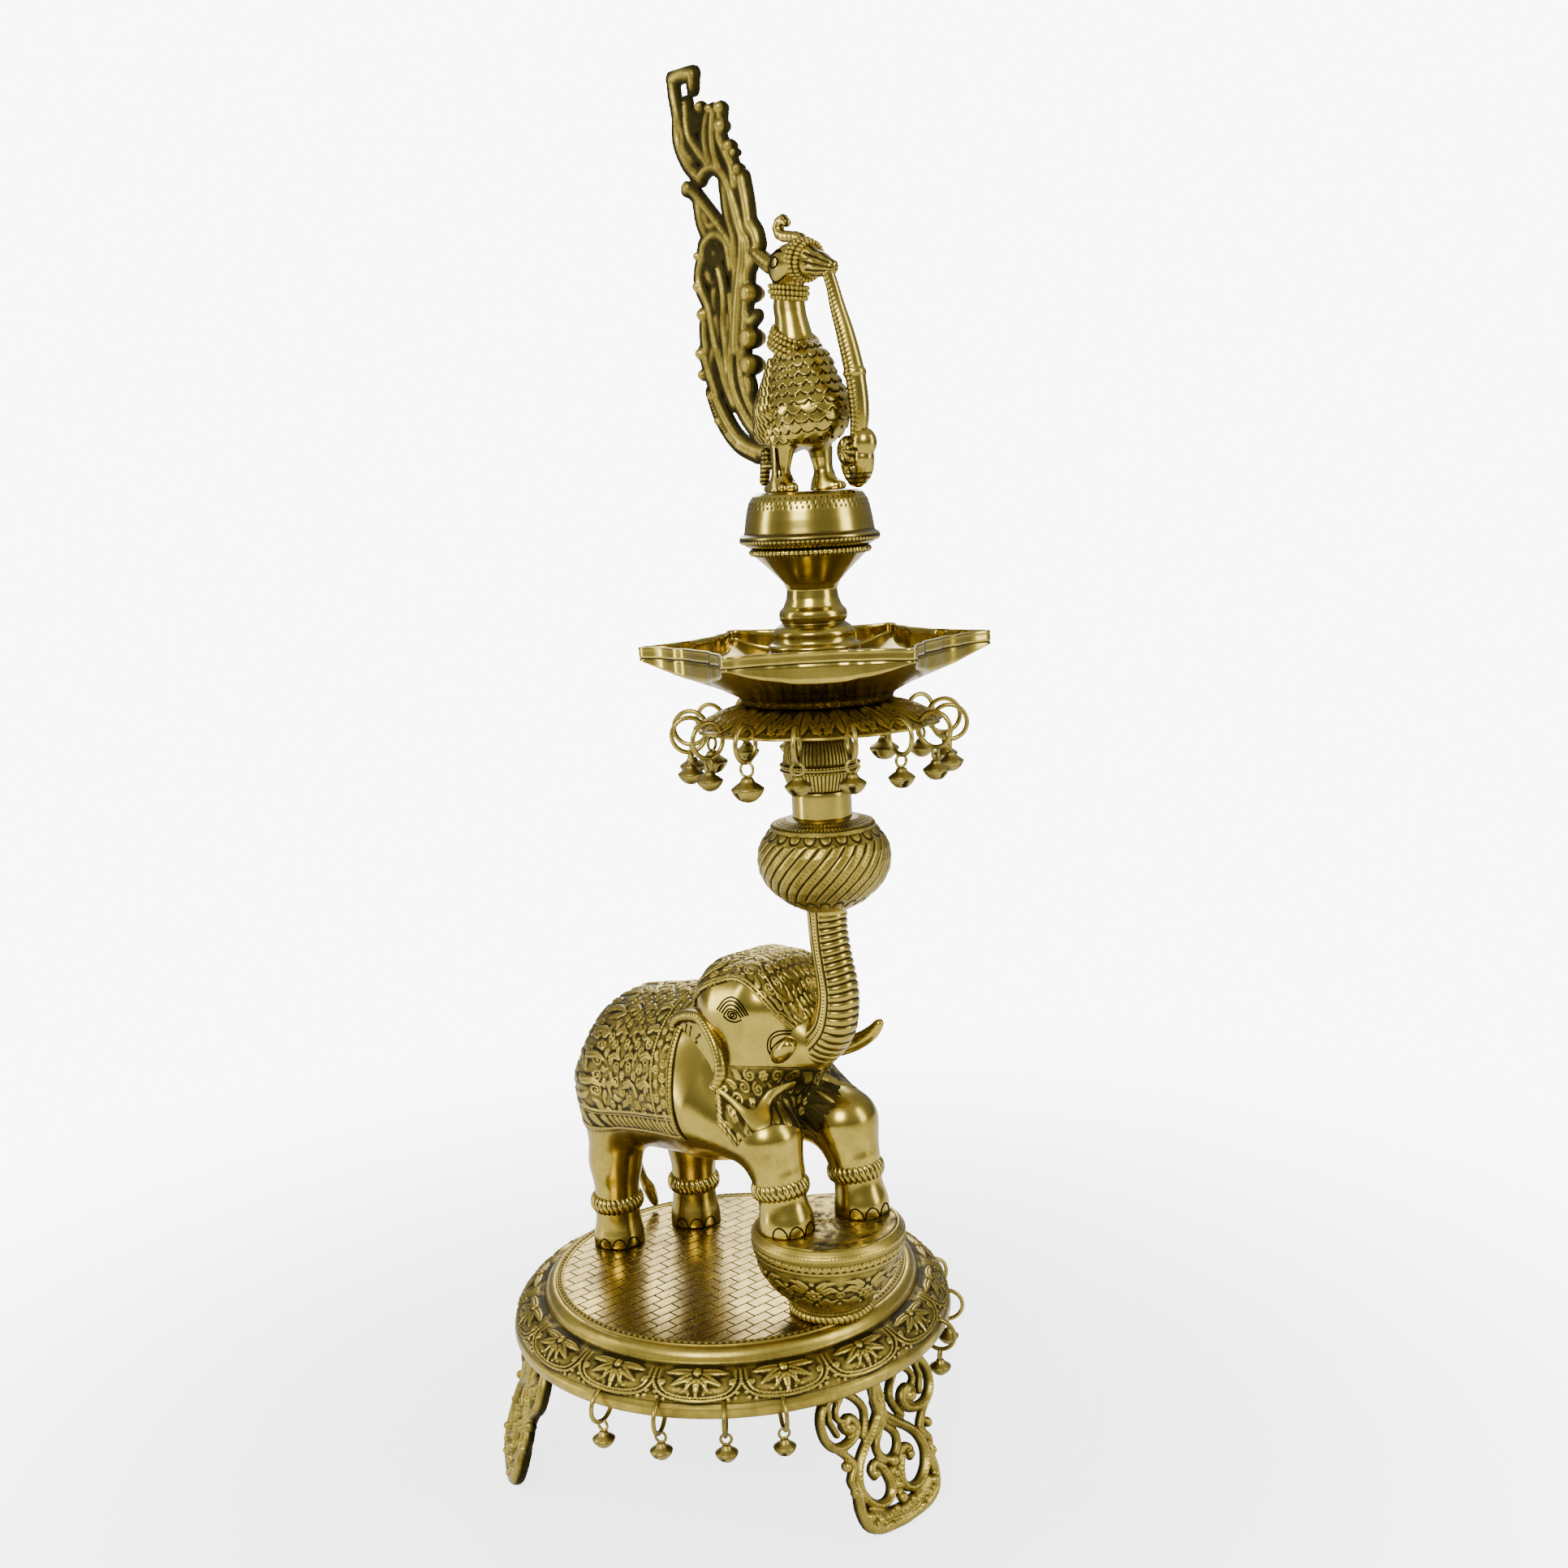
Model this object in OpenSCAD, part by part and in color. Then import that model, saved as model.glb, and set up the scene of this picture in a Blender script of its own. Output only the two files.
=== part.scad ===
// Standing brass oil lamp: an elephant on a round base carries a bell umbrella,
// a six-spout oil dish and a peacock finial on one threaded rod.
// Millimetres, +Z up, origin on the floor under the centre of the base.
// The elephant faces +X and the plane y = 0 divides it into left and right.

/* [Base] */
// Outer radius of the base lip
lip_r = 111; // [109:0.5:112]
// Height of the underside of the lip above the floor
lip_z = 69.5; // [66:0.5:70]
// Wall thickness of the pressed base
wall = 2; // [1.6:0.1:2.4]
// Radius of the flat floor disc
disc_r = 88.5; // [87:0.5:89]
// Height of the top of the floor disc
disc_z = 94.5; // [94:0.1:95]

/* [Legs] */
// Radius at which the top of each leg stands under the base
leg_top_r = 97; // [95:0.5:98]
// Radius at which each foot meets the floor
leg_foot_r = 122; // [118:0.5:124]
// Thickness of each openwork leg casting
leg_t = 7; // [6:0.5:8]

/* [Bells] */
// Radius from the middle of a ring to the middle of its wire
ring_r = 7.7; // [7.4:0.1:8]
// Radius of the ring wire
wire_r = 1.1; // [0.9:0.05:1.2]
// Radius of the small bells on the base
bell_r = 5.4; // [5:0.1:5.6]
// Radius of the bells on the umbrella
hanging_bell_r = 5.9; // [5.4:0.1:6]
// Radius of the three largest bells on the umbrella
large_bell_r = 7.2; // [6.8:0.1:7.4]

/* [Elephant and pot] */
// Distance of the pot's axis in front of the centre
pot_x = 74; // [73:0.5:75]
// Outer radius of the pot at its rim
pot_r = 36.5; // [36:0.5:37]
// Height of the flat top of the pot
pot_z = 138; // [137:0.5:139]
// Radius of the torso at the shoulders
torso_r = 44; // [43:0.5:45]

/* [Post] */
// Distance of the post's axis in front of the centre
post_x = 83; // [82:0.5:84]
// Radius of the threaded rod
rod_r = 4; // [3.5:0.1:4.5]
// Radial clearance of the turning parts on the rod
running = 0.05; // [0.03:0.01:0.09]
// Outer radius of the melon bulb
bulb_r = 30.5; // [29:0.5:32]
// Radius of the umbrella at the tips of its scallops
umbrella_r = 56.3; // [55:0.1:57]
// Radius of the oil dish at the tips of its spouts
dish_tip_r = 78.7; // [76:0.1:80]
// Radius of the oil dish between its spouts
dish_valley_r = 60; // [59:0.5:61]

/* [Finial] */
// Thickness of the flat tail casting
tail_t = 8; // [7:0.5:9]
// Radius of the bead ring of the dome
dome_r = 31.2; // [30:0.1:32]

/* [Hidden] */
$fn = 96;

BRASS = "#b39a45";
BRIGHT = "#cbb25a";
AGED = "#8c7a35";
STEEL = "#8f8f8c";

// Directions of the legs, and of the bell rings around the lip
leg_angles = [0, 120, 240];
rim_angles = [-75, -59, -43, -29, 27, 44, 64, 82, 156, 172, 188, 204];
// Centre of a lip ring: it passes through a hole near the top of the lip
rim_ring_r = lip_r - 2;
rim_ring_z = lip_z;
hole_r = 1.9;

// Umbrella heights and its ring circle
umbrella_n = 16;
umbrella_top_z = 388;
umbrella_rim_z = 379;
umbrella_ring_r = 59;
umbrella_ring_z = 377;
// Numbers of the umbrella bells that are large
large_bells = [12, 4, 8];
function umbrella_angle(i) = i * 360 / umbrella_n + 15;
function umbrella_bell_radius(i) = len(search(i, large_bells)) > 0 ? large_bell_r : hanging_bell_r;

// Heights up the post
trunk_top_z = 293;
sleeve_z = 335.5;
knob_z = 348;
dish_z = 388.2;
cup_rim_z = 456.6;
bird_z = 481;
gap = 0.2;
spout_angle = 48;
spout_n = 6;

bore_r = rod_r + running;
rod_low_z = 276;
rod_top_z = 452;
cup_floor_z = 444.5;

// Foot positions of the elephant: x, y of the rear and front feet
rear_feet = [[-65, -21.5], [-55, 22.5]];
front_feet = [[66, -19], [77, 20]];
foot_r = 13.3;
screw_hole_r = 2.7;
// Upright plane in which the trunk meets the head, and the play in its sockets
trunk_seam_x = 66;
socket_gap = 0.15;

// Crest of the bird from the beak back over the head: x from the post, z, radius
crest = [[6, 585, 2.2], [1, 589, 2.4], [-6, 589.5, 2.6], [-10, 592, 3], [-9, 595, 3]];

// Turns and moves a child so that its z axis runs from p towards q
module along(p, q) {
    d = q - p;
    translate(p)
        rotate([0, acos(d[2] / norm(d)), atan2(d[1], d[0])])
            children();
}

// Round-ended tapered limb from p (radius rp) to q (radius rq)
module limb(p, q, rp, rq, n = 5) {
    len_pq = norm(q - p);
    along(p, q)
        rotate_extrude($fn = 72)
            polygon(concat(
                [for (i = [0:n]) let (a = -90 + 90 * i / n) [rp * cos(a), rp * sin(a)]],
                [for (i = [0:n]) let (a = 90 * i / n) [rq * cos(a), len_pq + rq * sin(a)]]));
}

// Smooth limb between two round ends, used where no hole or pin depends on it
module flesh(p, q, rp, rq, sides = 20) {
    hull() {
        translate(p)
            sphere(r = rp, $fn = sides);
        translate(q)
            sphere(r = rq, $fn = sides);
    }
}

// Limb through several points: each entry is [x, y, z, radius]
module limb_chain(path, n = 4) {
    for (i = [0:len(path) - 2]) {
        limb([path[i][0], path[i][1], path[i][2]],
             [path[i + 1][0], path[i + 1][1], path[i + 1][2]], path[i][3], path[i + 1][3], n);
    }
}

// Wire ring that stands in a radial upright plane at the given radius, angle and height
module hanging_ring(r, angle, z) {
    rotate([0, 0, angle])
        translate([r, 0, z])
            rotate([90, 0, 0])
                rotate_extrude($fn = 72)
                    translate([ring_r, 0])
                        circle(r = wire_r, $fn = 32);
}

// Jingle bell that hangs on the wire whose lowest point has its centre at height z
module bell(r, angle, z, size) {
    eye_in = 1.9;
    eye_wire = 0.65;
    skin = 0.7;
    eye_z = z + wire_r + 0.12 - eye_in;
    seam_z = eye_z - eye_in - eye_wire - 0.72 * size;
    slot_w = 0.36 * size;
    rotate([0, 0, angle])
        translate([r, 0, 0]) {
            difference() {
                union() {
                    translate([0, 0, seam_z])
                        rotate_extrude($fn = 64)
                            polygon([
                                [0, -0.86 * size], [0.42 * size, -0.86 * size], [0.8 * size, -0.42 * size],
                                [0.96 * size, -0.07 * size], [size, -0.05 * size], [size, 0.05 * size],
                                [0.96 * size, 0.07 * size], [0.84 * size, 0.4 * size],
                                [0.5 * size, 0.7 * size], [0, 0.82 * size]]);
                    translate([0, 0, eye_z])
                        rotate([90, 0, 90])
                            rotate_extrude($fn = 48)
                                translate([eye_in + eye_wire, 0])
                                    circle(r = eye_wire, $fn = 24);
                }
                translate([0, 0, seam_z])
                    rotate_extrude($fn = 64)
                        polygon([
                            [0, -0.86 * size + skin], [0.42 * size - 0.4, -0.86 * size + skin],
                            [0.8 * size - skin, -0.42 * size + 0.2], [0.96 * size - skin, 0],
                            [0.84 * size - skin, 0.4 * size - 0.2],
                            [0.5 * size - 0.4, 0.7 * size - skin], [0, 0.82 * size - skin]]);
                translate([-slot_w / 2, -size - 1, seam_z - size])
                    cube([slot_w, 2 * size + 2, 0.8 * size]);
                translate([-size - 1, -slot_w / 2, seam_z - size])
                    cube([2 * size + 2, slot_w, 0.8 * size]);
            }
            // loose pellet resting inside the shell
            translate([0, 0, seam_z - 0.86 * size + skin + 0.38 * size + 0.1])
                sphere(r = 0.38 * size, $fn = 32);
        }
}

// Outline of the pressed base wall: outside from the lip up to the step, then back inside
module skirt_outline() {
    polygon(concat(
        [[lip_r - 1.4, lip_z], [lip_r - 0.2, lip_z + 1.4], [lip_r, lip_z + 3.4],
         [lip_r - 0.4, lip_z + 5.6], [lip_r - 1.6, lip_z + 7.2]],
        [for (a = [12:13:77]) [lip_r - 16.5 + 15.5 * cos(a), lip_z + 5.2 + 13.2 * sin(a)]],
        [[94, disc_z - 5.4], [93.2, disc_z - 3.4], [92, disc_z - 1.4], [90.2, disc_z - 0.4],
         [disc_r, disc_z - 0.4], [disc_r, disc_z - 2], [disc_r - 5, disc_z - 2],
         [disc_r - 5, disc_z - 2 - wall], [89.6, disc_z - 2 - wall], [91, disc_z - 5.4]],
        [for (a = [77:-13:12]) [lip_r - 16.5 - wall + 15.5 * cos(a),
                                lip_z + 5.2 - wall + 13.2 * sin(a)]],
        [[lip_r - 2 - wall, lip_z + 4.4], [lip_r - 1.4 - wall, lip_z]]));
}

module base_skirt() {
    boss_y = 8;
    boss_top_z = lip_z + 11;
    boss_h = 13.6;
    color(BRASS)
        difference() {
            union() {
                rotate_extrude($fn = 180)
                    skirt_outline();
                // bosses for the leg screws, grown down from the inside of the skirt
                for (a = leg_angles) {
                    for (s = [-1, 1]) {
                        rotate([0, 0, a])
                            translate([leg_top_r - 6, s * boss_y, lip_z + 3.2])
                                cylinder(r = 5, h = boss_h);
                    }
                }
            }
            for (a = leg_angles) {
                for (s = [-1, 1]) {
                    rotate([0, 0, a])
                        translate([leg_top_r - 6, s * boss_y, lip_z + 3])
                            cylinder(r = 2, h = boss_top_z - lip_z - 3);
                }
            }
            for (a = rim_angles) {
                rotate([0, 0, a])
                    translate([lip_r - 6, 0, rim_ring_z + ring_r])
                        rotate([0, 90, 0])
                            cylinder(r = hole_r, h = 12, $fn = 32);
            }
        }
}

module floor_disc() {
    color(BRASS)
        difference() {
            rotate_extrude($fn = 180)
                polygon([
                    [0, disc_z - 2], [disc_r, disc_z - 2], [disc_r, disc_z + 0.3],
                    [disc_r - 0.8, disc_z + 0.9], [disc_r - 1.8, disc_z + 0.7],
                    [disc_r - 2.4, disc_z], [0, disc_z]]);
            for (f = rear_feet) {
                translate([f[0], f[1], disc_z - 3])
                    cylinder(r = 2.5, h = 4);
            }
            translate([pot_x, 0, disc_z - 3])
                cylinder(r = 2.5, h = 4);
            // gap in the raised edge where the foot of the pot stands
            translate([pot_x, 0, disc_z])
                cylinder(r = 19.3, h = 3);
        }
}

// Openwork face of a leg, drawn upright: x across, y up the slope from the foot
module leg_face(h) {
    scroll_y = h - 22;
    difference() {
        union() {
            translate([-30, h - 7])
                square([60, 7]);
            for (s = [-1, 1]) {
                // upper C-scroll with its curled ball
                difference() {
                    translate([s * 19, scroll_y])
                        circle(r = 15.5);
                    translate([s * 19.6, scroll_y])
                        circle(r = 10.6);
                }
                translate([s * 20.5, scroll_y - 6.6])
                    circle(r = 5);
                translate([s * 26, scroll_y + 6.5])
                    circle(r = 5.4);
                // lower teardrop loop
                difference() {
                    translate([s * 11.5, 22])
                        circle(r = 12.4);
                    translate([s * 11.5, 21.6])
                        circle(r = 7.6);
                }
                polygon([[s * 3, 24], [s * 23.5, 24], [s * 6.5, h - 27], [s * 0.5, h - 23]]);
                translate([s * 25.5, 33])
                    circle(r = 4.2);
                translate([s * 22, 38])
                    circle(r = 4.6);
            }
            // stem and foot pad
            polygon([[-7.5, h - 6], [7.5, h - 6], [3.6, 34], [-3.6, 34]]);
            translate([0, 7.5])
                circle(r = 11.5);
            polygon([[-20, 14], [20, 14], [15, -4], [-15, -4]]);
            for (s = [-1, 1]) {
                translate([s * 15.5, 6])
                    circle(r = 7);
            }
        }
        // open centres of the teardrop loops
        for (s = [-1, 1]) {
            translate([s * 11.5, 22])
                circle(r = 7.2);
            polygon([[s * 7.5, 26], [s * 16, 26], [s * 8.2, 38]]);
        }
        polygon([[-3.2, 31], [3.2, 31], [0, 41]]);
    }
}

module leg_casting(angle) {
    lean = atan((leg_foot_r - leg_top_r) / lip_z);
    slope_h = lip_z / cos(lean);
    color(AGED)
        rotate([0, 0, angle])
            difference() {
                union() {
                    translate([leg_foot_r, 0, 0])
                        rotate([0, -lean, 0])
                            rotate([90, 0, 90])
                                translate([0, 0, -leg_t / 2])
                                    linear_extrude(leg_t)
                                        leg_face(slope_h + 1);
                    // screw pad that turns inwards under the base
                    translate([leg_top_r - 13, -14, lip_z])
                        cube([15, 28, 3]);
                }
                translate([0, -50, -20])
                    cube([200, 100, 20]);
                translate([leg_top_r + 2, -50, lip_z])
                    cube([20, 100, 20]);
                translate([leg_top_r - 20, -50, lip_z + 3])
                    cube([60, 100, 20]);
                for (s = [-1, 1]) {
                    translate([leg_top_r - 6, s * 8, lip_z - 1])
                        cylinder(r = 2.2, h = 6);
                    // room for the screw head behind the leaning face
                    translate([leg_top_r - 6, s * 8, lip_z - 9])
                        cylinder(r = 4, h = 9);
                }
            }
}

module leg_front() {
    leg_casting(leg_angles[0]);
}

module leg_rear_left() {
    leg_casting(leg_angles[1]);
}

module leg_rear_right() {
    leg_casting(leg_angles[2]);
}

module leg_screws() {
    color(STEEL)
        for (a = leg_angles) {
            for (s = [-1, 1]) {
                rotate([0, 0, a])
                    translate([leg_top_r - 6, s * 8, 0]) {
                        translate([0, 0, lip_z - 2.2])
                            cylinder(r = 3.6, h = 2.2);
                        translate([0, 0, lip_z - 0.5])
                            cylinder(r = 2, h = 10);
                    }
            }
        }
}

module base_bell_rings() {
    color(BRASS)
        for (a = rim_angles) {
            hanging_ring(rim_ring_r, a, rim_ring_z);
        }
}

module rim_bell(i) {
    color(BRIGHT)
        bell(rim_ring_r, rim_angles[i], rim_ring_z - ring_r, bell_r);
}

module pot() {
    h = pot_z - disc_z;
    color(BRASS)
        translate([pot_x, 0, disc_z])
            difference() {
                rotate_extrude($fn = 120)
                    polygon([
                        [0, 0], [17.5, 0], [19, 1.6], [19, 3.4], [17.8, 4.6], [19, 6],
                        [25, 12], [30.5, 19], [34.4, 26.5], [36, 33], [pot_r, 36.5],
                        [pot_r, h - 3.6], [pot_r - 1.2, h - 1.2], [pot_r - 2.6, h],
                        [pot_r - 3.6, h - 0.4], [pot_r - 3.6, h - 3], [pot_r - 5.4, h - 3],
                        [pot_r - 2.6, 34], [32, 27], [28, 19.8], [22.5, 13.4], [16, 7.6],
                        [13, 4], [0, 4]]);
                translate([0, 0, -1])
                    cylinder(r = 2.5, h = 6);
            }
}

module pot_lid() {
    color(BRASS)
        difference() {
            translate([pot_x, 0, pot_z - 3])
                cylinder(r = pot_r - 3.7, h = 3);
            for (f = front_feet) {
                translate([f[0], f[1], pot_z - 4])
                    cylinder(r = 2.5, h = 5);
            }
        }
}

// Straight leg: bell-shaped foot, rope anklet and column, standing on z = 0
module leg_column(h) {
    rotate_extrude($fn = 28)
        polygon([
            [0, 0], [foot_r, 0], [foot_r, 2.4], [11.4, 12], [10.9, 17.4], [12.6, 18.4],
            [13.7, 21], [13.7, 24], [12.6, 26.6], [11.2, 27.6], [11.3, 34], [12.4, 44],
            [13.6, h], [0, h]]);
}

// Ear: a hanging leaf with a rolled outer rim, mirrored for the left side
module ear(side) {
    translate([31, side * 30, 222])
        rotate([side * 12, 14, -side * 14])
            rotate([90, 0, 0])
                linear_extrude(5, center = true)
                    union() {
                        polygon([
                            [-24, 3], [-19, 12], [-10, 18], [0, 16], [8, 10], [13, 0],
                            [16, -10], [12, -19], [4, -22], [-4, -14], [-14, -8]]);
                        translate([-12, 6])
                            circle(r = 12);
                    }
}

module elephant_body() {
    front_column_h = 46;
    color(BRASS)
        difference() {
            union() {
                // torso, shoulders, haunches and neck
                flesh([-45, 0, 190], [2, 0, 198.5], 42, torso_r, 32);
                flesh([2, 0, 198], [30, 0, 210], 40, 31, 28);
                // head: twin crown lobes, face, cheeks and open lower jaw
                for (s = [-1, 1]) {
                    flesh([32, s * 9, 240], [45, s * 8, 241], 24, 22, 24);
                    flesh([44, s * 9, 222], [60, s * 6, 222], 17, 12);
                }
                flesh([44, 0, 232], [66, 0, 230], 24, 15, 24);
                flesh([46, 0, 212], [68, 0, 211], 14, 6);
                ear(-1);
                ear(1);
                // rear legs
                for (i = [0, 1]) {
                    translate([rear_feet[i][0], rear_feet[i][1], disc_z])
                        leg_column(74);
                    flesh([rear_feet[i][0], rear_feet[i][1], 158],
                          [rear_feet[i][0] + 8, rear_feet[i][1] * 0.9, 186], 15, 22);
                }
                // front legs: foot and anklet, shin, knee and raised shoulder
                for (i = [0, 1]) {
                    fx = front_feet[i][0];
                    fy = front_feet[i][1];
                    difference() {
                        translate([fx, fy, pot_z])
                            rotate([0, -9, 0])
                                translate([0, 0, -1.6])
                                    leg_column(front_column_h);
                        translate([fx, fy, pot_z - 20])
                            cylinder(r = 30, h = 20, $fn = 24);
                    }
                    flesh([fx - 4, fy, pot_z + 24], [fx - 8, fy * 1.02, pot_z + 38], 11, 13.5);
                    flesh([fx - 8, fy * 1.02, pot_z + 38], [20, fy * 0.95, 196], 13.6, 26);
                }
            }
            // seam face for the trunk, and sockets for the tusks and the tail
            translate([trunk_seam_x, -40, 205])
                cube([60, 80, 60]);
            tusk_solid(-1, socket_gap);
            tusk_solid(1, socket_gap);
            tail_solid(socket_gap);
            // cored torso
            flesh([-44, 0, 190], [0, 0, 198], 37.5, 39, 24);
            // core hole under the belly
            translate([-22, 0, 140])
                cylinder(r = 7, h = 40, $fn = 24);
            // screw holes up the rear and front feet
            for (f = rear_feet) {
                translate([f[0], f[1], disc_z - 1])
                    cylinder(r = screw_hole_r, h = 14, $fn = 24);
            }
            for (f = front_feet) {
                translate([f[0], f[1], pot_z - 1])
                    cylinder(r = screw_hole_r, h = 13, $fn = 24);
            }
        }
}

// Trunk: two bends made of true arcs, then a straight upright tip around the rod
module trunk() {
    trunk_r = 9.8;
    color(BRIGHT)
        difference() {
            union() {
                // root at the mouth, running forwards and up
                limb([64, 0, 222], [78, 0, 229], 13, trunk_r + 0.6, 5);
                limb([78, 0, 229], [87, 0, 243], trunk_r + 0.5, trunk_r, 5);
                limb([87, 0, 243], [87.5, 0, 256], trunk_r + 0.1, trunk_r - 0.6, 5);
                limb([87.5, 0, 256], [post_x, 0, 272], trunk_r - 0.7, 8.6, 5);
                translate([post_x, 0, 270])
                    cylinder(r1 = 8.5, r2 = 8, h = trunk_top_z - 272);
                // lip around the tip
                translate([post_x, 0, trunk_top_z - 3])
                    cylinder(r = 9.4, h = 3);
                translate([post_x, 0, trunk_top_z - 4.5])
                    cylinder(r1 = 8.1, r2 = 9.2, h = 2);
            }
            translate([post_x, 0, rod_low_z])
                cylinder(r = rod_r, h = 40);
            // face of the head that the trunk is fitted against
            translate([0, -40, 190])
                cube([trunk_seam_x, 80, 80]);
            tusk_solid(-1, socket_gap);
            tusk_solid(1, socket_gap);
        }
}

// Short tusk that curves forwards and up; grow widens it for its socket
module tusk_solid(side, grow = 0) {
    limb([60, side * 14, 217], [80, side * 19, 224], 4.4 + grow, 3.9 + grow, 4);
    limb([80, side * 19, 224], [94, side * 20, 235], 3.8 + grow, 2.2 + grow, 4);
}

module tusk(side) {
    color(BRIGHT)
        tusk_solid(side);
}

module tusk_left() {
    tusk(1);
}

module tusk_right() {
    tusk(-1);
}

// Thin tail from the rump to beside the rear left foot
module tail_solid(grow = 0) {
    flesh([-80, 2, 176], [-90, 5, 158], 3.6 + grow, 3.4 + grow, 16);
    flesh([-90, 5, 158], [-92, 9, 136], 3.4 + grow, 2.9 + grow, 16);
    flesh([-92, 9, 136], [-88, 13, 114], 2.9 + grow, 2.5 + grow, 16);
    flesh([-88, 13, 114], [-83, 16, 99], 2.5 + grow, 3.1 + grow, 16);
}

module elephant_tail() {
    color(BRASS)
        tail_solid();
}

module foot_screw(z, under, up) {
    translate([0, 0, z - under - 2.4])
        cylinder(r = 4.2, h = 2.4);
    translate([0, 0, z - under - 0.5])
        cylinder(r = 2.5, h = under + up + 0.5);
}

module foot_screws() {
    color(STEEL) {
        for (f = rear_feet) {
            translate([f[0], f[1], 0])
                foot_screw(disc_z, 2, 11);
        }
        for (f = front_feet) {
            translate([f[0], f[1], 0])
                foot_screw(pot_z, 3, 10);
        }
        // pot bolt with its nut inside the bowl
        translate([pot_x, 0, 0])
            foot_screw(disc_z, 2, 8);
        translate([pot_x, 0, disc_z + 4])
            cylinder(r = 4.6, h = 3.2, $fn = 6);
    }
}

module tie_rod() {
    color(STEEL)
        translate([post_x, 0, rod_low_z])
            cylinder(r = rod_r, h = rod_top_z - rod_low_z);
}

module rod_nut() {
    color(STEEL)
        difference() {
            translate([post_x, 0, cup_floor_z + gap])
                cylinder(r = 7.5, h = 4, $fn = 6);
            translate([post_x, 0, cup_floor_z - 1])
                cylinder(r = rod_r, h = 8);
        }
}

module melon_bulb() {
    h = sleeve_z - trunk_top_z;
    color(BRASS)
        translate([post_x, 0, trunk_top_z])
            difference() {
                rotate_extrude($fn = 120)
                    polygon([
                        [rod_r, 0], [11, 0], [13, 0.8], [17, 3.4], [22.5, 7.4], [27, 12.4],
                        [29.8, 18], [bulb_r, 23.4], [29.8, 28.6], [27.4, 33.4], [24, 37],
                        [22.4, 38], [21.6, 39.8], [17, 40.6], [14.6, h], [rod_r, h],
                        [rod_r, h - 2], [15.4, h - 3.6], [20.6, 36.2], [25.2, 32],
                        [27.7, 27.6], [28.4, 23.4], [27.7, 18.4], [25.2, 13.6], [21.2, 9],
                        [16, 5.2], [12, 2.6], [rod_r, 2.4]]);
            }
}

module neck_sleeve() {
    color(BRIGHT)
        translate([post_x, 0, sleeve_z])
            difference() {
                cylinder(r = 13.6, h = knob_z - sleeve_z);
                translate([0, 0, -1])
                    cylinder(r = rod_r, h = 20);
            }
}

module gadroon_knob() {
    color(BRASS)
        translate([post_x, 0, knob_z])
            rotate_extrude($fn = 120)
                polygon([
                    [rod_r, 0], [13.4, 0], [14, 0.6], [14.8, 2.6], [16.4, 6.6], [17.4, 8.4],
                    [17.8, 9.6], [17.8, 11.2], [17.2, 12.4], [16.2, 17], [14.4, 22.6],
                    [13.6, 23.8], [11, 24], [11, 38 - gap], [rod_r, 38 - gap]]);
}

module bell_umbrella() {
    color(AGED)
        difference() {
            union() {
                translate([post_x, 0, 0])
                    rotate_extrude($fn = 120)
                        polygon([
                            [bore_r, umbrella_top_z - 2], [30, umbrella_top_z - 2],
                            [38, umbrella_top_z - 3.4], [46, umbrella_top_z - 6],
                            [52.6, umbrella_rim_z - 1.4], [53.2, umbrella_rim_z + 0.4],
                            [46.4, umbrella_top_z - 4.2], [38.6, umbrella_top_z - 1.4],
                            [33, umbrella_top_z], [bore_r, umbrella_top_z]]);
                // scalloped rim: one round tongue for each bell
                for (i = [0:umbrella_n - 1]) {
                    translate([post_x, 0, 0])
                        rotate([0, 0, umbrella_angle(i)])
                            translate([umbrella_r - 9.4, 0, umbrella_rim_z - 1.2])
                                cylinder(r = 9.4, h = 2);
                }
            }
            for (i = [0:umbrella_n - 1]) {
                translate([post_x, 0, 0])
                    rotate([0, 0, umbrella_angle(i)])
                        translate([umbrella_ring_r - ring_r, 0, umbrella_rim_z - 8])
                            cylinder(r = hole_r, h = 16, $fn = 32);
            }
        }
}

module umbrella_bell_rings() {
    color(BRASS)
        translate([post_x, 0, 0])
            for (i = [0:umbrella_n - 1]) {
                hanging_ring(umbrella_ring_r, umbrella_angle(i), umbrella_ring_z);
            }
}

module umbrella_bell(i) {
    color(BRIGHT)
        translate([post_x, 0, 0])
            bell(umbrella_ring_r, umbrella_angle(i), umbrella_ring_z - ring_r,
                 umbrella_bell_radius(i));
}

// Outline of the dish between its spouts: tips at dish_tip_r with stepped shoulders
module dish_outline(inset) {
    step = 360 / spout_n;
    union() {
        circle(r = dish_valley_r - inset, $fn = 120);
        for (i = [0:spout_n - 1]) {
            rotate([0, 0, spout_angle + i * step])
                polygon([
                    [48, -27 + inset], [58, -19.4 + inset], [62.5, -16.4 + inset],
                    [64.5, -11.8 + inset], [72, -5.2 + inset * 0.7], [dish_tip_r - inset, -2],
                    [dish_tip_r - inset, 2], [72, 5.2 - inset * 0.7], [64.5, 11.8 - inset],
                    [62.5, 16.4 - inset], [58, 19.4 - inset], [48, 27 - inset]]);
        }
    }
}

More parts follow.
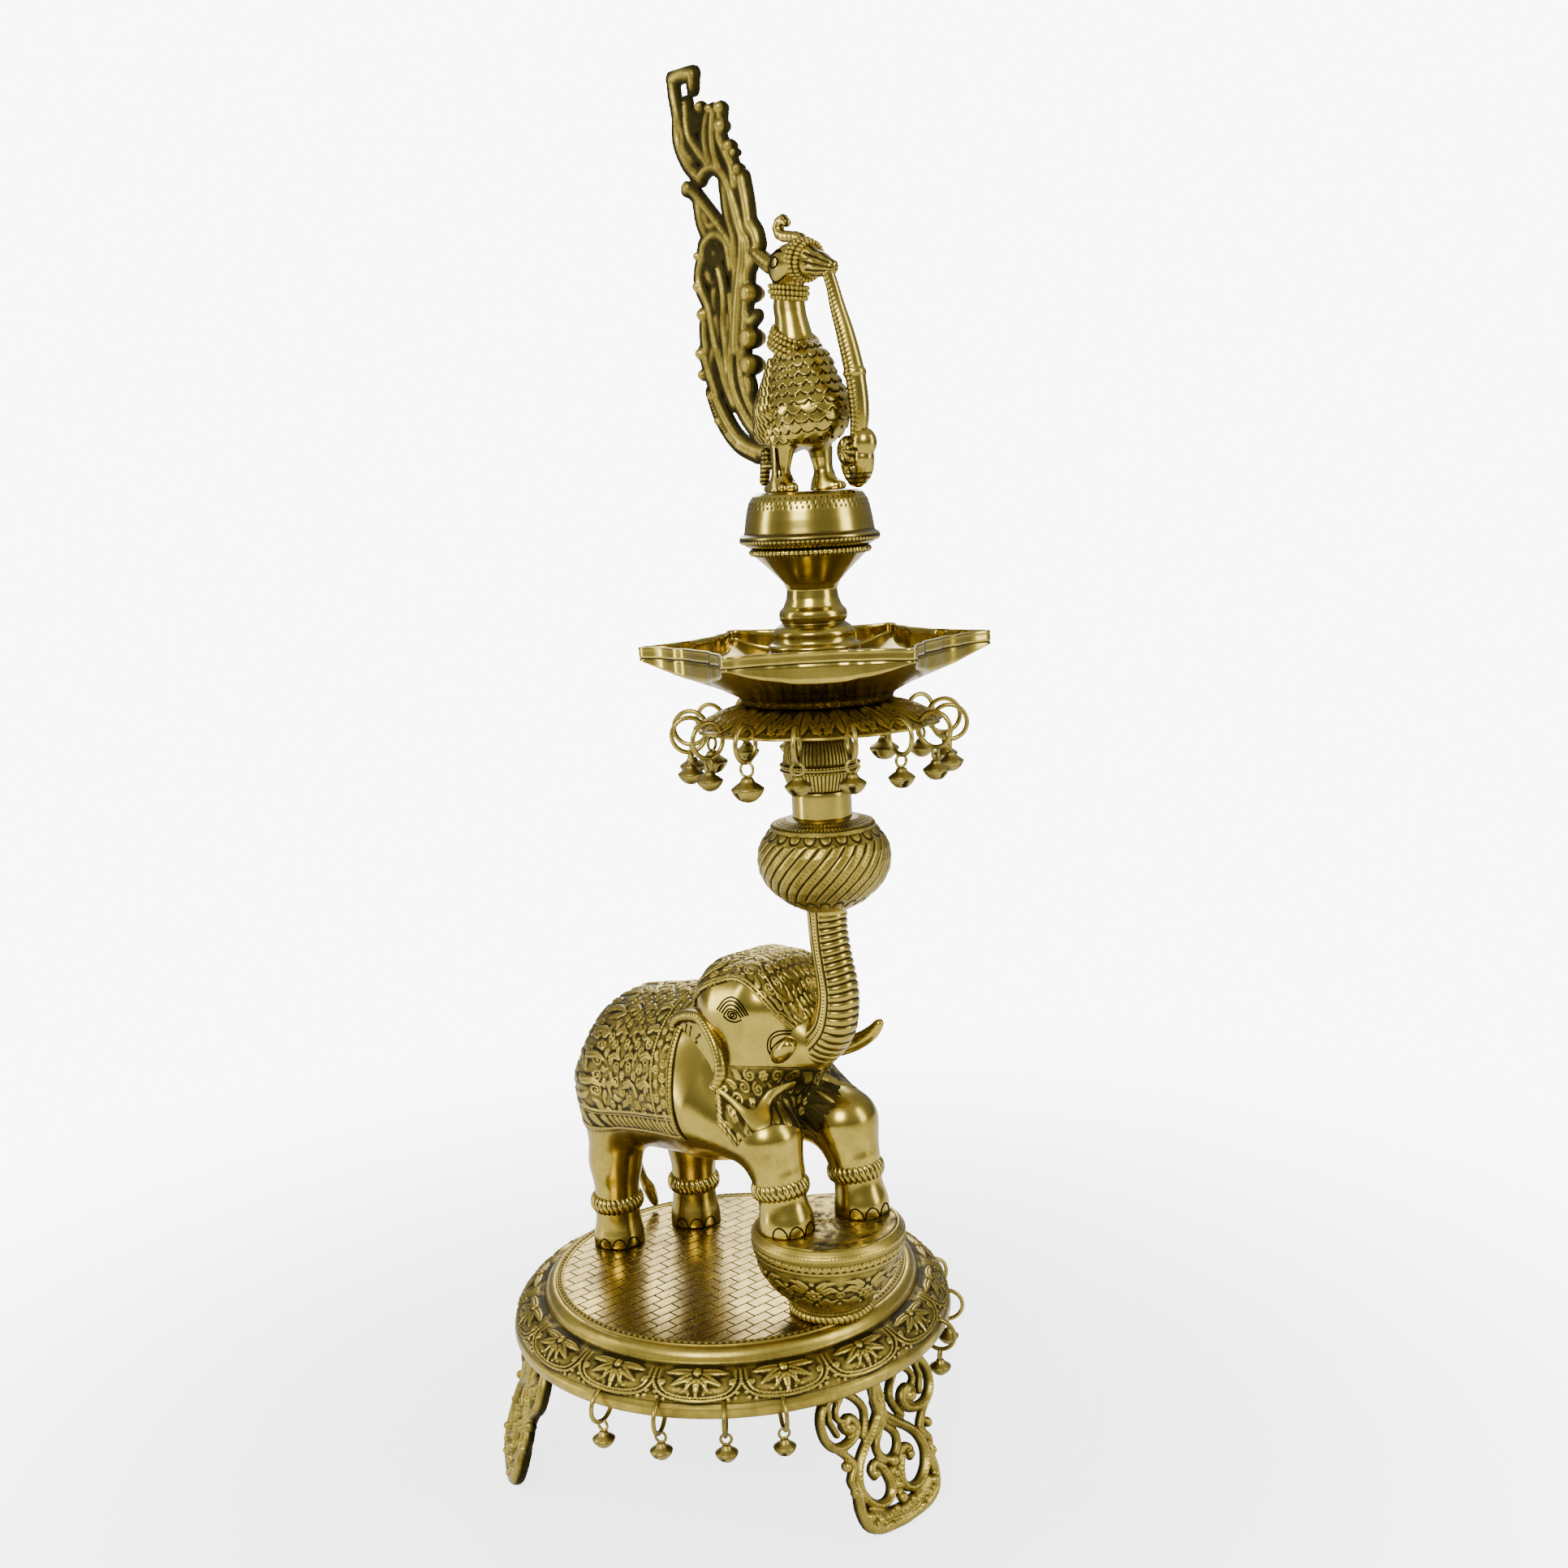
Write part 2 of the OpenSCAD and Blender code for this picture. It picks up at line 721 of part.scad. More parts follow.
module lamp_dish() {
    floor_z = dish_z + 2.4;
    band_z = 409.5;
    top_z = 416;
    dish_wall = 2;
    color(BRASS)
        translate([post_x, 0, 0])
            difference() {
                union() {
                    // bowl: sloping sides cut to the spouted outline, then the upright band
                    intersection() {
                        rotate_extrude($fn = 120)
                            polygon([
                                [0, dish_z], [33, dish_z], [34.5, dish_z + 3], [44, dish_z + 8],
                                [60, dish_z + 14.4], [80, band_z + 1], [80, top_z], [0, top_z]]);
                        translate([0, 0, dish_z])
                            linear_extrude(top_z - dish_z)
                                dish_outline(0);
                    }
                }
                // hollow of the bowl
                intersection() {
                    rotate_extrude($fn = 120)
                        polygon([
                            [21, floor_z], [32.6, floor_z], [43.4, dish_z + 10.6],
                            [59.4, dish_z + 17], [79.4, band_z + 3.4], [80, top_z + 1],
                            [21, top_z + 1]]);
                    translate([0, 0, dish_z])
                        linear_extrude(top_z - dish_z + 1)
                            dish_outline(dish_wall);
                }
                // boss turned down above the bowl
                rotate_extrude($fn = 120)
                    polygon([[0, 411.5], [22, 411.5], [22, top_z + 1], [0, top_z + 1]]);
                translate([0, 0, dish_z - 1])
                    cylinder(r = bore_r, h = 40);
                // the boss is hollow underneath
                translate([0, 0, dish_z + 4])
                    rotate_extrude($fn = 96)
                        polygon([[bore_r + 4, 0], [18.6, 0], [18.6, 15.4], [bore_r + 4, 18]]);
            }
}

module stem_cup() {
    color(BRASS)
        translate([post_x, 0, 0])
            rotate_extrude($fn = 120)
                polygon([
                    [bore_r, 411.7], [20.6, 411.7], [20.8, 413.4], [18.3, 414.8],
                    [18.3, 419.6], [16.4, 421.6], [13.7, 423.5], [15, 425.4], [15, 428.4],
                    [13, 430.6], [11.6, 434], [11.2, 438], [12.6, 441], [16.6, 445.4],
                    [21.6, 450.4], [25.6, 454], [26.6, 455], [26.6, cup_rim_z],
                    [24.8, cup_rim_z], [20, 452.8], [14.6, 447.4], [10.6, cup_floor_z],
                    [bore_r, cup_floor_z]]);
}

module peacock_dome() {
    color(BRIGHT)
        translate([post_x, 0, 0])
            difference() {
                rotate_extrude($fn = 120)
                    polygon([
                        [0, 478.6], [21, 478.6], [24, 475], [26.4, 466], [27.4, 463],
                        [27, 460], [24.4, 457.8], [24.4, cup_rim_z], [27.4, cup_rim_z],
                        [29.6, 459.2], [dome_r, 460.4], [dome_r, 461.8], [29.2, 463.6],
                        [28.3, 468], [26.6, 476], [24.6, 480], [23, bird_z], [0, bird_z]]);
                for (s = [-1, 1]) {
                    translate([-3 + s * 2, s * 11, 477])
                        cylinder(r = 1.6, h = 6);
                }
            }
}

module peacock_body() {
    px = post_x;
    color(BRASS)
        difference() {
            union() {
                // breast, back and haunch
                flesh([px + 4, 0, 517], [px + 1, 0, 532], 18.4, 14.4, 28);
                flesh([px - 10, 0, 512], [px - 2, 0, 530], 12, 12);
                // wings folded to the tail root
                for (s = [-1, 1]) {
                    flesh([px - 12, s * 9, 508], [px - 8, s * 9, 530], 7.4, 4.2);
                }
                // neck with collar and chin strap, head and banded beak
                flesh([px - 4, 0, 540], [px - 6, 0, 572], 9.4, 6.2);
                along([px - 3, 0, 541], [px - 4.5, 0, 552])
                    cylinder(r1 = 12.4, r2 = 10.2, h = 6, $fn = 28);
                along([px - 5.6, 0, 564], [px - 6, 0, 570])
                    cylinder(r = 8.2, h = 4, $fn = 24);
                flesh([px - 6, 0, 577], [px - 1, 0, 579], 8.4, 8);
                along([px + 3, 0, 579], [px + 22, 0, 574.6])
                    cylinder(r1 = 8.2, r2 = 7.4, h = 6, $fn = 24);
                along([px + 8, 0, 577.6], [px + 22, 0, 574.4])
                    cylinder(r1 = 6.8, r2 = 3.6, h = 15, $fn = 24);
                // crest ribbon over the head, curled at its end
                for (i = [0:len(crest) - 2]) {
                    flesh([px + crest[i][0], 0, crest[i][1]],
                          [px + crest[i + 1][0], 0, crest[i + 1][1]],
                          crest[i][2], crest[i + 1][2], 14);
                }
                // hackle behind the head that meets the tail
                flesh([px - 12, 0, 578], [px - 26, 0, 585.5], 5, 3.4, 16);
                // legs with spread feet, and a spur tuft behind the right leg
                for (s = [-1, 1]) {
                    flesh([px - 3 + s * 2, s * 11, 486], [px - 4 + s * 3, s * 9, 504],
                          3.6, 6.4, 18);
                    translate([px - 3 + s * 2, s * 11, bird_z])
                        cylinder(r1 = 8, r2 = 3.4, h = 7, $fn = 24);
                    flesh([px + 3 + s * 2, s * 12, 483], [px - 3 + s * 2, s * 11, 484.5],
                          1.9, 3, 14);
                }
                flesh([px - 16, -10, 490], [px - 4, -11, 494], 4.4, 2.6, 16);
            }
            translate([px, 0, bird_z - 10])
                cylinder(r = 40, h = 10, $fn = 24);
            for (s = [-1, 1]) {
                translate([px - 3 + s * 2, s * 11, 480])
                    cylinder(r = 1.8, h = 10, $fn = 24);
            }
            // slots that take the root of the tail and its upper edge
            translate([40, -tail_t / 2 - 0.1, 494])
                cube([33, tail_t + 0.2, 20.6]);
            translate([40, -tail_t / 2 - 0.1, 574])
                cube([22.2, tail_t + 0.2, 26]);
        }
}

module peacock_screws() {
    color(STEEL)
        for (s = [-1, 1]) {
            translate([post_x - 3 + s * 2, s * 11, 476.8]) {
                cylinder(r = 3, h = 1.8);
                translate([0, 0, 1])
                    cylinder(r = 1.6, h = 11);
            }
        }
}

// Prism of the tail's thickness over an outline given in x and z
module tail_prism(thickness) {
    rotate([90, 0, 0])
        translate([0, 0, -thickness / 2])
            linear_extrude(thickness)
                children();
}

// Flat openwork tail standing in the plane y = 0
module peacock_tail() {
    color(AGED)
        difference() {
            union() {
                tail_prism(tail_t)
                    polygon([
                        [63, 499], [55, 496], [42, 500], [30, 512], [21, 528], [15, 543],
                        [19, 553], [16, 563], [15, 577], [18, 592], [24, 603], [19, 612],
                        [12, 619], [14, 622], [20, 622], [13, 632], [8, 645], [6, 658],
                        [5, 667], [8, 671], [22, 670], [22, 662], [18, 661], [24, 656],
                        [30, 655], [42, 654], [42, 648], [38, 645], [43, 641], [49, 632],
                        [46, 628], [53, 621], [51, 618], [56, 608], [58, 598], [62, 592],
                        [60, 584], [56, 580], [56, 565], [58, 559], [56, 552], [56, 540],
                        [52, 530], [52, 523], [60, 514], [72, 510], [72, 499]]);
                // scalloped lobes along the front edge
                for (z = [538, 548, 558, 568]) {
                    translate([54, 0, z])
                        rotate([90, 0, 0])
                            cylinder(r = 5.4, h = tail_t - 1, center = true);
                }
                // curled buds along the back edge
                for (p = [[18, 546], [18, 567], [19.5, 584]]) {
                    translate([p[0], 0, p[1]])
                        rotate([90, 0, 0])
                            cylinder(r = 5.2, h = tail_t - 1, center = true);
                }
            }
            // openings between the twin stems and the scrolls
            tail_prism(tail_t + 2)
                polygon([[50, 504], [56, 505], [49, 513], [44, 522], [40, 531], [37, 530], [41, 517]]);
            tail_prism(tail_t + 2)
                polygon([[35, 556], [38, 556], [38, 572], [34, 572]]);
            tail_prism(tail_t + 2)
                polygon([[31, 579], [36, 582], [36, 594], [31, 598], [28, 590]]);
            tail_prism(tail_t + 2)
                polygon([[35, 606], [38, 604], [40, 615], [35, 626], [31, 619]]);
            tail_prism(tail_t + 2)
                polygon([[20, 638], [25, 636], [26, 646], [21, 650]]);
        }
}

module beak_garland() {
    px = post_x;
    color(BRIGHT)
        difference() {
            union() {
                limb_chain([
                    [px + 20, 0, 569, 2.6], [px + 21, 2, 561, 3], [px + 25, 3, 546, 3.6],
                    [px + 29, 4, 528, 4], [px + 29, 5, 509, 3.8]], 4);
                // flower scroll and the stalk that lands beside the left foot
                limb([px + 24, 5, 503], [px + 28, 5.6, 497], 5.2, 7, 5);
                limb([px + 27, 6, 495], [px + 19.6, 9, 484], 5, 3.4, 4);
            }
            translate([px, 0, bird_z - 20])
                cylinder(r = 40, h = 20);
            along([px + 8, 0, 577.6], [px + 22, 0, 574.4])
                cylinder(r1 = 6.8, r2 = 3.6, h = 15);
        }
}

base_skirt();
floor_disc();
leg_front();
leg_rear_left();
leg_rear_right();
leg_screws();
base_bell_rings();
pot();
pot_lid();
elephant_body();
trunk();
tusk_left();
tusk_right();
elephant_tail();
foot_screws();
tie_rod();
rod_nut();
melon_bulb();
neck_sleeve();
gadroon_knob();
bell_umbrella();
umbrella_bell_rings();
lamp_dish();
stem_cup();
peacock_dome();
peacock_body();
peacock_tail();
beak_garland();
peacock_screws();
rim_bell(0);  // rim_bell_01
rim_bell(1);  // rim_bell_02
rim_bell(2);  // rim_bell_03
rim_bell(3);  // rim_bell_04
rim_bell(4);  // rim_bell_05
rim_bell(5);  // rim_bell_06
rim_bell(6);  // rim_bell_07
rim_bell(7);  // rim_bell_08
rim_bell(8);  // rim_bell_09
rim_bell(9);  // rim_bell_10
rim_bell(10);  // rim_bell_11
rim_bell(11);  // rim_bell_12
umbrella_bell(0);  // umbrella_bell_01
umbrella_bell(1);  // umbrella_bell_02
umbrella_bell(2);  // umbrella_bell_03
umbrella_bell(3);  // umbrella_bell_04
umbrella_bell(4);  // umbrella_bell_05
umbrella_bell(5);  // umbrella_bell_06
umbrella_bell(6);  // umbrella_bell_07
umbrella_bell(7);  // umbrella_bell_08
umbrella_bell(8);  // umbrella_bell_09
umbrella_bell(9);  // umbrella_bell_10
umbrella_bell(10);  // umbrella_bell_11
umbrella_bell(11);  // umbrella_bell_12
umbrella_bell(12);  // umbrella_bell_13
umbrella_bell(13);  // umbrella_bell_14
umbrella_bell(14);  // umbrella_bell_15
umbrella_bell(15);  // umbrella_bell_16
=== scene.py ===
import bpy
import numpy as np
from mathutils import Matrix, Vector


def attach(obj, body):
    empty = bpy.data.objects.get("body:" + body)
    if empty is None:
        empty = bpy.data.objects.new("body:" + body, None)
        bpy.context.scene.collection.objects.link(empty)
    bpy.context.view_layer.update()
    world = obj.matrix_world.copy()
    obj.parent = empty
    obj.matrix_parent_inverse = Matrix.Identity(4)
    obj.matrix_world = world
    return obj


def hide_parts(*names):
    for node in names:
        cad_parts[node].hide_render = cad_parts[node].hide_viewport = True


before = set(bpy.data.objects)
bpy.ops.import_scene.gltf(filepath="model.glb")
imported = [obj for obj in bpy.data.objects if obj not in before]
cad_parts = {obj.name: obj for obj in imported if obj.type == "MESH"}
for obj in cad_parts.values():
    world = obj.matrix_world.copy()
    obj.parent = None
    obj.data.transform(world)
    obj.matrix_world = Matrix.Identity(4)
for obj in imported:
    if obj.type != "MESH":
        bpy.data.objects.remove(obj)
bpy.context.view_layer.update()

# ---- numbers of the lamp, in millimetres
POST_X = 83.0
LIP_Z = 69.5
FLOOR_Z = 94.5
POT_X, POT_R, POT_Z = 74.0, 36.5, 138.0
REAR_FEET = ((-65.0, -21.5), (-55.0, 22.5))
FRONT_FEET = ((66.0, -19.0), (77.0, 20.0))
RIM_BELLS = (-75, -59, -43, -29, 27, 44, 64, 82, 156, 172, 188, 204)
CANOPY_BELLS = tuple(i * 22.5 + 15 for i in range(16))
RING_R, WIRE_R = 7.7, 1.1
RIM_BELL_R, CANOPY_BELL_R, CANOPY_RIM_Z = 109.0, 59.0, 377.0
RIM_BELL_SIZE, CANOPY_BELL_SIZE, BIG_BELL_SIZE, BIG_BELLS = 5.4, 5.9, 7.2, (4, 8, 12)
SKIN_FALL = 0.8
TAU = 2 * np.pi

# the grid steps of the cast pieces
ELEPHANT_STEP, BIRD_STEP, OPENWORK_STEP = 1.2, 0.6, 0.74
ENGRAVED_WIDTH = 0.42


# ---- meshes from whole arrays
def solid(name, points, faces, body, material, replaces=(), hollow=None, seam=0.0):
    """One piece: points in millimetres and lists of quads or triangles, put straight into a mesh.
    hollow is how deep each point lies in the relief, from -1 on a ridge to 1 in a groove; on some pieces it also
    carries painted shade."""
    points = np.ascontiguousarray(points, dtype=np.float32).reshape(-1, 3)
    faces = [np.ascontiguousarray(f, dtype=np.int32) for f in faces if len(f)]
    loops = np.concatenate([f.ravel() for f in faces])
    sizes = np.concatenate([np.full(len(f), f.shape[1], dtype=np.int32) for f in faces])
    starts = np.concatenate([[0], np.cumsum(sizes)[:-1]]).astype(np.int32)
    mesh = bpy.data.meshes.new(name)
    mesh.vertices.add(len(points))
    mesh.vertices.foreach_set("co", (points * 0.001).ravel())
    mesh.loops.add(len(loops))
    mesh.loops.foreach_set("vertex_index", loops)
    mesh.polygons.add(len(sizes))
    mesh.polygons.foreach_set("loop_start", starts)
    mesh.update(calc_edges=True)
    mesh.polygons.foreach_set("use_smooth", np.ones(len(sizes), dtype=bool))
    depth = np.zeros(len(points), dtype=np.float32) if hollow is None else hollow.ravel()
    layer = mesh.attributes.new("hollow", "FLOAT", "POINT")
    layer.data.foreach_set("value", np.ascontiguousarray(depth, dtype=np.float32))
    if seam:
        mesh.set_sharp_from_angle(angle=seam)
    mesh.validate()
    obj = bpy.data.objects.new(name, mesh)
    bpy.context.scene.collection.objects.link(obj)
    obj.data.materials.append(material)
    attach(obj, body)
    if replaces:
        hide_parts(*replaces)
    return obj


def lattice(rows, columns, ring=True, loop=False, start=0):
    """Quads between neighbouring points of a rows by columns net; ring closes each row, loop joins last
    row to first."""
    r = np.arange(rows if loop else rows - 1)
    c = np.arange(columns if ring else columns - 1)
    r0, c0 = np.meshgrid(r, c, indexing="ij")
    r1, c1 = (r0 + 1) % rows, (c0 + 1) % columns
    quads = np.stack([r0 * columns + c0, r0 * columns + c1, r1 * columns + c1, r1 * columns + c0], axis=-1)
    return quads.reshape(-1, 4) + start


def fan(first, count, hub, outward=True):
    """Triangles from one ring of points to a hub point."""
    a = np.arange(count)
    b = (a + 1) % count
    tris = np.stack([a + first, b + first, np.full(count, hub)], axis=-1)
    return tris if outward else tris[:, ::-1]


def joined(parts):
    """Several (points, faces, hollow) sets as one set, their face numbers shifted in turn."""
    points, faces, hollow, base = [], [], [], 0
    for part in parts:
        p, fs = part[0].reshape(-1, 3), part[1]
        points.append(p)
        faces.extend([f + base for f in fs])
        hollow.append(np.zeros(len(p)) if len(part) < 3 or part[2] is None else part[2].ravel())
        base += len(p)
    return np.concatenate(points), faces, np.concatenate(hollow)


def along(path, steps):
    """A polyline refilled with that many points at equal spacing; extra columns, such as a radius, go
    with it."""
    path = np.asarray(path, dtype=float)
    run = np.concatenate([[0], np.cumsum(np.linalg.norm(np.diff(path[:, :3], axis=0), axis=1))])
    at = np.linspace(0, run[-1], steps)
    return np.stack([np.interp(at, run, path[:, k]) for k in range(path.shape[1])], axis=1)


def flowing(path, steps):
    """A smooth curve through the points: each span is a Catmull-Rom cubic, then equal spacing."""
    p = np.asarray(path, dtype=float)
    p = np.vstack([2 * p[0] - p[1], p, 2 * p[-1] - p[-2]])
    t = np.linspace(0, 1, 12, endpoint=False)[:, None]
    spans = [0.5 * (2 * b + (c - a) * t + (2 * a - 5 * b + 4 * c - d) * t ** 2 + (3 * b - a - 3 * c + d) * t ** 3)
             for a, b, c, d in zip(p[:-3], p[1:-2], p[2:-1], p[3:])]
    return along(np.vstack(spans + [p[-2:-1]]), steps)


def swept(path, radii, sides=12, flat=1.0, up=(0, 0, 1), ends=True):
    """A tube: at each point of the path a circle (or an oval, flat times as thick) square to the path."""
    path = np.asarray(path, dtype=float)
    radii = np.broadcast_to(np.asarray(radii, dtype=float), (len(path),))
    t = np.gradient(path, axis=0)
    t /= np.linalg.norm(t, axis=1, keepdims=True) + 1e-12
    side = np.cross(t, np.asarray(up, dtype=float))
    weak = np.linalg.norm(side, axis=1) < 1e-3
    side[weak] = np.cross(t[weak], [0.31, 0.9, 0.1])
    side /= np.linalg.norm(side, axis=1, keepdims=True)
    other = np.cross(side, t)
    a = np.linspace(0, TAU, sides, endpoint=False)
    ring = (np.cos(a)[None, :, None] * side[:, None] * flat + np.sin(a)[None, :, None] * other[:, None])
    points = path[:, None] + radii[:, None, None] * ring
    faces = [lattice(len(path), sides)[:, ::-1]]
    if ends:
        points = np.vstack([points.reshape(-1, 3), path[:1], path[-1:]])
        n = len(path) * sides
        faces += [fan(0, sides, n), fan(n - sides, sides, n + 1, False)]
    return points.reshape(-1, 3), faces, None


def torus(centre, axis, radius, wire, around=28, across=8):
    """A closed ring of round wire: a small circle carried round a large one that lies square to the
    axis."""
    axis = np.asarray(axis, dtype=float) / np.linalg.norm(axis)
    u = np.cross(axis, [0, 0, 1.0])
    u = u / np.linalg.norm(u) if np.linalg.norm(u) > 1e-6 else np.array([1.0, 0, 0])
    v = np.cross(axis, u)
    a = np.linspace(0, TAU, around, endpoint=False)[:, None, None]
    b = np.linspace(0, TAU, across, endpoint=False)[None, :, None]
    spokes = np.cos(a) * u + np.sin(a) * v
    points = np.asarray(centre) + (radius + wire * np.cos(b)) * spokes + wire * np.sin(b) * axis
    return points.reshape(-1, 3), [lattice(around, across, loop=True)[:, ::-1]], None


# ---- relief, drawn as heights in millimetres
def nearest(x, y, line):
    """For each spot: distance along the line to its nearest point, and signed distance to the side."""
    line = np.asarray(line, dtype=float)
    best = np.full(x.shape, 1e9)
    where = np.zeros(x.shape)
    aside = np.zeros(x.shape)
    run = 0.0
    for (ax, ay), (bx, by) in zip(line[:-1], line[1:]):
        dx, dy = bx - ax, by - ay
        span = np.hypot(dx, dy) + 1e-9
        t = np.clip(((x - ax) * dx + (y - ay) * dy) / span ** 2, 0, 1)
        gap = np.hypot(x - ax - t * dx, y - ay - t * dy)
        turn = np.sign(dx * (y - ay) - dy * (x - ax) + 1e-12)
        closer = gap < best
        best = np.where(closer, gap, best)
        where = np.where(closer, run + t * span, where)
        aside = np.where(closer, turn * gap, aside)
        run += span
    return where, aside, run


def strand(h, x, y, line, width, height):
    """A half-round ridge: height times the root of one minus the squared share of the half width."""
    _, d, _ = nearest(x, y, line)
    return np.maximum(h, height * np.sqrt(np.clip(1 - (d / width) ** 2, 0, 1)))


def beads(h, x, y, line, radius, pitch, height, low=0.25):
    """A row of half balls at an even pitch along a line, on a low ridge."""
    s, d, length = nearest(x, y, line)
    count = max(1, round(length / pitch))
    step = length / count
    off = (s / step) % 1.0 - 0.5
    ball = np.sqrt(np.clip(1 - (off * step / radius) ** 2 - (d / radius) ** 2, 0, 1))
    bar = low * np.sqrt(np.clip(1 - (d / radius) ** 2, 0, 1))
    return np.maximum(h, height * np.maximum(ball, bar))


def leaf(h, x, y, line, width, height, veins=1.6, cut=0.35, fat=0.45):
    """A leaf: its half width swells and tapers along the line, a groove runs down the middle and slanting
    hatching crosses each half."""
    s, d, length = nearest(x, y, line)
    u = np.clip(s / length, 0, 1)
    half = width * np.clip(np.sin(np.pi * u ** fat), 0, 1) ** 0.8 + 1e-3
    inside = np.clip(1 - (np.abs(d) / half) ** 2, 0, 1)
    body = height * np.sqrt(inside)
    rib = 1 - 0.55 * np.exp(-(d / 0.35) ** 2)
    hatch = 1 - cut * (0.5 + 0.5 * np.cos(TAU * (s - 0.9 * np.abs(d)) / veins))
    return np.maximum(h, np.where(inside > 0, body * rib * hatch, 0))


def blossom(h, x, y, cx, cy, radius, height, petals=8, turn=0.0):
    """A round flower: petals are a cosine of the angle, a button stands in the middle."""
    r = np.hypot(x - cx, y - cy)
    a = np.arctan2(y - cy, x - cx) + turn
    edge = radius * (0.80 + 0.20 * np.abs(np.cos(a * petals / 2)))
    bloom = np.sqrt(np.clip(1 - (r / edge) ** 4, 0,
                            1)) * (0.45 + 0.55 * np.abs(np.cos(a * petals / 2)) ** 0.5)
    bloom = np.where(r < edge, bloom * height * 0.8, 0)
    knob = height * np.sqrt(np.clip(1 - (r / (radius * 0.3)) ** 2, 0, 1))
    ditch = (r > radius * 0.3) & (r < radius * 0.4)
    return np.maximum(h, np.maximum(np.where(ditch, 0, bloom), knob))


def dots(h, x, y, spots, radius, height):
    """Half balls at the given spots."""
    for cx, cy in spots:
        h = np.maximum(h, height * np.sqrt(np.clip(1 - ((x - cx) ** 2 + (y - cy) ** 2) / radius ** 2, 0, 1)))
    return h


def curl(cx, cy, r0, turns, start=0.0, hand=1, inner=0.15):
    """A spiral line: the radius shrinks evenly while the angle goes round."""
    a = np.linspace(0, TAU * turns, int(14 * turns) + 2)
    r = r0 * (1 - (1 - inner) * a / a[-1])
    return np.stack([cx + r * np.cos(start + hand * a), cy + r * np.sin(start + hand * a)], axis=1)


def blurred(h, reach, ring=True):
    """The mean of a height field over a square window, as two running means; rows are clamped at their
    ends."""
    for axis, wrap in ((1, ring), (0, False)):
        pad = [(0, 0), (0, 0)]
        pad[axis] = (reach, reach)
        wide = np.pad(h, pad, mode="wrap" if wrap else "edge")
        total = np.cumsum(wide, axis=axis)
        total = np.insert(total, 0, 0, axis=axis)
        n = h.shape[axis]
        window = 2 * reach + 1
        first = np.take(total, np.arange(n), axis=axis)
        last = np.take(total, np.arange(n) + window, axis=axis)
        h = (last - first) / window
    return h


def depth_of(h, reach=4, gain=2.2, ring=True):
    """How far each spot lies below its surroundings, limited to -1 .. 1."""
    return np.clip((blurred(h, reach, ring) - h) * gain + (0.12 * (blurred(h, 2 * reach, ring) - h)), -1, 1)


# ---- turned pieces
def spaced_profile(profile, steps):
    """A profile of (radius, height) refilled with equal steps, and the running length."""
    line = np.asarray(profile, dtype=float)
    run = np.concatenate([[0], np.cumsum(np.linalg.norm(np.diff(line, axis=0), axis=1))])
    at = np.linspace(0, run[-1], steps)
    return np.stack([np.interp(at, run, line[:, 0]), np.interp(at, run, line[:, 1])], axis=1), at


def turned(centre, profile, around=128, relief=None):
    """A profile of (radius, height) carried round the upright axis; relief is a height for every profile
    point and
    angle, laid on along the profile's normal. The profile is listed so that its left side is outside."""
    line = np.asarray(profile, dtype=float)
    rows = len(line)
    tangent = np.gradient(line, axis=0)
    normal = np.stack([tangent[:, 1], -tangent[:, 0]], axis=1)
    normal /= np.linalg.norm(normal, axis=1, keepdims=True) + 1e-12
    a = np.linspace(0, TAU, around, endpoint=False)
    lift = np.zeros((rows, around)) if relief is None else relief
    r = line[:, 0][:, None] + normal[:, 0][:, None] * lift
    z = line[:, 1][:, None] + normal[:, 1][:, None] * lift
    r = np.maximum(r, 0.0)
    points = np.stack([centre[0] + r * np.cos(a), centre[1] + r * np.sin(a), z], axis=-1).reshape(-1, 3)
    return points, lattice(rows, around), rows, around


def closed_turned(centre, profile, around=128, relief=None, depth=None, loop=False):
    """A turned piece with its two ends closed on the axis, or with its profile running back to its
    start."""
    points, quads, rows, n = turned(centre, profile, around, relief)
    hollow = np.zeros(rows * n) if depth is None else depth.ravel()
    if loop:
        return points, [lattice(rows, n, loop=True)], hollow
    ends = np.array([[centre[0], centre[1], profile[0][1]], [centre[0], centre[1], profile[-1][1]]])
    points = np.vstack([points, ends])
    faces = [quads, fan(0, n, rows * n, False), fan((rows - 1) * n, n, rows * n + 1)]
    return points, faces, np.concatenate([hollow, [0, 0]])


# ---- cast figures, as one smooth skin round many limbs
def limb_gap(p, a, b, ra, rb):
    """Distance from a tapering round limb: distance to the middle line less the radius there."""
    a, b = np.asarray(a, dtype=float), np.asarray(b, dtype=float)
    d = b - a
    t = np.clip(((p - a) @ d) / (d @ d + 1e-9), 0, 1)
    return np.linalg.norm(p - a - t[..., None] * d, axis=-1) - (ra + (rb - ra) * t)


def egg_gap(p, centre, radii):
    """Distance from an egg shape: the scaled length less one, times the size of its slope."""
    q = (p - np.asarray(centre, dtype=float)) / np.asarray(radii, dtype=float)
    k0 = np.linalg.norm(q, axis=-1)
    k1 = np.linalg.norm(q / np.asarray(radii, dtype=float), axis=-1)
    return k0 * (k0 - 1) / (k1 + 1e-9)


def fused(a, b, soft):
    """The smaller of two distances, with the corner filled over a width of soft."""
    if soft <= 0:
        return np.minimum(a, b)
    k = np.clip(0.5 + 0.5 * (b - a) / soft, 0, 1)
    return b * (1 - k) + a * k - soft * k * (1 - k)


def limb_chain(line, soft):
    """One limb for each span of a line of (x, y, z, radius)."""
    return [("limb", (tuple(a[:3]), tuple(b[:3]), a[3], b[3]), soft) for a, b in zip(line[:-1], line[1:])]


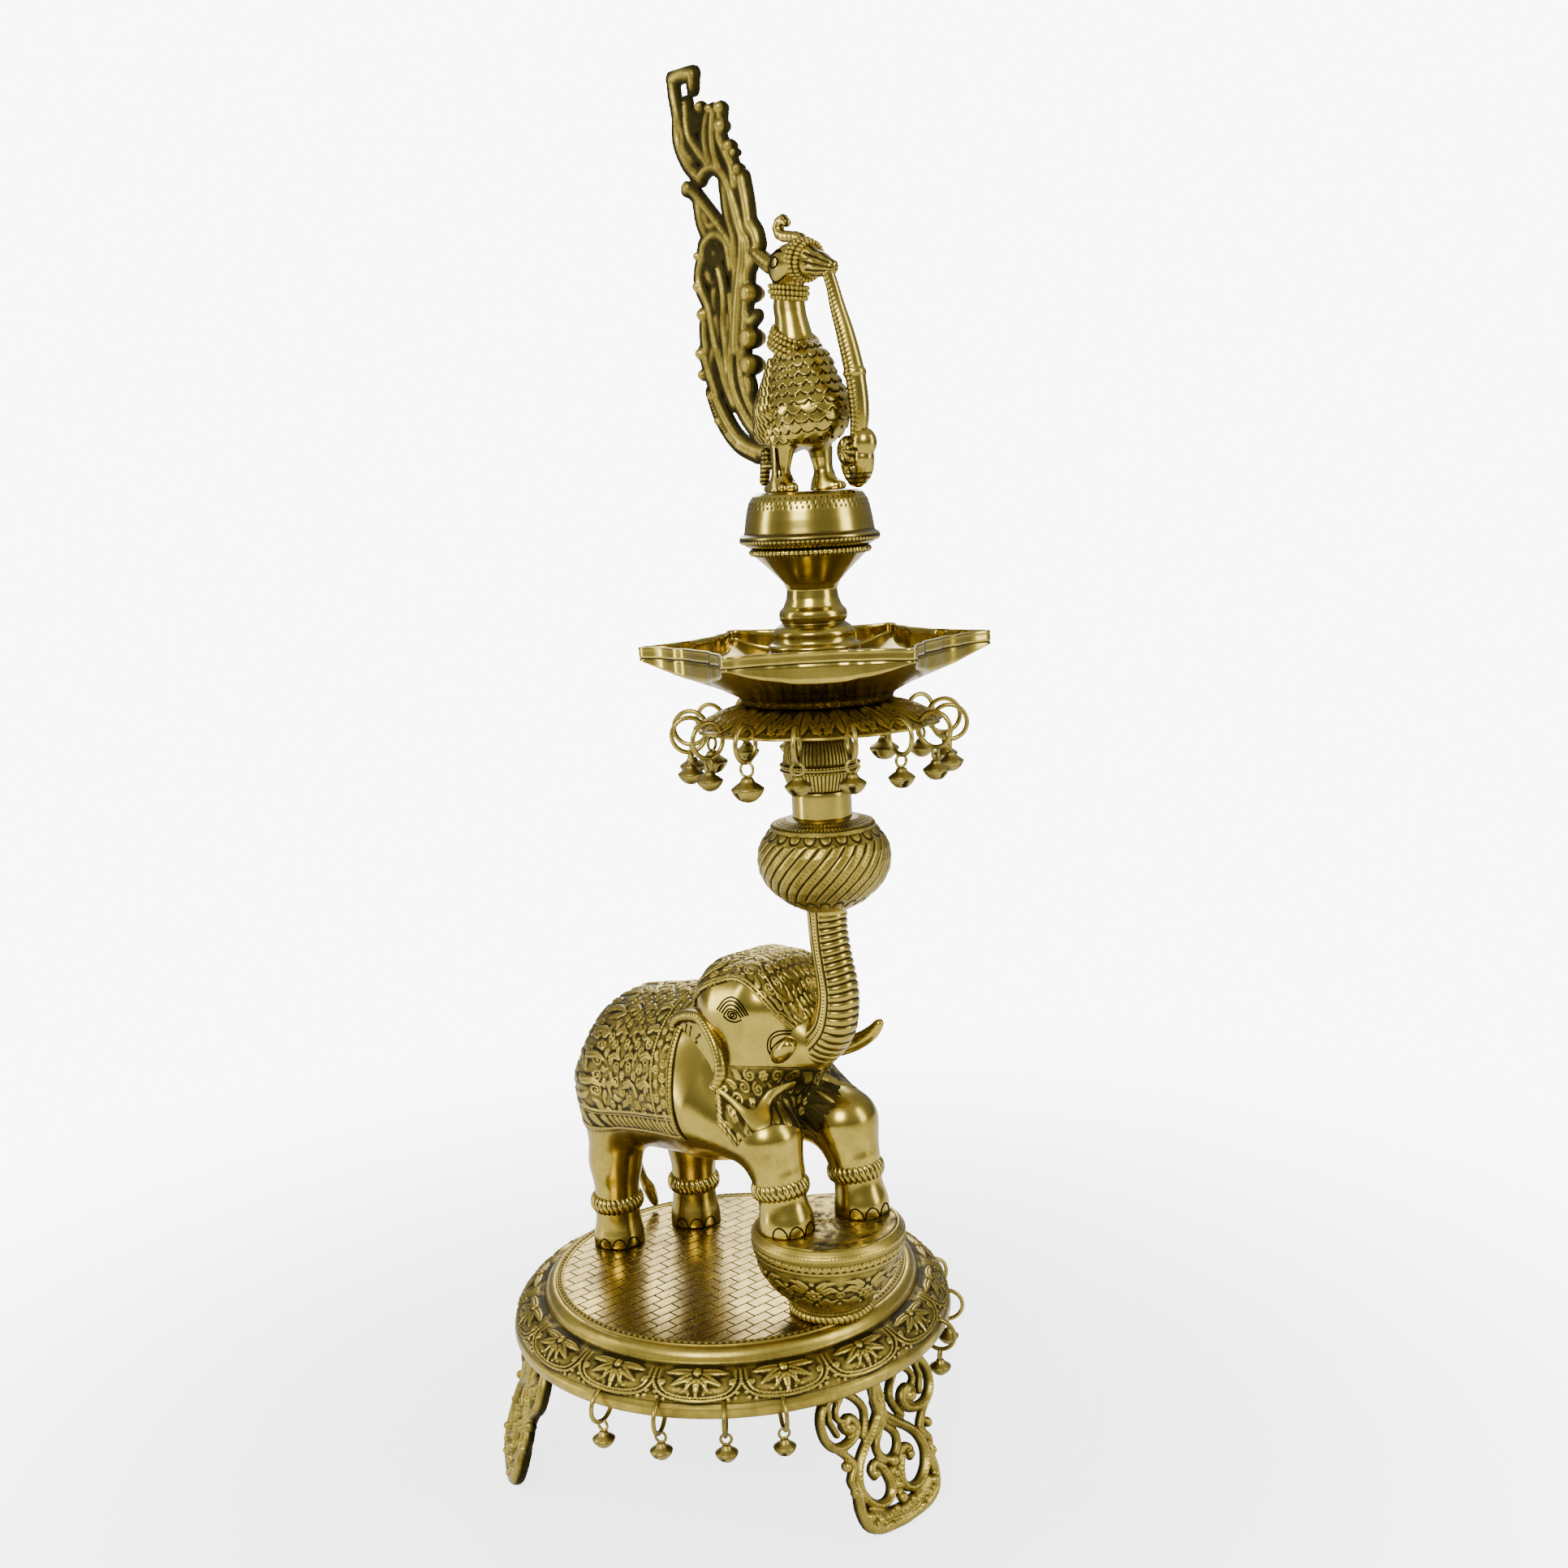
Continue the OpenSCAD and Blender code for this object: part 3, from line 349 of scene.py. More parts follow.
def field_of(low, high, step, parts):
    """The distance at every point of a box grid, worked out one part at a time in the box round that
    part."""
    axes = [np.arange(lo, hi + step, step, dtype=np.float32) for lo, hi in zip(low, high)]
    field = np.full([len(a) for a in axes], 12.0, dtype=np.float32)
    for kind, numbers, soft in parts:
        if kind == "limb":
            a, b, ra, rb = numbers
            reach = max(ra, rb) + soft + 4
            lo, hi = np.minimum(a, b) - reach, np.maximum(a, b) + reach
        elif kind == "egg":
            middle, reach = np.asarray(numbers[0]), np.asarray(numbers[1]) + soft + 4
            lo, hi = middle - reach, middle + reach
        else:
            lo, hi = np.asarray(low), np.asarray(high)
        window = tuple(slice(max(0, int(np.searchsorted(ax, l) - 1)), int(np.searchsorted(ax, h) + 1))
                       for ax, l, h in zip(axes, lo, hi))
        p = np.stack(np.meshgrid(*[ax[w] for ax, w in zip(axes, window)], indexing="ij"), axis=-1)
        if p.size == 0:
            continue
        field[window] = with_part(field[window], p, kind, numbers, soft)
    return field, np.array([a[0] for a in axes], dtype=float)


def with_part(d, p, kind, numbers, soft):
    """One part fused into the distances so far; a plane part is a function of the points and the
    distances."""
    if kind == "limb":
        return fused(d, limb_gap(p, *numbers), soft)
    if kind == "egg":
        return fused(d, egg_gap(p, *numbers), soft)
    return numbers(p, d)


def skin(field, origin, step):
    """The closed skin where the distance is nought: one point in each cell that the surface crosses, at
    the mean of
    its edge crossings, and one quad across each grid edge that changes sign. Cells at the border count
    as outside."""
    field = np.pad(field, 1, constant_values=5.0)
    origin = np.asarray(origin) - step
    inside = field < 0
    n = np.array(field.shape) - 1
    corners = [(i, j, k) for i in (0, 1) for j in (0, 1) for k in (0, 1)]
    cut = lambda arr, c: arr[c[0]:c[0] + n[0], c[1]:c[1] + n[1], c[2]:c[2] + n[2]]
    count = sum(cut(inside, c).astype(np.int8) for c in corners)
    crossed = (count > 0) & (count < 8)
    cells = np.argwhere(crossed)
    number = np.full(crossed.shape, -1, dtype=np.int32)
    number[crossed] = np.arange(len(cells))
    place = np.zeros((len(cells), 3))
    hits = np.zeros(len(cells))
    for axis in range(3):
        for c in corners:
            if c[axis]:
                continue
            e = list(c)
            e[axis] = 1
            fa = field[tuple((cells + c).T)]
            fb = field[tuple((cells + e).T)]
            cross = (fa < 0) != (fb < 0)
            t = np.where(cross, fa / np.where(cross, fa - fb, 1), 0)
            spot = np.array(c, dtype=float) + t[:, None] * (np.array(e) - np.array(c))
            place += np.where(cross[:, None], spot, 0)
            hits += cross
    points = origin + (cells + place / hits[:, None]) * step
    quads = []
    for axis in range(3):
        b, c = (axis + 1) % 3, (axis + 2) % 3
        first = [slice(None)] * 3
        second = [slice(None)] * 3
        first[axis], second[axis] = slice(0, -1), slice(1, None)
        change = inside[tuple(first)] != inside[tuple(second)]
        edges = np.argwhere(change)
        edges = edges[(edges[:, b] > 0) & (edges[:, c] > 0) & (edges[:, b] < n[b]) & (edges[:, c] < n[c])]
        starts_inside = inside[tuple(edges.T)]
        ring = []
        for ob, oc in ((-1, -1), (0, -1), (0, 0), (-1, 0)):
            cell = edges.copy()
            cell[:, b] += ob
            cell[:, c] += oc
            ring.append(number[tuple(cell.T)])
        quad = np.stack(ring, axis=1)
        quads.append(np.where(starts_inside[:, None], quad, quad[:, ::-1]))
    return points, np.concatenate(quads)


def settled(points, quads, field, origin, step, rounds=2, ease=0.35):
    """The skin evened out: each point moves part of the way to the mean of its neighbours, then back
    onto the
    surface along the slope of the distance field."""
    n = len(points)
    ends = np.concatenate([quads[:, [0, 1]], quads[:, [1, 2]], quads[:, [2, 3]], quads[:, [3, 0]]])
    ends = np.concatenate([ends, ends[:, ::-1]])
    degree = np.bincount(ends[:, 0], minlength=n).astype(float)
    for _ in range(rounds):
        mean = np.stack([np.bincount(ends[:, 0], weights=points[ends[:, 1], k],
                                     minlength=n) for k in range(3)], axis=1)
        points = points + ease * (mean / degree[:, None] - points)
        for _ in range(2):
            d, slope = sampled(field, origin, step, points, True)
            points = points - np.clip(d / (np.sum(slope ** 2, axis=1) + 0.05), -0.6, 0.6)[:, None] * slope
    return points


def sampled(field, origin, step, points, with_slope=False):
    """The distance at any point: the eight grid values round it, weighted by how near they are."""
    q = (points - np.asarray(origin)) / step
    i = np.clip(np.floor(q).astype(int), 0, np.array(field.shape) - 2)
    f = np.clip(q - i, 0, 1)
    v = {}
    for a in (0, 1):
        for b in (0, 1):
            for c in (0, 1):
                v[a, b, c] = field[i[:, 0] + a, i[:, 1] + b, i[:, 2] + c].astype(float)
    fx, fy, fz = f.T
    mix = lambda u, w, t: u * (1 - t) + w * t
    x = {(b, c): mix(v[0, b, c], v[1, b, c], fx) for b in (0, 1) for c in (0, 1)}
    value = mix(mix(x[0, 0], x[1, 0], fy), mix(x[0, 1], x[1, 1], fy), fz)
    if not with_slope:
        return value
    gx = mix(mix(v[1, 0, 0] - v[0, 0, 0], v[1, 1, 0] - v[0, 1, 0], fy),
             mix(v[1, 0, 1] - v[0, 0, 1], v[1, 1, 1] - v[0, 1, 1], fy), fz)
    gy = mix(x[1, 0] - x[0, 0], x[1, 1] - x[0, 1], fz)
    gz = mix(x[0, 1], x[1, 1], fy) - mix(x[0, 0], x[1, 0], fy)
    return value, np.stack([gx, gy, gz], axis=1) / step


def cast(low, high, step, parts, rounds=2):
    """A cast figure: the field of its parts, its skin and the evening out of that skin."""
    field, origin = field_of(low, high, step, parts)
    points, quads = skin(field, origin, step)
    points = settled(points, quads, field, origin, step, rounds)
    return points, quads, field, origin


def outward(points, quads):
    """The outward direction at each point: the sum of the cross products of the quads round it."""
    n = np.cross(points[quads[:, 2]] - points[quads[:, 0]], points[quads[:, 3]] - points[quads[:, 1]])
    total = np.stack([np.bincount(quads.ravel(), weights=np.repeat(n[:, k], 4),
                                  minlength=len(points)) for k in range(3)], axis=1)
    return total / (np.linalg.norm(total, axis=1, keepdims=True) + 1e-12)


def reach_skin(start, direction, gap, far, steps=40):
    """From each start point, the distance along its direction to the last crossing of the surface:
    marches in from
    far by the distance itself."""
    t = np.full(start.shape[:-1], float(far))
    for _ in range(steps):
        d = gap(start + t[..., None] * direction)
        t = t - 0.85 * d
    return np.clip(t, 0, far)


def draped(start, direction, gap, far, thickness, relief):
    """A worked sheet lying on a figure: rays from start meet the surface, the face stands off by the
    sheet's
    thickness and its relief, the back lies a little under the surface, and the two meet round the edge."""
    rows, columns = start.shape[:2]
    t = reach_skin(start, direction, gap, far)
    face = start + (t + thickness + relief)[..., None] * direction
    back = start + (t - SKIN_FALL)[..., None] * direction
    n = rows * columns
    front = lattice(rows, columns, ring=False)[:, ::-1]
    spare = 14
    pick = np.round(np.linspace(0, columns - 1, spare)).astype(int)
    behind = lattice(rows, spare, ring=False) + n
    grid = np.arange(n).reshape(rows, columns)
    rear = np.arange(rows * spare).reshape(rows, spare) + n
    sides = [np.stack([grid[:-1, 0], grid[1:, 0], rear[1:, 0], rear[:-1, 0]], axis=1)[:, ::-1],
             np.stack([grid[:-1, -1], grid[1:, -1], rear[1:, -1], rear[:-1, -1]], axis=1)]
    near = np.round(np.arange(columns) * (spare - 1) / (columns - 1)).astype(int)
    for row, flip in ((0, False), (rows - 1, True)):
        many, few = grid[row], rear[row]
        tris = np.stack([many[:-1], many[1:], few[near[:-1]]], axis=1)
        step = near[1:] != near[:-1]
        more = np.stack([many[1:][step], few[near[1:]][step], few[near[:-1]][step]], axis=1)
        tris = np.concatenate([tris, more])
        sides.append(tris[:, ::-1] if flip else tris)
    points = np.concatenate([face.reshape(-1, 3), back[:, pick].reshape(-1, 3)])
    return points, [front, behind] + sides


# ---- finishes
def socket(tree, name, kind, way="INPUT", value=None):
    """One named socket on a node group."""
    s = tree.interface.new_socket(name=name, in_out=way, socket_type=kind)
    if value is not None:
        s.default_value = value
    return s


def node(tree, kind, x=0, y=0, **settings):
    """A node with its settings."""
    n = tree.nodes.new(kind)
    n.location = (x, y)
    for key, value in settings.items():
        setattr(n, key, value)
    return n


def aged_metal_group():
    """The shared ageing: dark patina in the grooves (with painted shade where the depth carries it), rubbed metal
    on the ridges, cloudy stains and fine grain."""
    g = bpy.data.node_groups.new("aged_metal", "ShaderNodeTree")
    socket(g, "Bright", "NodeSocketColor", value=(0.72, 0.56, 0.2, 1))
    socket(g, "Dull", "NodeSocketColor", value=(0.36, 0.28, 0.09, 1))
    socket(g, "Patina", "NodeSocketColor", value=(0.045, 0.035, 0.012, 1))
    socket(g, "Depth", "NodeSocketFloat", value=0.0)
    socket(g, "Stain", "NodeSocketFloat", value=0.5)
    socket(g, "Smooth", "NodeSocketFloat", value=0.22)
    socket(g, "Rough", "NodeSocketFloat", value=0.5)
    socket(g, "Grain", "NodeSocketFloat", value=0.5)
    socket(g, "Color", "NodeSocketColor", "OUTPUT")
    socket(g, "Roughness", "NodeSocketFloat", "OUTPUT")
    socket(g, "Height", "NodeSocketFloat", "OUTPUT")
    link = g.links.new
    put = node(g, "NodeGroupInput", -1200)
    out = node(g, "NodeGroupOutput", 900)
    where = node(g, "ShaderNodeTexCoord", -1200, -400)

    def cloud(scale, detail, rough, y, twist=0.0):
        n = node(g, "ShaderNodeTexNoise", -950, y)
        n.inputs["Scale"].default_value = scale
        n.inputs["Detail"].default_value = detail
        n.inputs["Roughness"].default_value = rough
        n.inputs["Distortion"].default_value = twist
        link(where.outputs["Object"], n.inputs["Vector"])
        return n.outputs["Fac"]

    def math(op, a, b=None, clamp=False, y=0, x=-500):
        n = node(g, "ShaderNodeMath", x, y, operation=op, use_clamp=clamp)
        for i, v in enumerate((a, b)):
            if v is None:
                continue
            if isinstance(v, (int, float)):
                n.inputs[i].default_value = v
            else:
                link(v, n.inputs[i])
        return n.outputs[0]

    def span(v, lo, hi, a, b, y=0, x=-700):
        n = node(g, "ShaderNodeMapRange", x, y)
        for i, s in zip((1, 2, 3, 4), (lo, hi, a, b)):
            n.inputs[i].default_value = s
        link(v, n.inputs[0])
        return n.outputs[0]

    def blend(t, a, b, y=0, x=200, mode="MIX"):
        n = node(g, "ShaderNodeMix", x, y, data_type="RGBA", blend_type=mode)
        if isinstance(t, (int, float)):
            n.inputs[0].default_value = t
        else:
            link(t, n.inputs[0])
        for i, c in ((6, a), (7, b)):
            if isinstance(c, tuple):
                n.inputs[i].default_value = c
            else:
                link(c, n.inputs[i])
        return n.outputs[2]

    broad = cloud(34, 5, 0.6, 200, 0.6)
    mottle = cloud(170, 4, 0.65, 0, 0.3)
    speck = cloud(900, 3, 0.7, -200)
    stain = math("MULTIPLY", span(broad, 0.42, 0.72, 0, 1, 200), put.outputs["Stain"])
    tarnish = math("MULTIPLY", span(mottle, 0.45, 0.75, 0, 0.55), put.outputs["Stain"])
    dull = math("ADD", stain, tarnish, True)
    base = blend(dull, put.outputs["Bright"], put.outputs["Dull"], 300)
    # the depth darkens toward the patina colour: patina in the grooves, and painted shade where a piece puts it
    # into the depth
    groove = math("ADD", span(put.outputs["Depth"], 0.04, 0.50, 0, 1, -400),
                  math("MULTIPLY", span(speck, 0.5, 0.8, 0, 0.30, -600), put.outputs["Stain"]), True, -400)
    dark = blend(math("MULTIPLY", groove, 0.94), base, put.outputs["Patina"], 200, 400)
    ridge = span(put.outputs["Depth"], -0.5, -0.05, 1, 0, -800)
    rubbed = blend(math("MULTIPLY", ridge, 0.75), dark, put.outputs["Bright"], 100, 600)
    link(rubbed, out.inputs["Color"])
    mix = node(g, "ShaderNodeMix", 300, -300, data_type="FLOAT")
    worn = math("ADD", math("MULTIPLY", dull, 0.45), math("MULTIPLY", groove, 0.8), True, -300, 0)
    link(worn, mix.inputs[0])
    link(put.outputs["Smooth"], mix.inputs[2])
    link(put.outputs["Rough"], mix.inputs[3])
    link(mix.outputs[0], out.inputs["Roughness"])
    grain = math("MULTIPLY", math("ADD", math("MULTIPLY", speck, 0.35), mottle), put.outputs["Grain"], False,
                 -500, 0)
    link(grain, out.inputs["Height"])
    return g


AGED = aged_metal_group()


def metal(name, bright, dull, patina, stain, smooth, rough, grain, bump=0.25, reach=0.0004):
    """A brass finish: the shared ageing feeds colour, roughness and a fine bump; the metal itself is
    plain."""
    m = bpy.data.materials.new(name)
    m.use_nodes = True
    t = m.node_tree
    p = t.nodes["Principled BSDF"]
    p.inputs["Metallic"].default_value = 1.0
    g = node(t, "ShaderNodeGroup", -500, 0)
    g.node_tree = AGED
    deep = node(t, "ShaderNodeAttribute", -750, 0, attribute_name="hollow")
    t.links.new(deep.outputs["Fac"], g.inputs["Depth"])
    for key, value in (("Bright", bright), ("Dull", dull), ("Patina", patina)):
        g.inputs[key].default_value = (*value, 1)
    for key, value in (("Stain", stain), ("Smooth", smooth), ("Rough", rough), ("Grain", grain)):
        g.inputs[key].default_value = value
    t.links.new(g.outputs["Color"], p.inputs["Base Color"])
    t.links.new(g.outputs["Roughness"], p.inputs["Roughness"])
    b = node(t, "ShaderNodeBump", -250, -250)
    b.inputs["Strength"].default_value = bump
    b.inputs["Distance"].default_value = reach
    t.links.new(g.outputs["Height"], b.inputs["Height"])
    t.links.new(b.outputs["Normal"], p.inputs["Normal"])
    return m


BRIGHT = (0.42, 0.315, 0.055)
DULL = (0.16, 0.115, 0.018)
DARK = (0.009, 0.0065, 0.002)
polished = metal("polished_brass", (0.44, 0.335, 0.062), (0.24, 0.172, 0.028), DARK, 0.65, 0.17, 0.36, 0.3,
                 0.10)
figure = metal("figure_brass", (0.43, 0.325, 0.058), (0.21, 0.152, 0.025), DARK, 0.7, 0.19, 0.42, 0.5, 0.15)
chased = metal("chased_brass", BRIGHT, DULL, DARK, 0.75, 0.30, 0.62, 0.8, 0.3)
openwork = metal("openwork_brass", (0.36, 0.275, 0.05), (0.12, 0.086, 0.015), (0.007, 0.0055, 0.002), 0.9,
                 0.34, 0.66, 1.0, 0.35)
bell_metal = metal("bell_brass", (0.36, 0.28, 0.06), (0.15, 0.112, 0.022), DARK, 0.8, 0.32, 0.56, 1.0, 0.35)
wire_metal = metal("wire_brass", (0.36, 0.275, 0.055), (0.14, 0.104, 0.02), DARK, 0.8, 0.26, 0.5, 0.5, 0.15)
tiles = metal("engraved_floor_brass", (0.33, 0.235, 0.04), (0.14, 0.094, 0.015), DARK, 0.85, 0.20, 0.44, 0.9,
              0.15)
ink = metal("engraved_line", (0.03, 0.022, 0.006), (0.014, 0.010, 0.003), DARK, 0.6, 0.5, 0.8, 0.5, 0.1)
iron = metal("screw_steel", (0.5, 0.5, 0.49), (0.3, 0.3, 0.29), (0.05, 0.05, 0.05), 0.5, 0.3, 0.5, 0.5)

for name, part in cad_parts.items():
    hidden_steel = name in ("leg_screws", "foot_screws", "peacock_screws", "tie_rod", "rod_nut")
    for place in part.material_slots:
        place.material = iron if hidden_steel else chased


# ---- floor, lights and camera
def paper_floor():
    """A round pale floor: rings of points out to six metres."""
    radii = np.array([0.0001, 0.3, 1.0, 2.5, 6.0]) * 1000
    points, quads, _, _ = turned((0, 0), [(r, -0.4) for r in radii[::-1]], 64)
    mesh = bpy.data.meshes.new("studio_floor")
    mesh.from_pydata((points * 0.001).tolist(), [], quads.tolist())
    obj = bpy.data.objects.new("studio_floor", mesh)
    bpy.context.scene.collection.objects.link(obj)
    m = bpy.data.materials.new("studio_paper")
    m.use_nodes = True
    t = m.node_tree
    p = t.nodes["Principled BSDF"]
    p.inputs["Roughness"].default_value = 0.75
    p.inputs["Specular IOR Level"].default_value = 0.2
    where = node(t, "ShaderNodeTexCoord", -700)
    cloud = node(t, "ShaderNodeTexNoise", -500)
    cloud.inputs["Scale"].default_value = 3.0
    ramp = node(t, "ShaderNodeMix", -250, 0, data_type="RGBA")
    ramp.inputs[6].default_value = (0.90, 0.90, 0.90, 1)
    ramp.inputs[7].default_value = (0.93, 0.93, 0.925, 1)
    t.links.new(where.outputs["Object"], cloud.inputs["Vector"])
    t.links.new(cloud.outputs["Fac"], ramp.inputs[0])
    t.links.new(ramp.outputs[2], p.inputs["Base Color"])
    far = node(t, "ShaderNodeVectorMath", -500, -300, operation="LENGTH")
    fade = node(t, "ShaderNodeMapRange", -250, -300, interpolation_type="SMOOTHSTEP")
    for i, v in zip((1, 2, 3, 4), (0.16, 0.75, 0.35, 1.0)):
        fade.inputs[i].default_value = v
    path = node(t, "ShaderNodeLightPath", -250, 300)
    share = node(t, "ShaderNodeMath", 0, 300, operation="MULTIPLY")
    glow = node(t, "ShaderNodeEmission", 0, -300)
    glow.inputs["Strength"].default_value = 9.0
    both = node(t, "ShaderNodeMixShader", 350, 100)
    t.links.new(where.outputs["Object"], far.inputs[0])
    t.links.new(far.outputs["Value"], fade.inputs[0])
    t.links.new(fade.outputs[0], share.inputs[0])
    t.links.new(path.outputs["Is Camera Ray"], share.inputs[1])
    t.links.new(share.outputs[0], both.inputs[0])
    t.links.new(p.outputs[0], both.inputs[1])
    t.links.new(glow.outputs[0], both.inputs[2])
    t.links.new(both.outputs[0], t.nodes["Material Output"].inputs["Surface"])
    mesh.materials.append(m)


def lamp(name, place, aim, size, watts, tone=(1, 1, 1), tall=None):
    """A soft rectangular light at a place, turned to a point."""
    data = bpy.data.lights.new(name, "AREA")
    data.shape = "RECTANGLE"
    data.size, data.size_y = size, tall or size
    data.energy = watts
    data.color = tone
    obj = bpy.data.objects.new(name, data)
    bpy.context.scene.collection.objects.link(obj)
    place, aim = Vector(place), Vector(aim)
    obj.location = place
    obj.rotation_euler = (aim - place).to_track_quat("-Z", "Y").to_euler()
    return obj


def studio_sky():
    """The surroundings: plain white behind the object, and for reflections a grey room with a lighter
    ceiling."""
    world = bpy.data.worlds.new("studio")
    bpy.context.scene.world = world
    world.use_nodes = True
    t = world.node_tree
    t.nodes.clear()
    out = node(t, "ShaderNodeOutputWorld", 600)
    seen = node(t, "ShaderNodeBackground", 200, 150)
    seen.inputs["Color"].default_value = (1, 1, 1, 1)
    seen.inputs["Strength"].default_value = 9.0
    room = node(t, "ShaderNodeBackground", 200, -50)
    where = node(t, "ShaderNodeTexCoord", -600)
    split = node(t, "ShaderNodeSeparateXYZ", -400)
    ramp = node(t, "ShaderNodeValToRGB", -200)
    ramp.color_ramp.elements[0].position = 0.30
    ramp.color_ramp.elements[0].color = (0.03, 0.03, 0.028, 1)
    ramp.color_ramp.elements[1].position = 0.95
    ramp.color_ramp.elements[1].color = (0.62, 0.63, 0.64, 1)
    half = node(t, "ShaderNodeMapRange", -300)
    half.inputs[1].default_value = -1.0
    half.inputs[2].default_value = 1.0
    t.links.new(where.outputs["Generated"], split.inputs[0])
    t.links.new(split.outputs[2], half.inputs[0])
    t.links.new(half.outputs[0], ramp.inputs[0])
    t.links.new(ramp.outputs[0], room.inputs["Color"])
    room.inputs["Strength"].default_value = 1.15
    path = node(t, "ShaderNodeLightPath", 200, 400)
    mix = node(t, "ShaderNodeMixShader", 420)
    t.links.new(path.outputs["Is Camera Ray"], mix.inputs[0])
    t.links.new(room.outputs[0], mix.inputs[1])
    t.links.new(seen.outputs[0], mix.inputs[2])
    t.links.new(mix.outputs[0], out.inputs[0])


def camera():
    """The camera: 1 m away at chest height of the lamp, level but for a small roll and a 9.7 degree look
    down."""
    pitch, roll = np.radians(9.665), np.radians(2.804)
    heading = np.array([-0.7431, 0.6691, 0.0])
    right = np.array([0.6691, 0.7431, 0.0])
    ahead = heading * np.cos(pitch) + np.array([0, 0, -np.sin(pitch)])
    above = heading * np.sin(pitch) + np.array([0, 0, np.cos(pitch)])
    r = np.cos(roll) * right - np.sin(roll) * above
    u = np.sin(roll) * right + np.cos(roll) * above
    data = bpy.data.cameras.new("camera")
    data.lens = 41.05
    data.sensor_width = 36.0
    data.clip_start, data.clip_end = 0.02, 60.0
    obj = bpy.data.objects.new("camera", data)
    obj.matrix_world = Matrix(((r[0], u[0], -ahead[0], 0.6639), (r[1], u[1], -ahead[1], -0.5455),
                               (r[2], u[2], -ahead[2], 0.4865), (0, 0, 0, 1)))
    bpy.context.scene.collection.objects.link(obj)
    bpy.context.scene.camera = obj


paper_floor()
studio_sky()
lamp("key", (0.9, -1.5, 1.5), (0, 0, 0.3), 0.8, 50)
lamp("side", (1.5, 0.7, 0.9), (0, 0, 0.3), 0.5, 20, tall=1.4)
lamp("left_strip", (-0.9, -1.2, 0.6), (0, 0, 0.3), 0.25, 15, tall=1.6)
lamp("back", (-1.3, 1.1, 1.3), (0, 0, 0.3), 1.0, 28)
camera()


# ---- the base
def tiled(tile, count, shift=0):
    """One tile of relief repeated round a piece."""
    return np.roll(np.tile(tile, (1, count)), shift, axis=1)


def grid_of(width, height, columns, rows):
    """The across and up positions of one relief tile, its middle at nought."""
    x = (np.arange(columns) + 0.5) / columns * width - width / 2
    y = np.linspace(0, height, rows)
    return np.meshgrid(x, y)


def garland_motif(rows, columns, width, height):
    """One bay of the skirt: a half flower of button, hatched leaves and dotted petals hangs from the
    top, inside a
    double row of beads that falls from the bay's upper corners like a looped string."""
    x, y = grid_of(width, height, columns, rows)
    h = np.zeros_like(x)
    w = width / 2
    sag = [(-w, height), (-w + 0.4, height * 0.55), (-w * 0.78, height * 0.24), (-w * 0.45, 1.9), (0, 1.2),
           (w * 0.45, 1.9), (w * 0.78, height * 0.24), (w - 0.4, height * 0.55), (w, height)]
    outer = flowing([(a, b, 0) for a, b in sag], 60)[:, :2]
    inner = flowing([(a * 0.885, b + 1.55 * (1 - b / height), 0) for a, b in sag], 60)[:, :2]
    h = beads(h, x, y, outer, 0.62, 1.25, 0.85)
    h = beads(h, x, y, inner, 0.50, 1.0, 0.7)
    top = height - 0.6
    for s in (-1, 1):
        h = leaf(h, x, y, [(s * 2.2, top - 1.5), (s * 7, top - 1.0), (s * w * 0.74, top - 2.2)], 2.6, 1.25,
                 1.5)
        h = leaf(h, x, y, [(s * 1.8, top - 3), (s * 6.5, top - 5.2), (s * w * 0.58, top - 8.2)], 2.4, 1.1,
                 1.5)
        h = leaf(h, x, y, [(s * 1.0, top - 4), (s * 3.6, top - 7), (s * 5.2, top - 10.6)], 1.7, 1.0, 1.7)
        h = strand(h, x, y, curl(s * w * 0.80, top - 6.6, 1.5, 1.3, 0.5, s), 0.45, 0.6)
        h = dots(h, x, y, [(s * w * 0.86, 2.2), (s * w * 0.90, 4.6), (s * w * 0.70, 1.6)], 0.75, 0.8)
    h = leaf(h, x, y, [(0, top - 4.2), (0, top - 8), (0, 2.9)], 1.9, 1.1, 1.7)
    h = dots(h, x, y, [(0, 3.4), (-3.4, 4.2), (3.4, 4.2), (-6.8, 5.2), (6.8, 5.2)], 0.55, 0.7)
    h = dots(h, x, y, [(0, top - 1.6)], 2.3, 1.7)
    ring = np.abs(np.hypot(x, y - top + 1.6) - 2.9)
    h = np.maximum(h, 0.55 * np.sqrt(np.clip(1 - (ring / 0.5) ** 2, 0, 1)))
    return h * np.clip((height - y) / 0.8, 0, 1) * np.clip(y / 0.5, 0, 1)


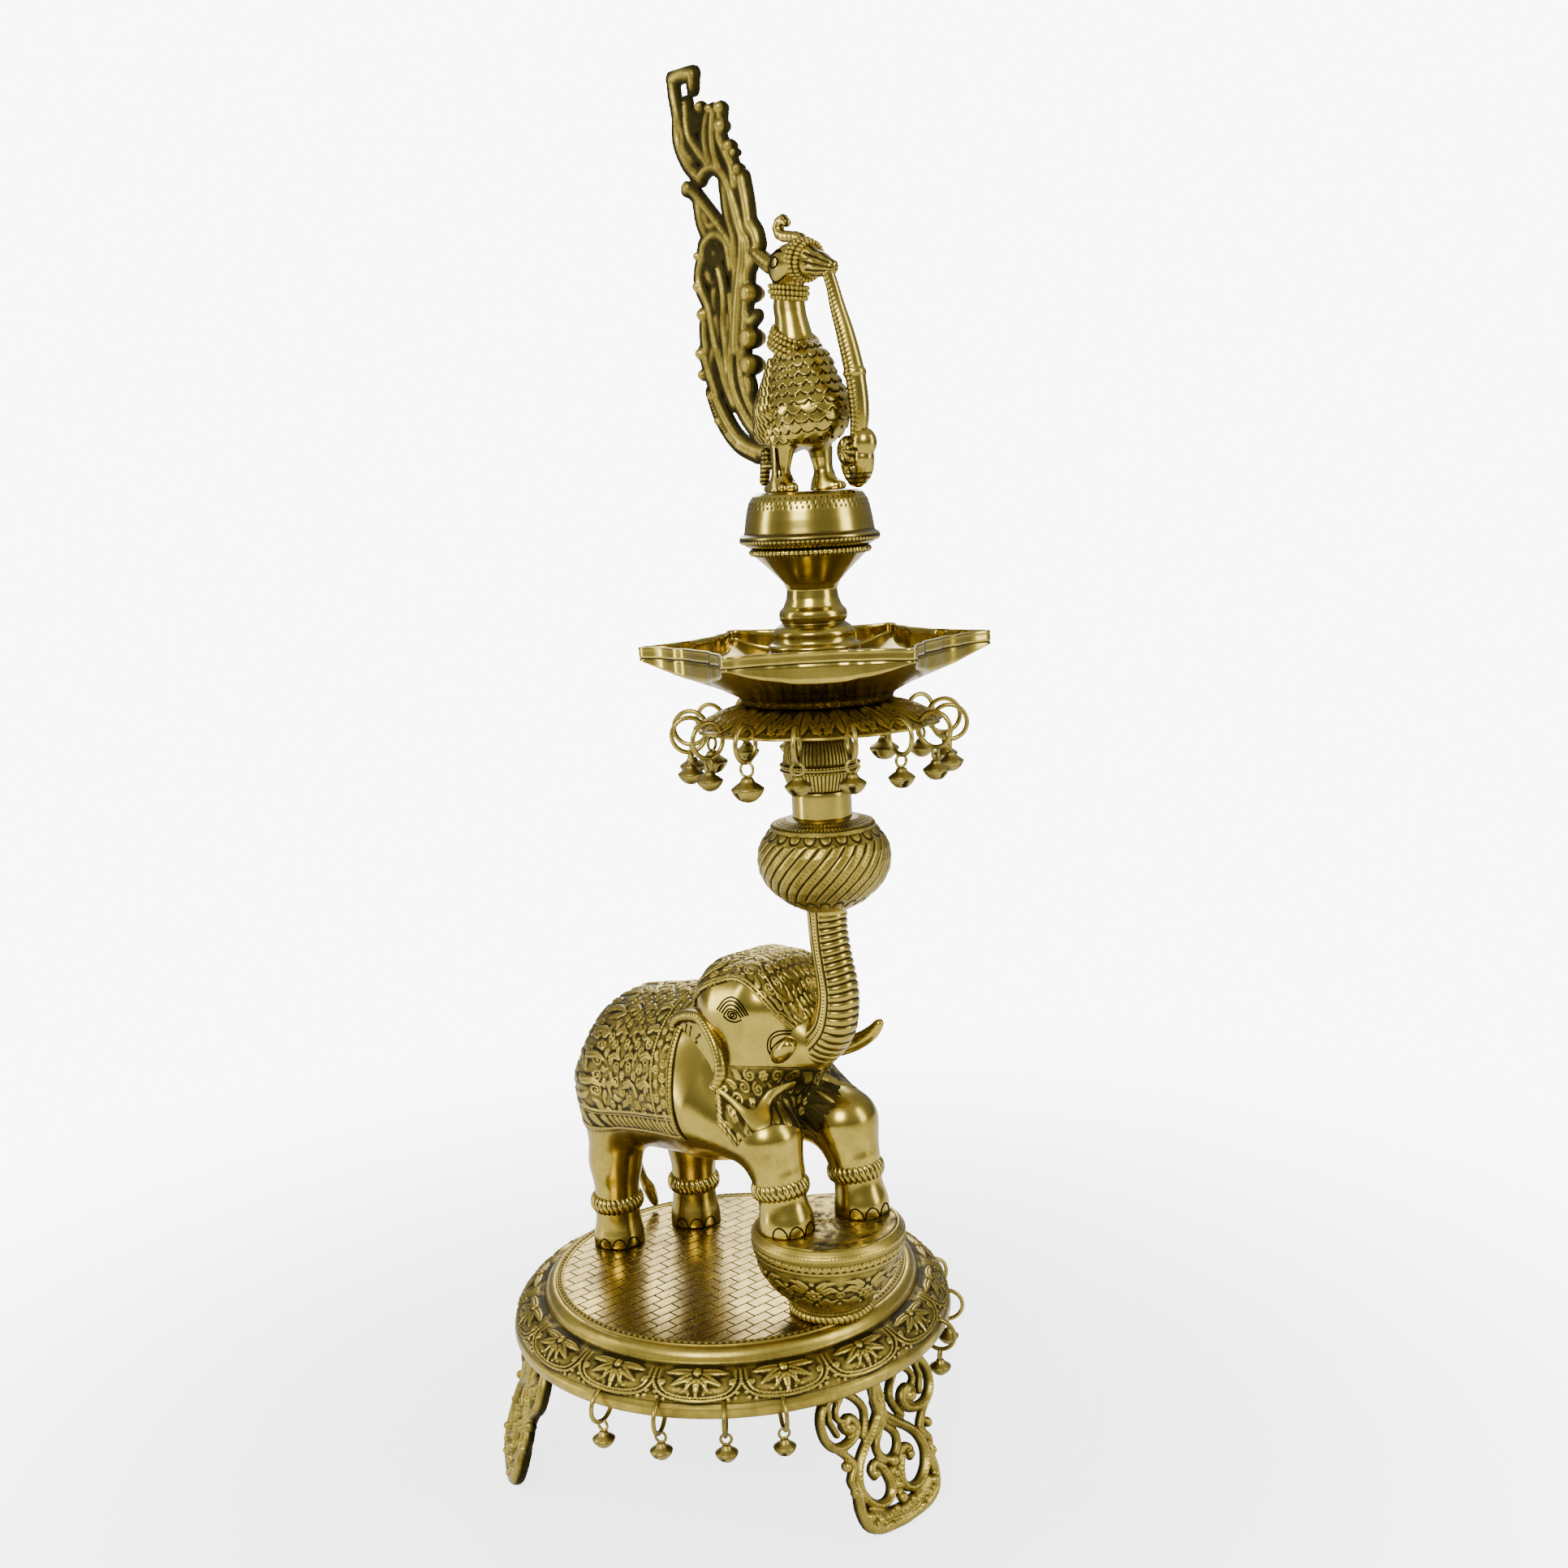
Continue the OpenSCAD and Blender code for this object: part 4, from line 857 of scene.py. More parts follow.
def skirt():
    """The pressed base wall: outside from the lip up over the worked belly to the step, then back down
    inside."""
    lip = [(111 - 1.4, LIP_Z), (110.5, LIP_Z + 0.8), (111, LIP_Z + 3.0), (110.8, LIP_Z + 5.0),
           (109.9, LIP_Z + 6.6),
           (109.2, LIP_Z + 7.2)]
    a = np.radians(np.linspace(10, 77, 38))
    belly = np.stack([94.5 + 15.5 * np.cos(a), 74.7 + 13.2 * np.sin(a)], axis=1)
    step = [(96.6, 88.0), (94.9, 88.1), (94.2, 88.9), (94.1, 89.8), (93.6, 91.4), (92.6, 92.8), (91.4, 93.7),
            (90.2, 94.1),
            (88.5, 94.1), (88.5, 92.5), (83.5, 92.5), (83.5, 90.5), (89.6, 90.5), (91, 89.1)]
    b = np.radians(np.linspace(77, 12, 6))
    inside = np.stack([92.5 + 15.5 * np.cos(b), 72.7 + 13.2 * np.sin(b)], axis=1)
    profile = np.concatenate([spaced_profile(lip, 11)[0], belly, spaced_profile(step[:10], 18)[0], step[10:],
                              inside,
                              [(107, LIP_Z + 4.4), (107.6, LIP_Z)]])
    bays, columns = 16, 68
    tile = garland_motif(38, columns, TAU * 105 / bays, 16.6)
    h = np.zeros((len(profile), bays * columns))
    h[11:49] = tiled(tile, bays, 20)
    depth = depth_of(h, 4, 2.2)
    depth[11:49] += 0.12
    depth[49:53] += 0.35
    depth[8:12] += 0.25
    points, faces, hollow = closed_turned((0, 0), profile, bays * columns, h, depth, loop=True)
    solid("base_skirt_worked", points, faces, "stand", chased, ["base_skirt"], hollow)


def floor_rim():
    """The edge of the floor: a low ring with a row of balls between two fine lines."""
    line, run = spaced_profile([(84.9, 94.3), (85.1, 94.9), (85.9, 95.0), (86.2, 94.75), (88.0, 94.75),
                                (88.3, 95.1), (88.9, 94.9),
                                (89.2, 94.1)], 22)
    count = 168
    x, y = grid_of(TAU * 87.1 / count, run[-1], 6, 22)
    h = dots(np.zeros_like(x), x, y, [(0, run[-1] * 0.5)], 0.95, 0.8)
    h = tiled(h, count)
    line = line[::-1]
    h = h[::-1]
    points, faces, hollow = closed_turned((0, 0), np.vstack([line, [(85, 93.8), (89, 93.6)]]),
                                          count * 6, np.vstack([h, np.zeros((2, count * 6))]),
                                          np.vstack([depth_of(h, 2, 2.0) + 0.1, np.ones((2, count * 6))]),
                                          loop=True)
    solid("floor_bead_ring", points, faces, "stand", chased, (), hollow)


def floor_tiles():
    """The flat top, engraved as running-bond bricks: each joint is a V groove, three grid lines wide."""
    course, length, groove, width = 6.7, 12.5, 0.3, 0.26
    reach = 85.6
    xs = np.arange(-13, 14) * course
    ys = np.arange(-14, 15) * (length / 2)
    fine_x = np.unique(np.concatenate([xs + k * width for k in (-2.2, -1, 0, 1, 2.2)] + [xs + course / 2]))
    fine_y = np.unique(np.concatenate([ys + k * width for k in (-2.2, -1, 0, 1, 2.2)] + [ys + length / 4]))
    fine_x, fine_y = fine_x[np.abs(fine_x) < reach], fine_y[np.abs(fine_y) < reach]
    gx, gy = np.meshgrid(np.concatenate([[-reach + 0.02], fine_x, [reach - 0.02]]),
                         np.concatenate([[-reach + 0.02], fine_y, [reach - 0.02]]))
    half = np.sqrt(np.maximum(reach ** 2 - gx ** 2, 0))
    gy = np.clip(gy, -half, half)
    row = np.floor(gx / course + 1e-6)
    on_course = np.abs(gx / course - np.round(gx / course)) < 1e-4
    odd = (row.astype(int) % 2) == 1
    shifted = np.where(odd, gy - length / 2, gy)
    on_end = np.abs(shifted / length - np.round(shifted / length)) < 1e-4
    cutting = on_course | on_end
    ripple = 0.02 * np.sin(gx * 0.5 + 0.7 * np.sin(gy * 0.31)) * np.sin(gy * 0.35 + 1.3)
    z = FLOOR_Z + ripple - np.where(cutting, groove, 0)
    top = np.stack([gx, gy, z], axis=-1)
    rows, columns = gx.shape
    n = rows * columns
    grid = np.arange(n).reshape(rows, columns)
    rim = np.concatenate([grid[0, :], grid[1:, -1], grid[-1, -2::-1], grid[-2:0:-1, 0]])
    under = top.reshape(-1, 3)[rim] * [1, 1, 0] + [0, 0, FLOOR_Z - 1.6]
    k = np.arange(len(rim))
    nxt = np.roll(k, -1)
    wall = np.stack([rim[nxt], rim, k + n, nxt + n], axis=1)
    base = np.stack([nxt + n, k + n, np.full(len(k), n + len(k))], axis=1)
    faces = [lattice(rows, columns, ring=False), wall, base]
    points = np.concatenate([top.reshape(-1, 3), under, [[0, 0, FLOOR_Z - 1.6]]])
    hollow = np.concatenate([np.where(cutting, 1.0, 0.0).ravel(), np.ones(len(k) + 1)])
    solid("floor_bricks", points, faces, "stand", tiles, ["floor_disc"], hollow)


def leg(angle, name):
    """One openwork leg, cast in one: scrolls, beaded loops, fluted stem and a ball-edged foot, all round
    bars
    fused in a leaning plane. Local x runs across, y up the slope, z out of the face."""
    top = np.array([97.0, 0, LIP_Z - 0.5])
    foot = np.array([122.0 - 3.5, 0, 0.0])
    up = top - foot
    height = np.linalg.norm(up)
    up /= height
    across = np.array([0, 1.0, 0])
    face = np.cross(across, up)
    parts = []

    def bar(line, r, soft=0.8, z=0.0):
        line = np.asarray(line, dtype=float)
        for a, b in zip(line[:-1], line[1:]):
            parts.append(("limb", ((a[0], a[1], z), (b[0], b[1], z), r, r), soft))

    def ball(x, y, r, z=1.6):
        parts.append(("egg", ((x, y, z), (r, r, r)), 0.25))

    def string(line, r, pitch, z=2.3):
        count = int(np.sum(np.linalg.norm(np.diff(np.asarray(line), axis=0), axis=1)) / pitch)
        for x, y in along(np.asarray(line, dtype=float), max(count, 2))[:, :2]:
            ball(x, y, r, z)

    h = height
    bar([(-30, h - 2.4), (30, h - 2.4)], 2.8)
    string([(-29, h - 2.2), (29, h - 2.2)], 0.95, 2.0, 3.0)
    for s in (-1, 1):
        scroll = flowing([(s * 27, 70, 0), (s * 34, 67.5, 0), (s * 38.5, 61.5, 0), (s * 38, 53.5, 0),
                          (s * 32.5, 48, 0), (s * 24.5, 46.8, 0),
                          (s * 17.5, 49, 0), (s * 15.5, 54, 0), (s * 19, 57.6, 0), (s * 22.8, 55, 0),
                          (s * 20.5, 52, 0)], 34)[:, :2]
        bar(scroll, 2.3)
        string(scroll[:26], 0.85, 1.8, 2.4)
        ball(s * 20.4, 53.6, 3.0, 1.2)
        bar(flowing([(s * 20, 68, 0), (s * 24.5, 64, 0), (s * 26, 60, 0), (s * 23, 57.5, 0)], 8)[:, :2], 1.6)
        bar([(s * 30, 68), (s * 32, 60), (s * 28.5, 53)], 1.9)
        arch = flowing([(s * 17.5, 69, 0), (s * 12, 64, 0), (s * 8.6, 58, 0), (s * 10, 52, 0),
                        (s * 13, 47, 0)], 12)[:, :2]
        bar(arch, 1.9)
        string(arch, 0.7, 1.6, 2.0)
        side = flowing([(s * 31, 47, 0), (s * 25, 41.5, 0), (s * 22.5, 37, 0), (s * 25, 33, 0),
                        (s * 27, 30, 0), (s * 24, 25.5, 0)], 14)[:, :2]
        bar(side, 2.0)
        ball(s * 28.0, 38.0, 2.6, 0.8)
        ball(s * 26.6, 25.0, 2.3, 0.8)
        loop = flowing([(-s * 1.5, 58, 0), (s * 1, 53, 0), (s * 8, 46, 0), (s * 15, 40.5, 0),
                        (s * 20, 34.5, 0), (s * 22, 27, 0),
                        (s * 19.5, 19.5, 0), (s * 13.5, 14.5, 0), (s * 7, 14.6, 0), (s * 3.4, 19, 0),
                        (s * 4.2, 25, 0),
                        (s * 6.5, 30, 0)], 40)[:, :2]
        bar(loop, 2.2)
        string(loop, 0.95, 1.9, 2.5)
        bar(flowing([(s * 6.5, 30, 0), (s * 9.5, 33, 0), (s * 13, 31, 0), (s * 12, 27, 0)], 8)[:, :2], 1.8)
        ball(s * 11.6, 28.6, 2.2, 1.2)
        drop = flowing([(s * 2, 46, 0), (s * 6.2, 41, 0), (s * 6.4, 36, 0), (s * 3, 32, 0), (0, 31, 0)],
                       12)[:, :2]
        bar(drop, 1.9)
        string(drop, 0.7, 1.6, 2.0)
        edge = flowing([(s * 23.5, 25, 0), (s * 25, 17, 0), (s * 22.5, 9, 0), (s * 15, 4.4, 0), (0, 2.8, 0)],
                       16)[:, :2]
        bar(edge, 2.7)
        bar([(s * 19, 13), (s * 12, 8.6), (0, 7)], 3.0, z=-0.6)
        string([(s * 20, 12.4), (s * 12, 8.2), (s * 2, 6.6)], 0.85, 2.0, 2.6)
        for x, y, r in ((21.5, 12.5, 2.3), (16.2, 8.6, 1.9), (5.5, 9.8, 2.0), (11, 4.6, 1.8)):
            ball(s * x, y, r, 2.0)
        for k in (-1, 1):
            bar([(s * 1.5 * k, h - 5), (s * 2.6 * k, h - 12), (s * 1.6 * k, h - 20)], 1.2, z=1.6)
    bar([(0, h - 5), (0, 58), (0, 48)], 2.6)
    bar([(0, 31), (0, 22), (0, 15)], 2.2)
    for y, r in ((30.4, 2.8), (24.5, 2.2), (19.0, 2.0), (13.0, 2.6)):
        ball(0, y, r, 1.6)
    points, quads, _, _ = cast((-43, -1, -4), (43, h + 1, 5.5), OPENWORK_STEP, parts, 1)
    lift = np.clip(points[:, 2], -3, 5)
    hollow = np.clip(0.55 - 0.30 * lift, -0.5, 0.85) * np.where(points[:, 2] > 0, 1, 0.8)
    # the bars are a little deeper than they are wide
    local = points * np.array([1, 1, 1.25])
    # the outer scrolls are drawn in a little, so that a bell at the end of its swing clears them
    outer = np.maximum(np.abs(points[:, 0]) - 24, 0)
    local[:, 0] -= np.sign(points[:, 0]) * 0.22 * outer
    local[:, 1] = np.maximum(local[:, 1], 0.4)
    local[:, 1] = np.minimum(local[:, 1], h - 0.2)
    world = foot + local[:, :1] * across + local[:, 1:2] * up + local[:, 2:] * face
    world[:, 2] = np.maximum(world[:, 2], 0.0)
    c, s = np.cos(np.radians(angle)), np.sin(np.radians(angle))
    world = np.stack([c * world[:, 0] - s * world[:, 1], s * world[:, 0] + c * world[:, 1], world[:, 2]],
                     axis=1)
    solid(name + "_scrollwork", world, [quads], "stand", openwork, [name], hollow)


def pot_motif(rows, columns, width, height):
    """One bay of the pot: a rosette between wavy hatched leaves, under a ring of dots and a zigzag."""
    x, y = grid_of(width, height, columns, rows)
    h = np.zeros_like(x)
    w = width / 2
    m = height * 0.53
    h = blossom(h, x, y, 0, m, 4.6, 1.1, 8)
    for s in (-1, 1):
        for t, b in ((m + 2, 5.4), (m - 3, -6.6)):
            h = leaf(h, x, y, [(s * 4.0, t), (s * 8, t + b * 0.5), (s * (w - 0.5), t + b * 0.1)], 2.4, 0.9,
                     1.5)
        h = leaf(h, x, y, [(s * 2.2, m - 4.4), (s * 5.0, m - 8), (s * 3.2, m - 12)], 1.9, 0.9, 1.5)
        h = leaf(h, x, y, [(s * 2.0, m + 4.4), (s * 6.0, m + 8), (s * 11.5, m + 8.6)], 1.9, 0.9, 1.5)
        h = strand(h, x, y, curl(s * w, m, 2.6, 1.3, 0 if s > 0 else np.pi, s), 0.5, 0.6)
    h = dots(h, x, y, [(0, m - 8.5), (0, m + 7.5), (w, m + 5), (-w, m + 5), (w, m - 7), (-w, m - 7)], 1.0,
             0.8)
    for k in np.arange(-w + 0.95, w, 1.9):
        h = dots(h, x, y, [(k, height - 1.2)], 0.62, 0.6)
    zig = [(k, height - 3.2 + (0.9 if i % 2 else -0.3)) for i, k in enumerate(np.linspace(-w, w, 17))]
    h = strand(h, x, y, zig, 0.32, 0.4)
    h = strand(h, x, y, [(-w, height - 4.6), (w, height - 4.6)], 0.35, 0.45)
    h = strand(h, x, y, [(-w, height - 2.2), (w, height - 2.2)], 0.3, 0.4)
    return h


def pot():
    """The pot under the front feet: a twisted foot ring, a worked belly, a plain rim with a bead line."""
    centre = (POT_X, 0)
    belly, run = spaced_profile([(18.4, 5.4), (21, 7.6), (25, 12), (28, 15.6), (30.5, 19), (32.8, 22.8),
                                 (34.4, 26.5), (35.4, 29.8),
                                 (36, 33), (36.4, 35.5), (36.5, 37.2)], 78)
    rim = spaced_profile([(36.5, 37.6), (37.0, 38.1), (36.5, 38.8), (36.5, 40.0), (35.9, 41.6), (34.2, 43.4),
                          (33.4, 43.5),
                          (32.8, 43.1)], 20)[0]
    foot = spaced_profile([(17.2, 0), (19.0, 0.5), (20.0, 1.9), (19.4, 3.6), (17.9, 4.6)], 12)[0]
    profile = np.vstack([foot, belly, rim, [(32.8, 40.4), (31, 40.4)]]) + [0, FLOOR_Z]
    bays, columns = 8, 48
    n = bays * columns
    tile = pot_motif(78, columns, TAU * 34 / bays, run[-1])
    h = np.zeros((len(profile), n))
    taper = np.clip(np.linspace(0, 9, 78), 0, 1)[:, None]
    h[12:90] = tiled(tile * taper, bays, 11)
    a = np.linspace(0, TAU, n, endpoint=False)[None, :]
    twist = np.abs(np.sin(23 * a + np.linspace(0, 2.6, 12)[:, None]))
    h[:12] = 0.75 * twist * np.sin(np.linspace(0, np.pi, 12))[:, None]
    h[94:98] = 0.4 * np.abs(np.sin(a * 70))
    depth = depth_of(h, 4, 2.0)
    depth[12:90] += 0.14
    points, faces, hollow = closed_turned(centre, profile, n, h, depth)
    solid("pot_worked", points, faces, "stand", chased, ["pot"], hollow)
    lid, _ = spaced_profile([(32.9, -2.5), (32.9, -0.3), (32.4, 0), (20, 0), (8, 0), (0.5, 0)], 60)
    rng = np.random.default_rng(5)
    rough = blurred(rng.normal(size=(60, 140)), 2) * 0.5
    rough[:3] = 0
    rough[-1] = 0
    points, faces, hollow = closed_turned(centre, lid + [0, POT_Z], 140,
                                          rough * np.clip(np.linspace(0, 12, 60), 0, 1)[:, None],
                                          np.clip(-rough * 1.5 + 0.2, -1, 1))
    solid("pot_lid_mottled", points, faces, "stand", chased, ["pot_lid"], hollow)


skirt()
floor_rim()
floor_tiles()
leg(0, "leg_front")
leg(120, "leg_rear_left")
leg(240, "leg_rear_right")
pot()


# ---- the elephant
def level_cut(z):
    """A flat end: nothing of the figure stays below z."""
    return ("plane", lambda p, d: np.maximum(d, z - p[..., 2]), 0)


def foot_parts(x, y, z, lean=0.0):
    """A bell-shaped foot that narrows to the ankle."""
    return [("limb", ((x, y, z + 0.4), (x, y, z + 4), 13.2, 12.6), 0),
            ("limb", ((x, y, z + 4), (x - lean * 12, y, z + 16), 12.4, 10.7), 3)]


def elephant_parts():
    """The figure: torso, neck, twin crown lobes, cheeks and face, open lower jaw and four legs."""
    parts = []
    for x, y in FRONT_FEET:
        parts += foot_parts(x, y, POT_Z, 0.12)
        parts += [("limb", ((x - 2.2, y, POT_Z + 14), (x - 4.5, y * 1.0, POT_Z + 27), 10.7, 11.6), 3),
                  ("limb", ((x - 4.5, y, POT_Z + 27), (x - 10, y * 1.02, POT_Z + 42), 11.4, 15.2), 6)]
    parts += [level_cut(POT_Z)]
    for x, y in REAR_FEET:
        parts += foot_parts(x, y, FLOOR_Z)
        parts += [("limb", ((x, y, FLOOR_Z + 14), (x + 1, y, FLOOR_Z + 46), 10.8, 12.8), 3),
                  ("limb", ((x + 1, y, FLOOR_Z + 46), (x + 7, y * 0.9, 182), 12.6, 22), 6)]
    for x, y in FRONT_FEET:
        parts += [("limb", ((x - 10, y * 1.02, POT_Z + 42), (22, y * 1.05, 190), 15.0, 24), 7)]
    parts += [("limb", ((-44, 0, 190), (2, 0, 197.5), 42, 43.5), 9),
              ("limb", ((2, 0, 198), (30, 0, 210), 40, 31), 10)]
    for s in (-1, 1):
        parts += [("limb", ((32, s * 9, 240), (46, s * 8, 242), 23, 22), 7),
                  ("limb", ((42, s * 10, 222), (60, s * 6.5, 221), 17, 11.5), 7)]
    parts += [("limb", ((44, 0, 232), (63, 0, 230), 24, 16), 8),
              ("limb", ((46, 0, 212), (66, 0, 209.5), 12, 5.5), 6),
              ("limb", ((58, 0, 222), (70, 0, 225), 14, 12.5), 5),
              level_cut(FLOOR_Z)]
    return parts


def scrollwork(h, x, y, width, height, pitch, seed, lift=0.8, bar=0.42):
    """A field of curls, leaves and small flowers on a staggered lattice; each takes its turn from the
    list's order."""
    rng = np.random.default_rng(seed)
    row = 0
    v = pitch * 0.5
    while v < height:
        shift = (row % 2) * pitch * 0.5
        u = -width / 2 + pitch * 0.5 - shift
        while u < width / 2 + pitch * 0.3:
            near = (np.abs(x - u) < pitch) & (np.abs(y - v) < pitch)
            if near.any():
                kind = rng.integers(0, 5)
                a = rng.uniform(0, TAU)
                hx, xx, yy = h[near], x[near], y[near]
                c, s = np.cos(a), np.sin(a)
                if kind < 2:
                    hx = strand(hx, xx, yy, curl(u, v, pitch * 0.40, 1.5, a, 1 if kind else -1), bar,
                                lift * 0.75)
                elif kind == 2:
                    hx = blossom(hx, xx, yy, u, v, pitch * 0.36, lift, 6, a)
                else:
                    k = pitch * 0.5
                    hx = leaf(hx, xx, yy, [(u - c * k, v - s * k), (u - s * k * 0.25, v + c * k * 0.25),
                                           (u + c * k, v + s * k)],
                              pitch * 0.24, lift, 1.3)
                h[near] = hx
            u += pitch
        v += pitch * 0.82
        row += 1
    return h


def curved_cloth_motif(x, y, width, height, hem):
    """The saddle cloth: tall leaves and curls on the field, a beaded upright band, and a hem of slanting
    leaves
    between rope lines along both lower edges and the front."""
    h = np.zeros_like(x)
    side = width / 2
    h = scrollwork(h, x, y, width - 2 * hem, height - 17, 7.6, 11, 0.85)
    for k in np.arange(-5, 6):
        u = k * 13.2
        for v in np.arange(4, height - 24, 17.0):
            h = leaf(h, x, y, [(u, v), (u + 1.6, v + 6), (u - 0.8, v + 13)], 2.3, 1.2, 1.5)
    h = np.where(np.abs(x) > side - hem, 0, h)
    h = np.where(y > height - 16.5, 0, h)
    for v, r in ((height - 16.2, 0.75), (height - 1.3, 0.9), (height - 3.4, 0.55)):
        h = beads(h, x, y, [(-side, v), (side, v)], r, 1.7 * r + 0.4, 0.9 * r + 0.1)
    strip = np.abs(y - (height - 9.8)) < 5.6
    band = scrollwork(np.zeros_like(x), x, y - height + 15.4, width, 11.2, 6.4, 23, 0.8)
    h = np.where(strip, np.maximum(h, band), h)
    for s in (-1, 1):
        edge = side - hem
        h = strand(h, x, y, [(s * edge, 0), (s * edge, height)], 0.8, 0.8)
        h = strand(h, x, y, [(s * (edge + 1.7), 0), (s * (edge + 1.7), height)], 0.5, 0.6)
        count = int(height / 4.6)
        for i in range(count):
            v = (i + 0.5) * height / count
            h = leaf(h, x, y, [(s * (edge + 2.6), v - 1.9), (s * (side - 5.6), v),
                               (s * (side - 3.2), v + 1.9)], 1.7, 0.85, 1.3)
        h = strand(h, x, y, [(s * (side - 2.6), 0), (s * (side - 2.6), height)], 0.4, 0.6)
        near = np.abs(np.abs(x) - side + 1.1) < 1.1
        h = np.where(near & (x * s > 0), 0.75 * (0.55 + 0.45 * np.cos(TAU * (y + 0.5 * np.abs(x)) / 1.25)), h)
    return h


def saddle_cloth(gap):
    """The worked cloth over back and rump: rays fan out square to the back, and tilt back over the rump."""
    rows, columns = 180, 364
    v = np.linspace(0, 1, rows)[:, None]
    u = np.linspace(-1, 1, columns)[None, :]
    split = 0.30
    beta = np.radians(74) * np.clip(1 - v / split, 0, 1) + 0 * u
    phi = u * np.radians(131 - 17 * v)
    base = np.array([-44.0, 0, 190.0])
    front = np.stack([8 + 13 * np.abs(u) ** 1.6, 0 * u, 199 - 4 * np.abs(u)], axis=-1)
    share = np.clip((v - split) / (1 - split), 0, 1)
    start = base + (front - base) * share[..., None]
    radial = np.stack([0 * phi, np.sin(phi), np.cos(phi)], axis=-1)
    direction = np.cos(beta)[..., None] * radial + np.sin(beta)[..., None] * np.array([-1.0, 0, 0])
    width, height = 2 * 44 * np.radians(122), 100.0
    x = u * width / 2 + 0 * v
    y = v * height + 0 * u
    h = curved_cloth_motif(x, y, width, height, 13.5)
    h *= np.clip((1 - np.abs(u)) * 60, 0, 1) * np.clip((1 - v) * 60, 0, 1)
    points, faces = draped(start, direction, gap, 62, 0.9, h)
    depth = depth_of(h, 4, 1.7, ring=False) + 0.12
    hollow = np.concatenate([depth.ravel(), np.ones(len(points) - rows * columns)])
    solid("saddle_cloth", points, faces, "stand", chased, (), hollow)


def arc_directions(right, top, share):
    """Directions from one side over the top to the other, as a quadratic blend of three, made unit
    length."""
    right, top = np.asarray(right, dtype=float), np.asarray(top, dtype=float)
    left = right * [1, -1, 1]
    t = share[None, :, None]
    d = (1 - t) ** 2 * right[:, None] + 2 * t * (1 - t) * top[:, None] + t ** 2 * left[:, None]
    return d / np.linalg.norm(d, axis=-1, keepdims=True)


def forehead_cover(gap):
    """The worked cover on crown and forehead: each row is an arc from the right brow band over to the
    left one."""
    centre = np.array([45.0, 0, 232.0])
    band = np.array([(15.5, -25.5, 239.5), (19, -27.7, 243.7), (27.3, -29.2, 250), (34, -27.5, 253.2),
                     (42.6, -24.8, 256.0),
                     (52, -24.1, 254.6), (60.6, -22.3, 248.2), (66, -18.3, 240.7), (70.5, -13.7, 235.6)])
    rows, columns = 150, 200
    side = flowing(band, rows) - centre
    side /= np.linalg.norm(side, axis=1, keepdims=True)
    lean = np.radians(np.interp(np.linspace(0, 1, rows), [0, 0.5, 1], [152, 96, 22]))
    crown = np.stack([np.cos(lean), 0 * lean, np.sin(lean)], axis=1)
    direction = arc_directions(side, crown * 1.3, np.linspace(0, 1, columns))
    start = np.broadcast_to(centre, direction.shape)
    width, height = 88.0, 68.0
    x, y = np.meshgrid(np.linspace(-width / 2, width / 2, columns), np.linspace(0, height, rows))
    h = scrollwork(np.zeros_like(x), x, y, width, height, 7.0, 7, 0.8)
    for s in (-1, 1):
        h = beads(h, x, y, [(s * (width / 2 - 1.2), 0), (s * (width / 2 - 1.2), height)], 0.85, 1.6, 0.85)
        h = np.where((np.abs(s * x - width / 2 + 3.4) < 0.9), 0.55, h)
        oval = np.hypot((x - s * 27) / 1.0, (y - 12) / 1.35)
        h = np.where(oval < 9.6, 0, h)
        for r in (8.8, 7.0):
            h = np.maximum(h, 0.85 * np.sqrt(np.clip(1 - ((oval - r) / 0.5) ** 2, 0, 1)))
        h = np.maximum(h, np.where(np.abs(oval - 7.9) < 0.5, 0.5 + 0.35 * np.cos(np.arctan2(y - 12,
                                                                                            x - s * 27) * 34),
                                                                                            0))
        h = leaf(h, x, y, [(s * 27, 5), (s * 25.4, 12), (s * 27.5, 19.5)], 3.4, 0.9, 1.5)
        h = beads(h, x, y, flowing([(s * 16.5, 2, 0), (s * 13, 18, 0), (s * 19, 33, 0), (s * 30, 46, 0),
                                    (s * 33, 62, 0)], 40)[:, :2],
                  0.65, 1.35, 0.8)
    taper = np.clip((width / 2 - np.abs(x)) / 0.7, 0, 1) * np.clip(y / 1.0, 0,
                                                                   1) * np.clip((height - y) / 1.0, 0, 1)
    points, faces = draped(start, direction, gap, 60, 0.8, h * taper)
    hollow = np.concatenate([(depth_of(h, 4, 1.7, ring=False) + 0.14).ravel(),
                             np.ones(len(points) - rows * columns)])
    solid("forehead_cover", points, faces, "stand", chased, (), hollow)


